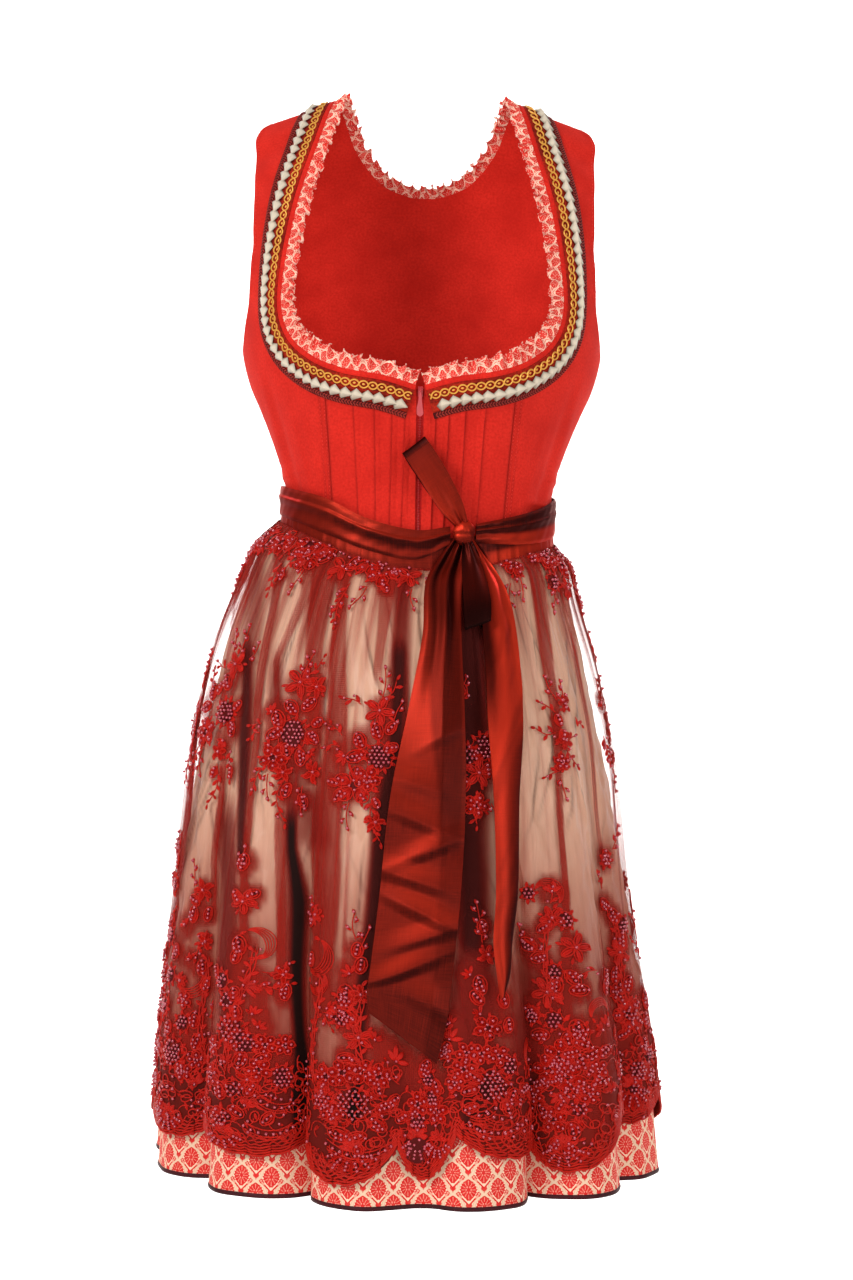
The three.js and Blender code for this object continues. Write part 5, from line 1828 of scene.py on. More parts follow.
    def cover(self, grid: Array, degrees: Array, fall: Array) -> tuple[Array, Array]:
        """How closely the net covers what is under it, and how deep in shade it is.

        A single layer covers little, more where it turns away steeply, and much more where a gather lays it
        double or a motif is worked on it. Along the scallops it is filled with stitches.

        Args:
            grid: the net's points.
            degrees: the angle of each.
            fall: how far down the skirt each lies.

        Returns:
            The cover and the shade, each from 0 to 1.
        """
        normals = grid_normals(grid)
        radial = unit(grid * np.array([1.0, 1.0, 0.0]))
        facing = np.clip((normals * radial).sum(-1), 0.2, 1)
        dense = 0.02 + 0.23 * smoothstep(fall, 0.4, 0.85) + 0.09 * (1 / facing - 1)
        dense = dense + 0.14 * smoothstep(np.abs(degrees), 62, 84) * (1 - smoothstep(fall, 0.5, 0.8))
        dense = dense + 0.5 * (1 - smoothstep(fall, 0.0, 0.06))
        shade = 0.12 * smoothstep(fall, 0.3, 0.8) + 0.35 * smoothstep(1 / facing, 1.15, 2.2)
        front = np.cos(np.radians(degrees)) > -0.1
        height = grid[..., 2]
        for strength, deep, run in self.doubled:
            table = np.array(run, float)
            middle = np.interp(height, table[:, 0], table[:, 1])
            half = np.interp(height, table[:, 0], table[:, 2])
            low, high = table[0, 0], table[-1, 0]
            ends = smoothstep(height, low - 18, low + 6) * (1 - smoothstep(height, high + 20, high + 60))
            off = np.abs(grid[..., 0] - middle + 1.2 * np.sin(height / 23.0)) / np.maximum(half, 0.5)
            soft = (0.35, 1.6) if deep else (0.8, 1.15)
            edge = (1 - smoothstep(off, *soft)) * ends * front
            if deep:
                shade = np.maximum(shade, strength * edge)
            else:
                dense = dense + 0.6 * strength * edge * (0.75 + 0.35 * np.clip(off, 0, 1) ** 3)
        dense = dense + 0.38 * self.worked(degrees, height)
        above = height - self.lace_edge(degrees)
        band = 1 - smoothstep(above, 55, 100)
        filled = 0.5 * (1 - smoothstep(above, 9, 17)) + 0.22 * band
        shade = shade + lerp(0.3, 0.5, smoothstep(-degrees, -30, 10)) * band
        return np.clip(dense + self.gathers(degrees, fall) + filled, 0, 0.95), np.clip(shade, 0, 1)

    def wrinkles(self, turns: Array, height: Array) -> tuple[Array, Array]:
        """The satin's sharp little creases: how far they stand up, and the shade on one flank of each."""
        random = np.random.default_rng(self.CREASE_SEED)
        x, up, shade = self.form.cloth(turns), 0.0, 0.0
        for _ in range(self.creased):
            at, level = random.uniform(-78, 78), random.uniform(-890, -480)
            lean, long = random.uniform(-0.7, 0.7), random.uniform(20, 55)
            wide, high = random.uniform(3.5, 6.5), random.uniform(1.2, 2.6)
            dx, dz = x - self.form.cloth(at), height - level
            off = dx * math.cos(lean) - dz * math.sin(lean) + 4 * np.sin(dz / long)
            ends = bump(dx * math.sin(lean) + dz * math.cos(lean), long)
            up = up + high * ends * np.clip(1 - np.abs(off) / wide, 0, 1)
            shade = np.maximum(shade, 0.8 * ends * bump(off - wide * 0.7, wide * 0.45))
        return up, shade

    def layer(self, count: int, rows: int, hem: Array, which: int) -> tuple[Array, Array, Array, Array]:
        """A layer's grid with its flat map, angles and falls. The satin hangs closer in at the sides."""
        degrees = np.linspace(-self.reach, self.reach, count)
        top = self.form.waist.height(degrees) - self.band_below
        share = np.linspace(0, 1, rows)[:, None]
        height = lerp(top, np.broadcast_to(hem, degrees.shape), share)
        turns = np.broadcast_to(degrees, height.shape)
        fall = self.form.fall(turns, height)
        if which:
            lift = self.lace_lift(turns, height)
        else:
            lift = self.lifts[0] * (0.5 + 0.5 * smoothstep(fall, 0.0, 0.08)) - self.form.set_in(turns, fall)
            lift = lift + 1.3 * waver(turns * 0.55 + height * 0.05, 3.0) * smoothstep(fall, 0.05, 0.2)
            lift = lift + 0.9 * waver(turns * 0.9 - height * 0.12, 7.0) * smoothstep(fall, 0.15, 0.4)
            lift = lift + self.wrinkles(turns, height)[0]
        grid = self.form.point(turns, height, self.folds[which], lift)
        uv = flat_map(self.form.cloth(turns), height)
        return grid, uv, turns, fall

    def make(self) -> None:
        """Builds and dresses both layers."""
        grid, uv, turns, _ = self.layer(421, 98, np.full(421, self.underlay_hem), 0)
        marks = {"deep": self.wrinkles(turns, grid[..., 2])[1]}
        underlay = make_piece(
            "satin_underlay", wall(grid, uv, self.cloth, marks), Stock.SATIN, ("apron_underlay",)
        )
        edge = self.lace_edge(np.linspace(-self.reach, self.reach, 561))
        grid, uv, turns, fall = self.layer(561, 88, edge, 1)
        cover, deep = self.cover(grid, turns, fall)
        net = make_piece(
            "lace_net",
            wall(grid, uv, 0.4, {"cover": cover, "deep": deep}),
            Stock.TULLE,
            ("apron_lace",),
        )


class Work(Enum):
    """The kinds of motif worked on the net, with the places of each: angle round from the centre front,
    height, turn in degrees and size, four numbers to a motif.
    """

    BLOOM = """
        -41.5 -448 20 14 -17.2 -453 10 13 -11.2 -462 40 14 41.2 -453 30 11 62.2 -446 10 12 71.2 -451 40 11
        -67 -615 10 14 -36.2 -634 20 12 -11.8 -656 10 17 -8.8 -650 40 11 19 -672 10 11 47.2 -634 30 8 -63
        -862 20 8 -72.2 -911 0 9 -44.2 -895 10 9 -33.8 -889 30 9 -30.2 -889 60 9 -34.8 -911 20 10 -44 -921
        40 11 -61.8 -927 10 9 -68 -965 10 9 -59.2 -916 20 8 -15 -911 10 11 -12 -906 40 11 -8.2 -905 10 11
        -5.8 -908 60 11 -14 -941 30 9 3.2 -933 20 11 18.8 -866 20 11 10.2 -887 10 7 14.5 -887 20 9 17.2 -888
        40 9 20.5 -891 10 9 13.8 -901 60 10 12 -913 20 8 8 -939 10 11 34.5 -932 20 9 40.5 -896 20 14 37.8
        -909 60 14 41.2 -916 100 14 38.2 -953 20 12 65.8 -850 20 8 68.5 -871 10 18 46.8 -910 20 9 56.2 -915
        40 11 73.2 -929 10 8 44.8 -931 20 8
    """
    STAR = """
        -37.5 -438 10 9 -26.8 -458 30 12 -1.8 -465 20 11 54.5 -441 10 8 68.8 -472 20 10 -58.5 -550 15 12
        -59.2 -632 30 8 -31.5 -565 20 14 -26 -569 60 10 -25 -646 40 10 -33.5 -647 10 8 -6.5 -589 25 13 -6.5
        -688 30 8 20 -643 20 13 51.8 -581 30 8 49.2 -614 20 9 -60 -760 10 10 -58.5 -807 30 8 -64.5 -845 10 7
        -39.5 -764 20 11 -30.8 -827 20 8 -36.5 -920 20 9 -19.5 -772 20 8 -9.2 -875 20 11 -8.8 -838 30 8 20
        -803 20 8 41.2 -774 20 11 45.5 -801 20 13 38.8 -840 10 14 68 -813 20 12
    """
    CLUSTER = """
        59.8 -467 0 8 -59 -595 0 12 -31.8 -612 0 14 -6 -630 0 12 22 -620 0 11 17.5 -627 0 9 -74.2 -761 0 8
        -71.8 -807 0 8 -68.8 -842 0 8 -70.5 -872 0 8 -63 -883 0 8 -43.2 -836 0 8 -41.2 -852 0 7 -40 -879 0
        12 -65.2 -911 0 13 -37.5 -888 0 10 -30.5 -917 0 10 -38.5 -930 0 8 -40.5 -956 0 8 -11.8 -843 0 7
        -12.2 -859 0 7 -15.8 -932 0 9 -10 -933 0 15 5.8 -910 0 7 3 -948 0 9 6.8 -927 0 7 22.5 -900 0 8 18.8
        -916 0 14 35.5 -752 0 6 44 -776 0 7 40.8 -822 0 7 35 -861 0 7 39.8 -865 0 8 44.2 -876 0 8 40.2 -907
        0 10 41.8 -927 0 7 42.8 -944 0 6 66.2 -727 0 6 70.2 -788 0 8 68.5 -871 0 9 69 -923 0 10 68 -938 0 7
        73.2 -911 0 8
    """
    LOBE = """
        -83.2 -443 230 10 -83 -465 250 9 -54 -437 100 11 -49.8 -466 270 8 -26.2 -446 80 9 -9 -477 300 8 -7.2
        -462 350 8 13.5 -464 270 11 40 -448 120 9 61.5 -438 90 10 90.2 -484 290 10 -60.2 -567 110 13 -67.2
        -577 95 13 -69.2 -591 195 13 -64 -573 60 11 -54.2 -589 40 11 -55.5 -610 290 13 -60 -651 250 9 -53
        -650 285 9 -33 -588 130 13 -27.8 -585 40 13 -36.2 -599 110 14 -36.8 -612 215 13 -25.8 -615 330 13
        -24.5 -601 20 11 -33.2 -627 290 11 -29 -633 280 13 -32.2 -663 250 11 -27.5 -672 300 11 -6.8 -607 100
        13 -11.2 -616 110 13 -12 -630 200 14 -3.2 -604 60 11 -17 -654 180 9 -15.5 -665 250 10 -6.5 -671 300
        8 -3 -622 20 11 16.5 -569 100 13 22.5 -641 80 11 16.2 -654 250 11 48.2 -596 100 9 48.8 -610 60 9
        -74.2 -739 250 11 -67.5 -820 260 13 -67.5 -891 250 13 -62.2 -770 150 11 -62.2 -783 90 13 -58.2 -782
        75 11 -58.8 -831 90 13 -57.8 -847 80 11 -60 -879 90 13 -59.2 -899 80 13 -40.5 -729 80 13 -41.2 -760
        120 11 -37.8 -757 20 11 -39.5 -803 95 14 -40 -813 80 11 -46 -830 110 11 -39.8 -846 80 11 -39.2 -862
        100 11 -30.2 -842 80 13 -62.8 -926 280 13 -34.2 -900 200 11 -38 -904 250 13 -71.5 -941 100 9 -56.8
        -950 200 15 -41.2 -932 100 13 -36 -929 60 11 -38.2 -949 320 11 -42 -952 230 11 -33 -953 240 11 -21.5
        -777 90 11 -20.5 -812 90 11 -9.5 -800 90 11 -8.8 -813 80 12 -11.5 -840 95 16 -11.2 -857 140 16 -11.5
        -893 190 11 -15.8 -923 270 11 -5.8 -918 270 11 -4.5 -935 20 14 -2.8 -929 40 11 -6 -949 140 14 -12.2
        -959 160 16 -9.5 -960 200 12 -9.2 -971 270 10 5.2 -902 60 14 -0.8 -944 200 12 8 -918 100 12 0.8 -970
        240 11 7.2 -886 90 12 10.5 -885 80 12 19.2 -779 90 11 18 -829 95 14 17.2 -840 120 12 22.5 -843 90 12
        23 -865 80 11 14.8 -919 200 12 15.8 -908 150 12 22.5 -926 60 12 21.5 -936 280 11 26.2 -923 10 14
        36.2 -922 20 13 14.8 -934 200 11 39 -783 200 11 35 -798 160 15 37.5 -809 200 13 41 -834 90 13 44.2
        -828 300 13 45.2 -839 0 13 34.8 -858 160 14 44 -874 100 16 44.5 -887 320 13 36.5 -878 180 14 42 -882
        90 11 41.8 -898 90 11 40 -940 60 11 36.8 -945 150 13 38.2 -975 240 13 41 -979 280 13 41.8 -962 270
        13 66.2 -725 80 13 64.8 -768 150 13 67.5 -779 120 13 69.2 -802 90 15 54.8 -832 90 13 52.8 -840 250
        11 66.2 -834 70 13 69.2 -843 70 13 75.8 -861 80 15 74.5 -879 90 13 66 -889 200 11 45.5 -896 200 16
        48.8 -895 20 13 72.5 -901 100 15 45.2 -909 250 11 44 -925 30 14 47 -921 20 13 44 -902 110 13
    """
    SPRAY = """
        -48.2 -444 250 24 -52 -454 262 28 -21.5 -472 262 39 79 -459 300 25 90.2 -510 285 29 -64 -554 160 15
        -68.8 -576 100 19 -69.5 -628 265 23 -54.8 -628 280 28 -59.5 -642 262 39 -29.2 -559 55 20 -38 -641
        250 24 -32 -647 270 45 -40.8 -603 190 15 -41 -612 205 13 -5.5 -579 60 20 -11.5 -584 160 16 -15.8
        -612 150 20 -16 -622 185 16 -7.2 -665 280 41 20.5 -659 260 31 47.8 -589 150 18 47 -607 170 22 49.5
        -616 20 15 49 -622 310 20 46.2 -642 200 15 55.8 -593 320 11 70 -611 280 23 -74.2 -720 262 32 -70.2
        -778 255 34 -68.8 -852 255 32 -58 -796 250 28 -56.5 -877 60 15 -38.2 -838 5 36 -37 -837 350 23 -35
        -825 20 23 -16.5 -856 20 23 -15.8 -858 300 12 -1.2 -916 120 23 9.8 -928 60 21 11 -872 95 30 41 -762
        80 16 64.2 -754 130 19 78.2 -806 60 21 50.2 -823 190 18 77 -824 120 23
    """
    BUDS = """
        -75.2 -424 215 33 -76.2 -431 235 29 -90.2 -447 245 29 -40.8 -459 250 24 -22.8 -481 250 22 -15.5 -475
        240 22 0.2 -477 280 18 41.8 -462 270 22 37.5 -469 262 26 60.2 -475 250 21 -57.8 -543 85 28 -60.8
        -539 110 21 -53 -546 60 17 -67 -630 275 24 -30 -565 80 27 -37 -648 275 22 -27.8 -658 270 25 -6.5
        -584 85 33 -12.8 -671 270 22 -2.8 -602 70 22 17 -578 80 20 22.8 -670 300 20 50.2 -589 80 28 48.8
        -578 110 22 46.2 -649 280 18 70.2 -618 280 21 -74.5 -709 265 29 -63.2 -759 100 24 -40.8 -734 85 18
        -21.5 -782 95 23 -9.8 -791 95 23 -9 -799 70 19 -9 -892 250 18 19 -794 95 36 39.2 -807 140 42 68.8
        -718 60 24
    """
    LEAVES = """
        -58 -621 240 13 -38.2 -593 140 13 -26.8 -628 320 13 -37.5 -623 180 11 -14.8 -630 200 13 71.5 -580
        300 9 -64.8 -794 130 13 -62.2 -825 120 11 -38.2 -838 10 22 -36.2 -863 90 14 -35.2 -874 60 13 -59.2
        -938 90 17 -36.8 -943 60 14 -40.5 -907 90 13 -15.2 -852 0 14 -10.8 -821 130 14 -6.5 -877 60 12 -13.2
        -945 220 14 -2.2 -896 60 21 -7.2 -926 60 12 -0.2 -959 200 12 11.2 -876 70 18 11.5 -862 100 12 16.2
        -820 150 12 17.5 -854 150 12 24.2 -930 200 12 37.5 -882 160 13 41.5 -751 90 15 40 -931 250 18 50.2
        -872 60 16 48.8 -876 150 13 49.8 -930 100 15
    """
    SCROLL = """
        -61 -847 -60 19 -35.2 -799 20 17 -17.5 -811 -30 20 -17.8 -833 -60 14 29.8 -891 130 16 41 -749 60 16
        78.5 -773 -20 17 49.2 -856 100 14
    """
    FAN = """
        -40.2 -967 -90 18 -65 -966 -90 19 -10.2 -971 -90 23 3 -962 -90 23 8 -963 -90 19 40 -975 -90 23 67.2
        -936 -90 24
    """
    CHAIN = """
        -66.5 -949 200 13 -32 -937 -20 15 -32.5 -959 0 20 -9 -966 0 26 16.8 -936 10 11 19.8 -940 -20 11 20
        -947 0 25
    """
    STEM = """
        -57.8 -870 96 102 -38.8 -860 85 117 -18 -872 90 98 -8.8 -868 98 79 39.8 -811 100 82 41.8 -935 95 153
        68.8 -834 100 117 69.5 -922 95 103
    """

    def places(self) -> Array:
        """The motifs of this kind as rows, with those at the sides worked again further round."""
        rows = np.array(self.value.split(), float).reshape(-1, 4)
        copies = [rows]
        for low, high, shift in ((-50, -24, -52), (33, 54, 49)):
            again = rows[(rows[:, 0] > low) & (rows[:, 0] < high)].copy()
            again[:, 0] += shift
            copies.append(again[np.abs(again[:, 0]) > 80])
        return np.concatenate(copies)


@dataclass
class Embroidery:
    """The embroidery on the net: petals and leaves in satin stitch, couched cords, and pearls.

    Each motif is drawn flat in millimetres about its own origin, with X along its turn, and is then laid on
    the net.
    """

    # How far above the scalloped edge each of its cords lies, and the cord's radius.
    EDGE_CORDS = ((0.8, 1.2), (3.1, 1.1), (5.4, 1.0), (7.8, 1.0), (10.4, 0.9), (13.2, 0.85), (16.4, 0.75))

    apron: ApronLayers
    seed: int = 11
    pearl_size: float = 3.0
    pitch: float = 3.9

    def __post_init__(self) -> None:
        """Starts with no work and a fixed seed."""
        self.random = np.random.default_rng(self.seed)
        self.at = np.zeros(3)
        self.petals: list[Array] = []
        self.pearls: list[Array] = []
        self.loops: list[Array] = []
        self.grounds: list[Array] = []
        self.cords: list[tuple[Array, float]] = []

    def ground(self, x: float, y: float, turn: float, long: float, wide: float) -> None:
        """Adds an oval of closely laid dark stitches, by its middle and half sizes."""
        c, s = heading(turn)
        self.grounds.append(np.array([x - long * c, y - long * s, turn, 2 * long, 2 * wide, 0.45, *self.at]))

    def petal(self, x: float, y: float, turn: float, long: float, wide: float, high: float = 1.4) -> None:
        """Adds a petal or leaf: its root, direction, length, width and height."""
        self.petals.append(np.array([x, y, turn, long, wide, high, *self.at]))

    def pearl(self, x: float, y: float, wide: float = 3.0) -> None:
        """Adds a pearl."""
        self.pearls.append(np.array([x, y, wide, *self.at]))

    def row(self, x: float, y: float, turn: float, count: int) -> None:
        """Adds a row of pearls, its middle at a place."""
        c, s = heading(turn)
        for k in np.arange(count) - (count - 1) / 2:
            self.pearl(x + k * self.pitch * c, y + k * self.pitch * s, self.pearl_size)

    def loop(self, x: float, y: float, turn: float, long: float, wide: float) -> None:
        """Adds an oval outline of couched cord, by its middle and half sizes."""
        self.loops.append(np.array([x, y, turn, long, wide, *self.at]))

    def cord(self, path: Array, radius: float = 0.75) -> None:
        """Adds a couched cord along a flat path."""
        self.cords.append((np.concatenate([resampled(path, 20), np.tile(self.at, (20, 1))], 1), radius))

    def ring(self, reach: float, share: float, count: int, first: float = 0.0) -> list[tuple[float, ...]]:
        """Places evenly round a ring: turn in degrees, x and y."""
        turns = first + np.arange(count) * 360 / count + self.random.uniform(-4, 4, count)
        return [(t, *(reach * share * part for part in heading(t))) for t in turns]

    def bloom(self, size: float) -> None:
        """A bloom: five round petals, each outlined and beaded, round a few pearls."""
        for turn, x, y in self.ring(size, 0.62, 5, self.random.uniform(0, 72)):
            for lean in (-27, -9, 9, 27):
                self.petal(
                    x * 0.3, y * 0.3, turn + lean, size * (0.86 if abs(lean) < 20 else 0.74), size * 0.19, 1.5
                )
            self.loop(x, y, turn, size * 0.4, size * 0.36)
            self.pearl(x, y)
            if size > 13:
                self.pearl(x * 1.35, y * 1.35)
        for turn, x, y in self.ring(size, 0.74, 6, self.random.uniform(0, 60)):
            self.petal(x, y, turn, size * 0.5, 2.9, 1.0)
        self.ground(0, 0, 0, size * 0.34, size * 0.34)
        for _, x, y in self.ring(size, 0.25 if size > 9 else 0.2, 4 if size > 9 else 3):
            self.pearl(x, y, 2.8)

    def star(self, size: float) -> None:
        """A star flower: five plump satin petals round a pearl."""
        for turn, x, y in self.ring(size, 0.1, 5, self.random.uniform(0, 72)):
            self.petal(x, y, turn, size * 0.96, size * 0.38, 1.9)
            self.loop(x * 5.2, y * 5.2, turn, size * 0.5, size * 0.25)
        for turn, x, y in self.ring(size, 0.7, 4, self.random.uniform(0, 90)):
            self.petal(x, y, turn, size * 0.55, 3.0, 1.0)
        self.pearl(0, 0, 3.2)

    def cluster(self, size: float) -> None:
        """A bed of pearls packed in rows, with petals standing out round it."""
        reach = size * 0.82
        for turn in (0, 60, 120):
            self.ground(0, 0, turn, size * 1.05, size * 0.62)
        lines = np.arange(-reach, reach + 0.1, self.pitch * 0.87)
        for k, y in enumerate(lines - lines.mean()):
            for x in np.arange(-reach, reach + 0.1, self.pitch) + (k % 2) * self.pitch / 2:
                if math.hypot(x, y) < reach and self.random.random() < 0.93:
                    self.pearl(*(np.array([x, y]) + self.random.uniform(-0.3, 0.3, 2)), self.pearl_size)
        for turn, x, y in self.ring(size, 0.72, max(7, int(size * 0.95))):
            self.petal(x, y, turn + self.random.uniform(-16, 16), size * 0.3 + 4.5, 3.4, 1.5)
        t = np.linspace(0, 2 * math.pi, 40)
        wavy = size * (1.0 + 0.1 * np.cos(t * 8))
        for part in (slice(0, 21), slice(20, 40)):
            self.cord(polar(wavy, t)[part], 0.65)

    def lobe(self, size: float) -> None:
        """A lobe: an oval outline over laid stitches, with a row of pearls along it."""
        self.ground(0, 0, 0, size * 0.6, size * 0.38)
        for lean in (-34, -12, 12, 34):
            self.petal(-size * 0.62, 0, lean, size * (0.9 if abs(lean) > 20 else 1.1), size * 0.17, 1.4)
        self.loop(0, 0, 0, size * 0.62, size * 0.4)
        self.loop(0, 0, 0, size * 0.42, size * 0.24)
        self.row(0.05 * size, 0, self.random.uniform(-15, 15), 3 if size < 13 else 4)
        if size > 12:
            self.row(-0.05 * size, 3.4, self.random.uniform(-10, 10), 2)

    def bowed(self, long: float, bow: float) -> Array:
        """A stem's flat path: a half wave to one side."""
        t = np.linspace(0, 1, 20)
        return np.stack([long * t, bow * np.sin(math.pi * t)], -1)

    def spray(self, size: float) -> None:
        """A spray: a bowed stem with leaves on both sides, and a bud here and there."""
        path = self.bowed(size, self.random.uniform(-0.18, 0.18) * size)
        self.cord(path, 0.6)
        count = max(3, int(size / 4.6))
        for k, share in enumerate(np.linspace(0.14, 1.0, count)):
            x, y = (np.interp(share * 19, np.arange(20), path[:, c]) for c in (0, 1))
            side = 0 if k == count - 1 else (1 if k % 2 else -1)
            leaf = (8.6 - 2.4 * share) * self.random.uniform(0.85, 1.15)
            self.petal(x, y, side * self.random.uniform(34, 58), leaf, leaf * 0.45, 1.3)
            if self.random.random() < 0.35:
                self.pearl(x, y - 3.2 * side, 2.8)

    def buds(self, size: float) -> None:
        """Pearl buds on short stalks along a stem, each in a calyx of two leaves."""
        path = self.bowed(size, self.random.uniform(-0.12, 0.12) * size)
        self.cord(path, 0.6)
        for k, share in enumerate(np.linspace(0.15, 1.0, max(3, int(size / 5.0)))):
            x, y = (np.interp(share * 19, np.arange(20), path[:, c]) for c in (0, 1))
            side = (1 if k % 2 else -1) * self.random.uniform(2.6, 4.2) * (share < 0.97)
            self.pearl(x + 1.2, y + side, 3.3)
            self.petal(x - 2.0, y + side * 0.3, 50 * np.sign(side), 5.6, 2.6, 1.2)
            self.petal(x - 1.0, y + side * 0.9, 15 * np.sign(side) + 12, 5.2, 2.4, 1.2)

    def leaves(self, size: float) -> None:
        """A tuft of leaves spreading from one root."""
        for turn in self.random.uniform(-8, 8, 4) + np.array([-62, -22, 20, 60]):
            leaf = size * self.random.uniform(0.5, 0.72)
            self.petal(0, 0, turn, leaf, min(leaf * 0.45, 4.8), 1.5)
        self.pearl(0.5, 0, 2.8)

    def scroll(self, size: float) -> None:
        """A scroll: four cords side by side that part at the middle and meet again at both ends."""
        t = np.linspace(-1.9, 1.9, 20)
        for k in range(5):
            part = 1 - (t / 1.9) ** 2
            r = size * (0.82 - 0.12 * k * part)
            self.cord(polar(r, t) - [size * 0.2, 0], 0.6)
        x, y = size * (0.78 * math.cos(1.9) - 0.2), size * 0.78 * math.sin(1.9)
        self.petal(x, y, 195, size * 0.4, size * 0.2, 1.3)
        self.petal(x, -y, 165, size * 0.4, size * 0.2, 1.3)

    def fan(self, size: float) -> None:
        """A fan: nine ridges that spread from one place, beaded between cords."""
        self.ground(size * 0.45, 0, 90, size * 0.75, size * 0.5)
        for k, turn in enumerate(np.linspace(-66, 66, 11)):
            c, s = heading(turn)
            self.petal(size * 0.3 * c, size * 0.3 * s, turn, size * 0.74, size * 0.13, 1.9)
            if k % 2 == 0:
                for share in (0.5, 0.64, 0.78):
                    self.pearl(size * share * c, size * share * s, 2.9)
        t = np.radians(np.linspace(-80, 80, 20))
        for share, wave in ((0.34, 0.0), (1.02, 0.05), (1.1, 0.05)):
            r = size * (share + wave * np.cos(t * 13))
            self.cord(polar(r, t), 0.8)
        for turn in (100, 140, 180, 220, 260):
            self.petal(0, 0, turn, size * 0.5, size * 0.24, 1.6)

    def chain(self, size: float) -> None:
        """Pearls hung in a shallow curve between two cords."""
        t = np.linspace(-1, 1, 20)
        for drop in (-3.0, 3.0, 5.2):
            self.cord(np.stack([size * 0.95 * t, 0.38 * size * (t * t - 1) - drop], -1), 0.75)
        for share in np.linspace(-0.9, 0.9, max(4, int(size * 2 / 4.8))):
            self.pearl(size * share, 0.38 * size * (share * share - 1), 3.2)

    def stem(self, size: float) -> None:
        """A tall stem: three cords that wind round each other, with leaflets and pearls beside it."""
        t = np.linspace(0, 1, 20)
        for phase in (0.0, 2.1, 4.2):
            self.cord(
                np.stack([size * (t - 0.5), 2.2 * np.sin(t * size / 9 + phase) + 5 * np.sin(t * 5)], -1), 0.85
            )
        for k, share in enumerate(np.linspace(0.05, 0.95, int(size / 7))):
            y = 5 * math.sin(share * 5)
            side = 1 if k % 2 else -1
            self.petal(size * (share - 0.5), y, side * self.random.uniform(30, 60), 8.5, 3.8, 1.3)
            if k % 3 == 0:
                self.pearl(size * (share - 0.5) + 3, y - 4 * side, 2.9)

    def edging(self) -> None:
        """The scalloped edge: rows of cords that follow it, and small filling work in the band above."""
        apron = self.apron
        degrees = np.linspace(-apron.reach + 0.4, apron.reach - 0.4, 1101)
        edge = apron.lace_edge(degrees)
        for k, (up, radius) in enumerate(self.EDGE_CORDS):
            level = edge + up + 0.12 * up * gathered(degrees, (140 + 20 * k, 190, 260), k)
            points = np.stack([degrees, level], -1)
            for part in range(0, 1100, 20):
                path = resampled(points[part : part + 22], 20)
                self.cords.append((np.concatenate([path, np.full((20, 3), np.nan)], 1), radius))
        random = self.random
        for turn in np.arange(-86.0, 88.0, 5.6):
            swayed, level = turn + random.uniform(-1.5, 1.5), random.uniform(-440, -428)
            self.at = np.array([swayed, level - 18 * heading(turn)[0] ** 2, 250 + random.uniform(-30, 30)])
            random.choice([self.lobe, self.bloom, self.leaves, self.spray])(random.uniform(11, 15))
        for kind, count in (("leaf", 380), ("loop", 330), ("arc", 420), ("pearl", 170)):
            turns = random.uniform(-apron.reach + 2, apron.reach - 2, count)
            rise = 14 + 62 * random.random(count) ** 1.5
            for turn, level, angle in zip(
                turns, apron.lace_edge(turns) + rise, random.uniform(0, 360, count)
            ):
                self.at = np.array([turn, level, angle])
                if kind == "leaf":
                    self.petal(0, 0, 0, random.uniform(5, 9), random.uniform(2.0, 3.2), 1.1)
                elif kind == "arc":
                    t, r = np.linspace(-1.3, 1.3, 20), random.uniform(4, 9)
                    self.cord(polar(r, t), 0.6)
                elif kind == "loop":
                    self.loop(0, 0, 0, random.uniform(3.5, 6.5), random.uniform(2.6, 4.2))
                else:
                    self.pearl(0, 0, 3.0)

    def on_net(self, local: Array, at: Array) -> Array:
        """Flat points, each with its own place, as angles and heights on the net."""
        turn = np.radians(at[..., 2])
        x = local[..., 0] * np.cos(turn) - local[..., 1] * np.sin(turn)
        y = local[..., 0] * np.sin(turn) + local[..., 1] * np.cos(turn)
        level = np.clip(at[..., 1] + y, -1020, -405)
        around = self.apron.form.around(level)
        return np.stack([at[..., 0] + np.degrees(x / around), at[..., 1] + y], -1)

    def within(self, spots: Array, above: float) -> Array:
        """Whether places lie on the net, above its edge and below the waistband."""
        degrees, height = spots[..., 0], spots[..., 1]
        top = self.apron.form.waist.height(degrees) - self.apron.band_below - 1
        bottom = self.apron.lace_edge(degrees) + above
        return (np.abs(degrees) < self.apron.reach - 0.8) & (height > bottom) & (height < top)

    def shared(self, name: str, shell_of: object, spots: Array, keep: Array, stock: Stock) -> None:
        """Builds one kind of work in three pieces, so that none is too large.

        Args:
            name: the kind of work.
            shell_of: what gives the shell of the chosen works.
            spots: where each lies, as angle and height.
            keep: which lie on the net.
            stock: what they are made of.
        """
        upper = spots[:, 1] > -800
        right = spots[:, 0] < 0
        for word, part in (("upper", upper), ("right", ~upper & right), ("left", ~upper & ~right)):
            make_piece(f"lace_{name}_{word}", shell_of(keep & part), stock, crease=80)

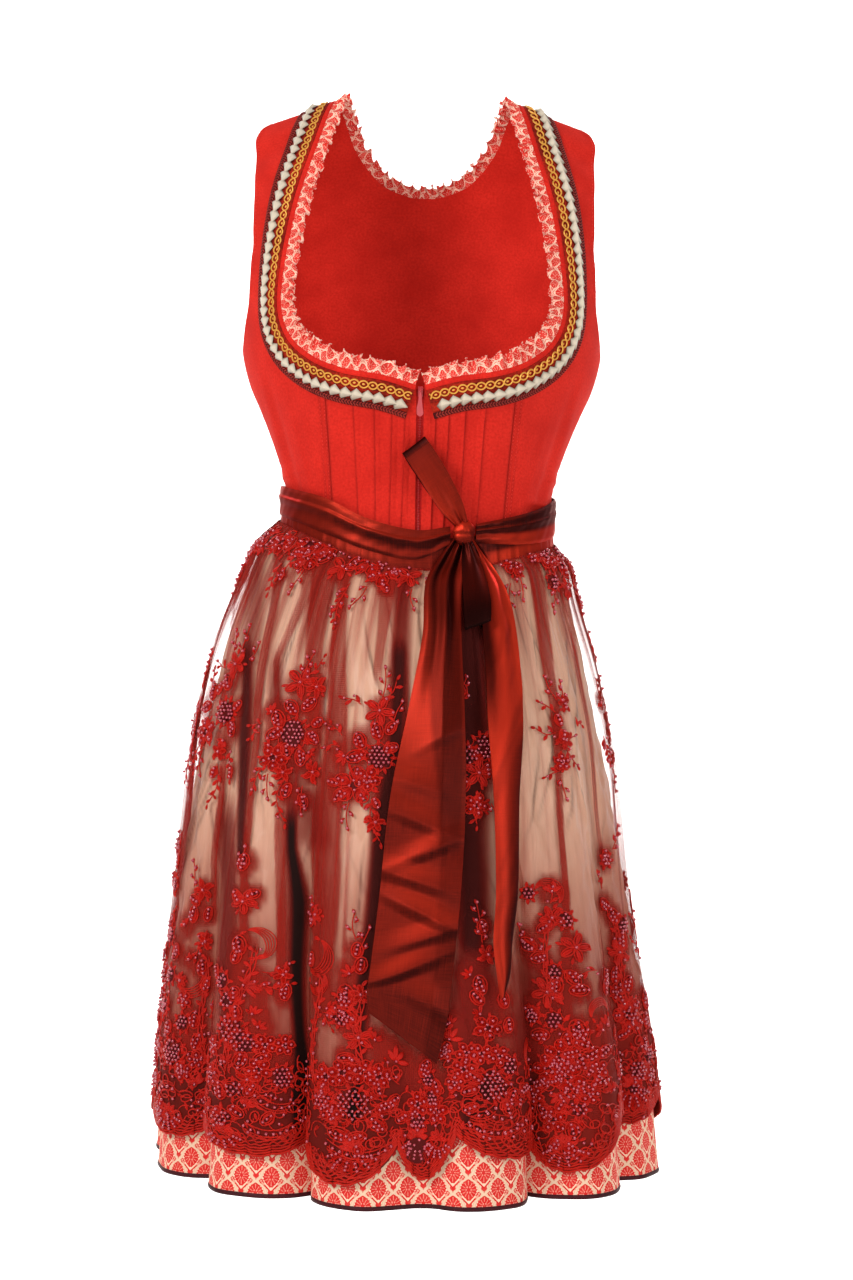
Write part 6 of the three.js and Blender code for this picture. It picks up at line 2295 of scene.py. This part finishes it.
    def make(self) -> None:
        """Draws every motif and builds the petals, cords and pearls."""
        self.edging()
        draw = {
            Work.BLOOM: self.bloom,
            Work.STAR: self.star,
            Work.CLUSTER: self.cluster,
            Work.LOBE: self.lobe,
            Work.SPRAY: self.spray,
            Work.BUDS: self.buds,
            Work.LEAVES: self.leaves,
            Work.SCROLL: self.scroll,
            Work.FAN: self.fan,
            Work.CHAIN: self.chain,
            Work.STEM: self.stem,
        }
        for kind in Work:
            for place in kind.places():
                self.at = place[:3]
                draw[kind](float(place[3]))
        self.lay_petals(np.array(self.petals), "petals", satin_petal(), 0.3, Stock.EMBROIDERY)
        self.lay_petals(np.array(self.grounds), "grounds", lens(6, 8), 0.1, Stock.GROUND)
        self.lay_pearls(np.array(self.pearls))
        self.lay_cords()
        log.info(
            "embroidery: %d petals, %d pearls, %d cords", len(self.petals), len(self.pearls), len(self.cords)
        )

    def lay_petals(self, petals: Array, name: str, template: Array, off: float, stock: Stock) -> None:
        """Lays petals or grounds: each runs from its root to its tip, and stands up from the net."""
        root = self.on_net(petals[:, :2], petals[:, 6:])
        turn = np.radians(petals[:, 2])
        end = self.on_net(petals[:, :2] + polar(petals[:, 3], turn), petals[:, 6:])
        keep = self.within(root, 1) & self.within(end, 1)
        start, _, out_a = self.apron.place(root[:, 0], root[:, 1], off)
        finish, _, out_b = self.apron.place(end[:, 0], end[:, 1], off)
        on = finish - start
        long = np.minimum(np.linalg.norm(on, axis=-1), petals[:, 3] * 1.25)[:, None]
        on, up = unit(on), unit(out_a + out_b)
        aside = unit(np.cross(up, on))
        sizes = np.concatenate([long, petals[:, 4:6]], 1)

        def laid(part: Array) -> Shell:
            """The chosen petals."""
            axes = (on[part], aside[part], np.cross(on, aside)[part])
            return scattered(template, start[part], *axes, sizes[part])

        self.shared(name, laid, root, keep, stock)

    def lay_pearls(self, pearls: Array) -> None:
        """Lays the pearls on the net, each on its thread."""
        spots = self.on_net(pearls[:, :2], pearls[:, 3:])
        keep = self.within(spots, 2)
        wide = pearls[:, 2:3]
        here, across, out = self.apron.place(spots[:, 0], spots[:, 1], 1.9)
        axes = (across[keep], np.cross(out, across)[keep], out[keep])
        shell = scattered(ball(5, 7), here[keep], *axes, np.repeat(wide, 3, 1)[keep])
        make_piece("lace_pearls", shell, Stock.PEARL, crease=90)

    @staticmethod
    def laid_cords(points: Array, ups: Array, radius: Array, part: Array, closed: bool) -> Shell:
        """The chosen cords of many."""
        return tubes(points[part], ups[part], radius[part], 5, closed)

    def lay_cords(self) -> None:
        """Lays the outlines and the couched cords."""
        loops = np.array(self.loops)
        t = circle(12)
        turn = np.radians(loops[:, 2:3])
        x, y = loops[:, 3:4] * np.cos(t), loops[:, 4:5] * np.sin(t)
        local = np.stack([x * np.cos(turn) - y * np.sin(turn), x * np.sin(turn) + y * np.cos(turn)], -1)
        local = local + loops[:, None, :2]
        spots = self.on_net(local, np.broadcast_to(loops[:, None, 5:], (len(loops), 12, 3)))
        keep = self.within(spots, 0.5).all(1)
        points, _, ups = self.apron.place(spots[..., 0], spots[..., 1], 0.8)
        outlines = partial(self.laid_cords, points, ups, np.full((len(loops), 1), 0.75), closed=True)
        self.shared("outlines", outlines, spots[:, 0], keep, Stock.CORDING)
        paths = np.array([path for path, _ in self.cords])
        radius = np.array([r for _, r in self.cords])
        flat = np.isnan(paths[..., 2])
        netted = self.on_net(paths[..., :2], np.nan_to_num(paths[..., 2:]))
        spots = np.where(flat[..., None], paths[..., :2], netted)
        keep = self.within(spots, 0.2).all(1)
        points, _, ups = self.apron.place(spots[..., 0], spots[..., 1], 0.5)
        cords = partial(self.laid_cords, points, ups, radius[:, None], closed=False)
        self.shared("cords", cords, spots[:, 0], keep, Stock.CORDING)


# ---------------------------------------------------------------- the sash and its bow


@dataclass
class Sash:
    """The waistband of the apron and the sash wound over it."""

    waist: Waist
    cloth: float = 1.0
    lifts: tuple[float, float, float] = (3.4, 6.0, 7.8)
    around: float = 115.0  # the waist's mean radius, for the flat map
    outside: float = 122.0  # the sash's mean radius, for its flat size
    # The turns' edges: angle round, and the heights of the top and of the bottom.
    right: Array = rows_of(
        (-180, -374, -403),
        (-90, -377, -405),
        (-60, -384, -414),
        (-40, -393, -426),
        (-20, -412, -441),
        (0, -422, -449),
        (13.5, -418, -436),
    )
    left: Array = rows_of(
        (24.5, -415, -433),
        (50, -403, -432),
        (80, -388, -424),
        (120, -379, -409),
        (179.6, -374, -403),
    )
    crossing: Array = rows_of((132, -380, -414), (180, -384, -418), (228, -380, -414))

    def stretch(self, degrees: Array, top: Array, bottom: Array, lift: Array) -> Shell:
        """A length of sash round the waist between two edges, its surface raised by lift, with painted light
        from its normals. On the wearer's left it is turned over below its middle, where more painted light is
        added, and a little is taken off above.
        """
        share = np.linspace(0, 1, lift.shape[0])[:, None]
        height = lerp(top, bottom, share)
        degrees = np.broadcast_to(degrees, height.shape)
        grid = self.waist.point(degrees, height, lift)
        uv = flat_map(np.radians(degrees) * self.around, height)
        # Painted light: more below the middle on the wearer's left, a little less above.
        left = smoothstep(degrees, 22, 44)
        turned = left * (0.8 * smoothstep(share, 0.5, 0.7) - 0.14 * (1 - smoothstep(share, 0.4, 0.6)))
        return wall(grid, uv, self.cloth, {"painted_light": np.clip(0.72 * painted_light(grid) + turned, 0, 1)})

    def pleated(self, degrees: Array, rows: int, lift: float, towards: float, seed: float) -> Array:
        """The lift of a drawn-in sash: long pleats that run along it and deepen towards one end."""
        share = np.linspace(0, 1, rows)[:, None]
        drawn = 0.45 + 0.8 * bump(degrees - towards, 34)
        pleat = np.sin(share * 9.5 + 0.5 * np.sin(np.radians(degrees) * 5 + seed) + seed)
        fold = smoothstep(share, 0.28, 0.34) * (1 - smoothstep(share, 0.34, 0.62)) * 1.3
        edge = -0.8 * (bump(share, 0.06) + bump(share - 1, 0.06))
        return lift - 0.4 + 0.55 * drawn * pleat + fold + edge + 0.35 * waver(degrees * 0.3 + share * 4, seed)

    def make(self) -> None:
        """Builds and dresses the waistband and the sash's turns."""
        taffeta = Stock.TAFFETA
        degrees = np.linspace(-105, 105, 260)
        height = self.waist.height(degrees)
        low = np.linspace(0, 1, 12)[:, None]
        lift = (
            self.lifts[0]
            + 0.35 * waver(degrees * 0.9, 2.0)[None] * lerp(0.2, 1, low)
            + 0.9 * smoothstep(low, 0.6, 0.95)
        )
        band = make_piece(
            "waistband",
            self.stretch(degrees, height + 9, height - 21, lift),
            taffeta,
            ("apron_waistband",),
        )
        for name, node, table, lift, towards in (
            ("sash_turn_right", "sash_right", self.right, self.lifts[1], 13.5),
            ("sash_turn_left", "sash_left", self.left, self.lifts[1], 24.5),
            ("sash_turn_back", "sash_cross_back", self.crossing, self.lifts[2], 180.0),
        ):
            degrees = np.linspace(table[0, 0], table[-1, 0], int(abs(table[-1, 0] - table[0, 0]) * 1.6))
            shape = self.pleated(degrees, 26, lift, towards, table[0, 0] * 0.01)
            shell = self.stretch(degrees, hermite(table, 1, degrees), hermite(table, 2, degrees), shape)
            turn = make_piece(name, shell, taffeta, (node,))


@dataclass
class Bow:
    """The bow beside the centre front: its knot, two loops and two tails of doubled taffeta."""

    form: BodiceForm
    skirt: SkirtForm
    waist: Waist
    cloth: float = 1.0
    knot: tuple[float, float, float, float, float] = (43.0, -424.0, 20.0, 14.0, 24.0)
    # Stations: centre, height, distance in front, width, turn about its length, lean.
    tail_right: Stations = (
        (40, -428, 3, 12, 8, 0),
        (33, -446, 4, 24, 10, 0),
        (25, -470, 4, 34, 12, 0),
        (24, -520, 4, 36, 8, 0),
        (20, -590, 4, 52, -6, 0),
        (14, -665, 4, 68, 6, 0),
        (9, -745, 4, 72, -5, 0),
        (2, -820, 4, 74, 5, 0),
        (-4, -874, 4, 74, 0, -36),
    )
    tail_left: Stations = (
        (50, -430, 4, 7, 10, 0),
        (59, -448, 3, 16, 14, 0),
        (70, -476, 4, 28, 18, 0),
        (78, -520, 4, 34, 22, 0),
        (83, -590, 6, 38, 30, 0),
        (85, -670, 9, 28, 34, 0),
        (86, -750, 11, 23, 30, 0),
        (83, -790, 11, 20, 30, 0),
        (84, -822, 12, 13, 28, 16),
        (83, -838, 12, 5, 28, 30),
    )
    loop_up: Stations = (
        (40, -416, 14, 12, 0, 26),
        (30, -399, 18, 22, 0, 31),
        (13, -371, 19, 26, 0, 34),
        (-2, -349, 15, 26, 0, 37),
        (-5, -345, 10, 26, 0, 38),
        (5, -360, 6, 26, 0, 36),
        (24, -391, 6, 20, 0, 32),
        (38, -412, 8, 10, 0, 28),
    )
    loop_down: Stations = (
        (46, -432, 11, 8, 12, 0),
        (51, -455, 15, 20, 14, 0),
        (56, -488, 16, 26, 14, 10),
        (57, -508, 13, 26, 14, 20),
        (57, -510, 10, 26, 14, 20),
        (54, -484, 9, 23, 14, 10),
        (49, -450, 8, 14, 12, 0),
    )

    # The long tail's creases: how far down, slope, middle, half width and height.
    CREASES = (
        (0.44, -0.03, 0.3, 0.7, 1.4),
        (0.53, 0.02, -0.4, 0.8, 1.6),
        (0.60, 0.03, -0.2, 0.9, 2.2),
        (0.655, -0.03, 0.1, 0.8, 3.0),
        (0.71, 0.02, -0.3, 0.9, 3.2),
        (0.765, 0.035, 0.1, 1.0, 3.4),
        (0.82, -0.02, 0.2, 0.9, 3.0),
        (0.87, -0.03, -0.2, 0.9, 3.4),
        (0.92, 0.02, 0.4, 0.6, 2.0),
    )

    def apron_front(self, x: Array, height: Array) -> Array:
        """How far forward the apron's ridges reach: an ellipse at each level, without its folds."""
        waist = self.waist.front_height(x)
        fall = np.clip((height - waist) / (self.skirt.HEM - waist), 0, 1)
        level = lerp(self.waist.SIDE, self.skirt.HEM, fall)
        share = np.clip(x / hermite(self.skirt.LEVELS, 1, level), -1, 1)
        return -hermite(self.skirt.LEVELS, 2, level) * np.sqrt(1 - share**2) - 7

    def bodice_front(self, x: Array, height: Array) -> Array:
        """How far forward the bodice reaches."""
        return self.form.front(x, height, np.zeros_like(x))[..., 1]

    def length(self, stations: Stations, front: object, rows: int, columns: int) -> tuple[Array, ...]:
        """The bare surface of a length of sash: its stations joined by a smooth curve.

        Args:
            stations: its rows of numbers, from the knot on.
            front: what gives how far forward the cloth under it reaches.
            rows: points along it.
            columns: points across it.

        Returns:
            The grid, its normals, the share of the way along and the share across from -1 to 1.
        """
        table = np.array(stations)
        depth = front(table[:, 0], table[:, 1]) - table[:, 2]
        measure = along_path(np.stack([table[:, 0], depth, table[:, 1]], -1))
        keyed = np.concatenate([measure[:, None], table, depth[:, None]], 1)
        at = np.linspace(0, measure[-1], rows)
        x, z, _, width, turn, lean, y = (hermite(keyed, k, at) for k in range(1, 8))
        turn, lean = np.radians(turn), np.radians(lean)
        aside = np.stack([np.cos(turn) * np.cos(lean), np.sin(turn), np.cos(turn) * np.sin(lean)], -1)
        share = np.linspace(-1, 1, columns)
        middle = np.stack([x, y, z], -1)
        grid = middle[:, None] + aside[:, None] * (width / 2)[:, None, None] * share[None, :, None]
        return grid, grid_normals(grid), np.linspace(0, 1, rows)[:, None], share[None, :]

    def ribbon(
        self,
        name: str,
        node: str,
        surface: tuple[Array, ...],
        shape: Array,
        flat: tuple[float, float],
        tone_and_painted_light: Array,
        deep: Array,
    ) -> None:
        """Builds one length of sash from its bare surface, how far it stands off it, how strong its painted
        light is and where painted shade lies on it.
        """
        grid, normals, _, share = surface
        grid = grid + normals * shape[..., None]
        # Painted light from the normals, scaled by the given strength.
        bright = np.clip(painted_light(grid) * tone_and_painted_light, 0, 1)
        length = along_path(grid[:, grid.shape[1] // 2])
        width = np.linalg.norm(grid[:, -1] - grid[:, 0], axis=-1)
        uv = flat_map(share * width[:, None] / 2, length[:, None])
        marks = {"painted_light": bright, "deep": np.clip(deep, 0, 1)}
        piece = make_piece(name, wall(grid, uv, self.cloth, marks), Stock.TAFFETA, (node,))

    def tie(self) -> None:
        """Builds and dresses the knot: an egg with shallow folds that gather at its middle."""
        x, height, wide, deep, tall = self.knot
        seat = self.waist.point(19.0, height, 3.4 + 0.8 + deep / 2)[1]
        t, turn = np.linspace(0, math.pi, 26)[:, None], np.linspace(0, 2 * math.pi, 49)
        swell = 1 + 0.06 * np.sin(turn * 4 + 2.5 * np.cos(t)) * np.sin(t) - 0.1 * bump(np.cos(t) + 0.1, 0.12)
        points = np.stack(
            [
                wide / 2 * swell * np.sin(t) * np.sin(turn),
                -deep / 2 * swell * np.sin(t) * np.cos(turn),
                tall / 2 * np.cos(t) * np.ones_like(turn) * (0.97 + 0.03 * swell),
            ],
            -1,
        ) + np.array([x, seat, height])
        faces = quads(np.arange(26 * 49).reshape(26, 49)).reshape(-1, 4)
        uv = flat_map(turn * 10, t * 12).reshape(-1, 2)
        # Painted light from the normals, raised a little all over.
        marks = {"painted_light": np.clip(painted_light(points) + 0.25, 0, 1).ravel()}
        shell = Shell(points.reshape(-1, 3), faces, uv, marks)
        make_piece("knot", shell, Stock.TAFFETA, ("bow_knot",))

    def long_tail(self) -> None:
        """The long tail: two flats that meet in a ridge, with creases across it."""
        surface = self.length(self.tail_right, self.apron_front, 220, 48)
        _, _, t, share = surface
        drawn = 2.0 * np.sin(share * 7 + 0.6) * (1 - smoothstep(t, 0.08, 0.42))
        fold_at = lerp(0.05, 0.62, t)
        tent = np.where(share < fold_at, (share + 1) / (fold_at + 1), (1 - share) / (1 - fold_at))
        ridge = 6.0 * tent * smoothstep(t, 0.03, 0.2) * (1 - 0.6 * smoothstep(t, 0.5, 0.75))
        # Painted highlight: lit adds painted light in a band just above each crease.
        cross = lit = 0.0
        for where, slope, side, wide, high in self.CREASES:
            off = t - where - slope * share
            lit = lit + 0.16 * high * bump(off + 0.022, 0.02) * bump(share - side, wide * 0.8)
            stand = np.clip(1 + off / 0.036, 0, 1) * np.clip(1 - off / 0.018, 0, 1)
            cross = cross + high * stand * bump(share - side, wide)
        # Painted light weakens lower down; painted shade lies on one side of the upper tail and under the
        # knot, thinning at one edge.
        left = 1 - smoothstep(share - lerp(-0.55, 0.3, smoothstep(t, 0.2, 0.62)), -0.1, 0.14)
        upper = smoothstep(t, 0.08, 0.2) * (1 - smoothstep(t, 0.6, 0.68))
        tone_and_painted_light = (
            0.64
            - 0.18 * smoothstep(t, 0.5, 0.62)
            - 0.12 * smoothstep(t, 0.88, 0.93)
            + lit * smoothstep(t, 0.4, 0.5)
        )
        under_knot = 0.5 * (1 - smoothstep(t, 0.06, 0.24)) * (1 - bump(share - 0.85, 0.14))
        deep = 0.5 * (1 - left) * upper + under_knot
        deep = deep * (1 - 0.75 * bump(share - 0.96, 0.07))
        self.ribbon("tail_long", "bow_tail_right", surface, drawn + ridge + cross, (0.074, 0.45), tone_and_painted_light, deep)

    def short_tail(self) -> None:
        """The short tail, folded along its length. Its painted light weakens down it, is dimmed on one side
        near the top and varies along its kinks, and painted shade lies on that side near the top and at its
        end.
        """
        surface = self.length(self.tail_left, self.apron_front, 200, 40)
        _, _, t, share = surface
        shape = 1.5 * np.sin(share * 5 + 1) * (1 - smoothstep(t, 0.15, 0.5))
        shape = shape + 3.0 * (1 - share**2) * smoothstep(t, 0.2, 0.5)
        shape = shape + 0.9 * waver(t * 22 + share * 2, 2.0) * bump(t - 0.3, 0.2)
        kinks = 1 - 0.3 * smoothstep(waver(t * 24 + share * 1.6, 2.0), 0.1, 0.7)
        dimmed = 0.6 * smoothstep(-share, 0.1, 0.7) * (1 - smoothstep(t, 0.3, 0.6))
        tone_and_painted_light = kinks * lerp(2.7, 1.7, smoothstep(t, 0.45, 0.75)) * (1 - dimmed)
        deep = 0.75 * smoothstep(-share, 0.0, 0.7) * (1 - smoothstep(t, 0.25, 0.5))
        deep = deep + 0.25 * smoothstep(t, 0.88, 1)
        self.ribbon("tail_short", "bow_tail_left", surface, shape, (0.034, 0.41), tone_and_painted_light, deep)

    def standing_loop(self) -> None:
        """The loop that stands up from the knot."""
        surface = self.length(self.loop_up, self.bodice_front, 120, 30)
        _, _, t, share = surface
        shape = 1.2 * np.sin(share * 6) * (bump(t, 0.2) + bump(t - 1, 0.2))
        shape = shape + 1.3 * (1 - share**2) * bump(t - 0.28, 0.2)
        # Painted light fades across the loop, and painted shade lies on its second half.
        tone_and_painted_light, deep = 0.9 - 0.25 * share, 0.5 * smoothstep(t, 0.45, 0.55)
        self.ribbon("loop_standing", "bow_loop_up", surface, shape, (0.026, 0.19), tone_and_painted_light, deep)

    def hanging_loop(self) -> None:
        """The loop that hangs down from the knot."""
        surface = self.length(self.loop_down, self.apron_front, 110, 30)
        _, _, t, share = surface
        shape = 1.3 * np.sin(share * 5 + 1) * (bump(t, 0.25) + bump(t - 1, 0.25))
        shape = shape + 1.5 * (1 - share**2) * bump(t - 0.3, 0.2)
        # Painted shade over most of the loop, thinner near one edge high up and deeper at its middle; its
        # painted light is halved.
        deep = 0.74 - 0.4 * bump(share - 0.7, 0.3) * bump(t - 0.2, 0.15) + 0.2 * bump(t - 0.5, 0.15)
        self.ribbon("loop_hanging", "bow_loop_down", surface, shape, (0.026, 0.165), 0.5, deep)

    def make(self) -> None:
        """Builds and dresses the knot, the tails and the loops."""
        self.tie()
        self.long_tail()
        self.short_tail()
        self.standing_loop()
        self.hanging_loop()


# ---------------------------------------------------------------- the studio


@dataclass(frozen=True)
class Lamp:
    """A soft box: where it is, what it points at, how large and how strong it is."""

    name: str
    place: tuple[float, float, float]
    aim: tuple[float, float, float]
    size: float
    power: float
    tint: str = "FFFFFF"

    def add(self) -> None:
        """Adds the light."""
        data = bpy.data.lights.new(self.name, "AREA")
        data.shape, data.size, data.energy = "DISK", self.size, self.power
        data.color = colour(self.tint)[:3]
        lamp = bpy.data.objects.new(self.name, data)
        lamp.location = self.place
        towards = np.array(self.aim) - np.array(self.place)
        flat = math.hypot(towards[0], towards[1])
        lamp.rotation_euler = (math.atan2(flat, -towards[2]), 0, math.atan2(-towards[0], towards[1]))
        bpy.context.scene.collection.objects.link(lamp)


@dataclass(frozen=True)
class Studio:
    """The camera, the lights and a plain pale floor that runs up into a wall."""

    camera_place: tuple[float, float, float] = (0.010, -2.5, -0.524)
    lens: float = 72.5
    roll: float = -1.1
    floor: float = -1.42
    lamps: tuple[Lamp, ...] = (
        Lamp("key", (-1.9, -2.3, 0.9), (0, 0, -0.55), 1.3, 62),
        Lamp("fill", (2.1, -2.2, 0.1), (0, 0, -0.55), 1.6, 26),
        Lamp("front", (0.0, -3.4, -0.2), (0, 0, -0.6), 1.6, 18),
        Lamp("back", (0.4, 2.6, 0.8), (0, 0, -0.5), 1.8, 30),
        Lamp("wash_right", (-3.0, 2.4, 2.2), (0, 6.5, -0.1), 2.0, 300),
        Lamp("wash_left", (3.0, 2.4, 2.2), (0, 6.5, -0.1), 2.0, 300),
    )

    def make(self) -> None:
        """Sets up the camera, the floor, the lights and the sky."""
        scene = bpy.context.scene
        scene.view_settings.view_transform = "Standard"
        data = bpy.data.cameras.new("camera")
        data.lens, data.clip_end = self.lens, 60
        camera = bpy.data.objects.new("camera", data)
        camera.location = self.camera_place
        camera.rotation_euler = (math.pi / 2, math.radians(self.roll), 0)
        scene.collection.objects.link(camera)
        scene.camera = camera

        u, v = np.linspace(-9, 9, 2), np.linspace(0, 1, 40)
        bend = np.clip((v - 0.5) / 0.2, 0, 1) * math.pi / 2
        y = np.where(v < 0.5, -8 + v * 26, 5 + 1.5 * np.sin(bend))
        z = np.where(v < 0.7, self.floor + 1.5 * (1 - np.cos(bend)), self.floor + 1.5 + (v - 0.7) * 30)
        grid = np.stack(np.broadcast_arrays(u[None, :], y[:, None], z[:, None]), -1)[::-1]
        faces = quads(np.arange(80).reshape(40, 2)).reshape(-1, 4)
        mesh = bpy.data.meshes.new("floor")
        mesh.from_pydata(grid.reshape(-1, 3).tolist(), [], faces.tolist())
        material = bpy.data.materials.new("paper_matt_white")
        material.use_nodes = True
        paper = {"Base Color": colour("F4F2F0"), "Roughness": 0.9}
        set_inputs(material.node_tree, material.node_tree.nodes["Principled BSDF"], paper)
        mesh.materials.append(material)
        mesh.shade_smooth()
        floor = bpy.data.objects.new("floor", mesh)
        scene.collection.objects.link(floor)
        for lamp in self.lamps:
            lamp.add()
        world = bpy.data.worlds.new("studio")
        world.use_nodes = True
        sky = {"Color": (1, 1, 1, 1), "Strength": 0.42}
        set_inputs(world.node_tree, world.node_tree.nodes["Background"], sky)
        scene.world = world


def main() -> None:
    """Builds the studio and every sub-assembly, and reports each piece."""
    logging.basicConfig(level=logging.INFO, format="%(message)s")
    Studio().make()
    form, waist = BodiceForm(), Waist()
    neck, skirt = NeckForm(form), SkirtForm(waist)
    Bodice(form, neck, waist).make()
    NeckTrims(neck).make()
    Zip(form).make()
    Skirt(skirt).make()
    apron = ApronLayers(skirt)
    apron.make()
    Embroidery(apron).make()
    Sash(waist).make()
    Bow(form, skirt, waist).make()


if __name__ == "__main__":
    main()
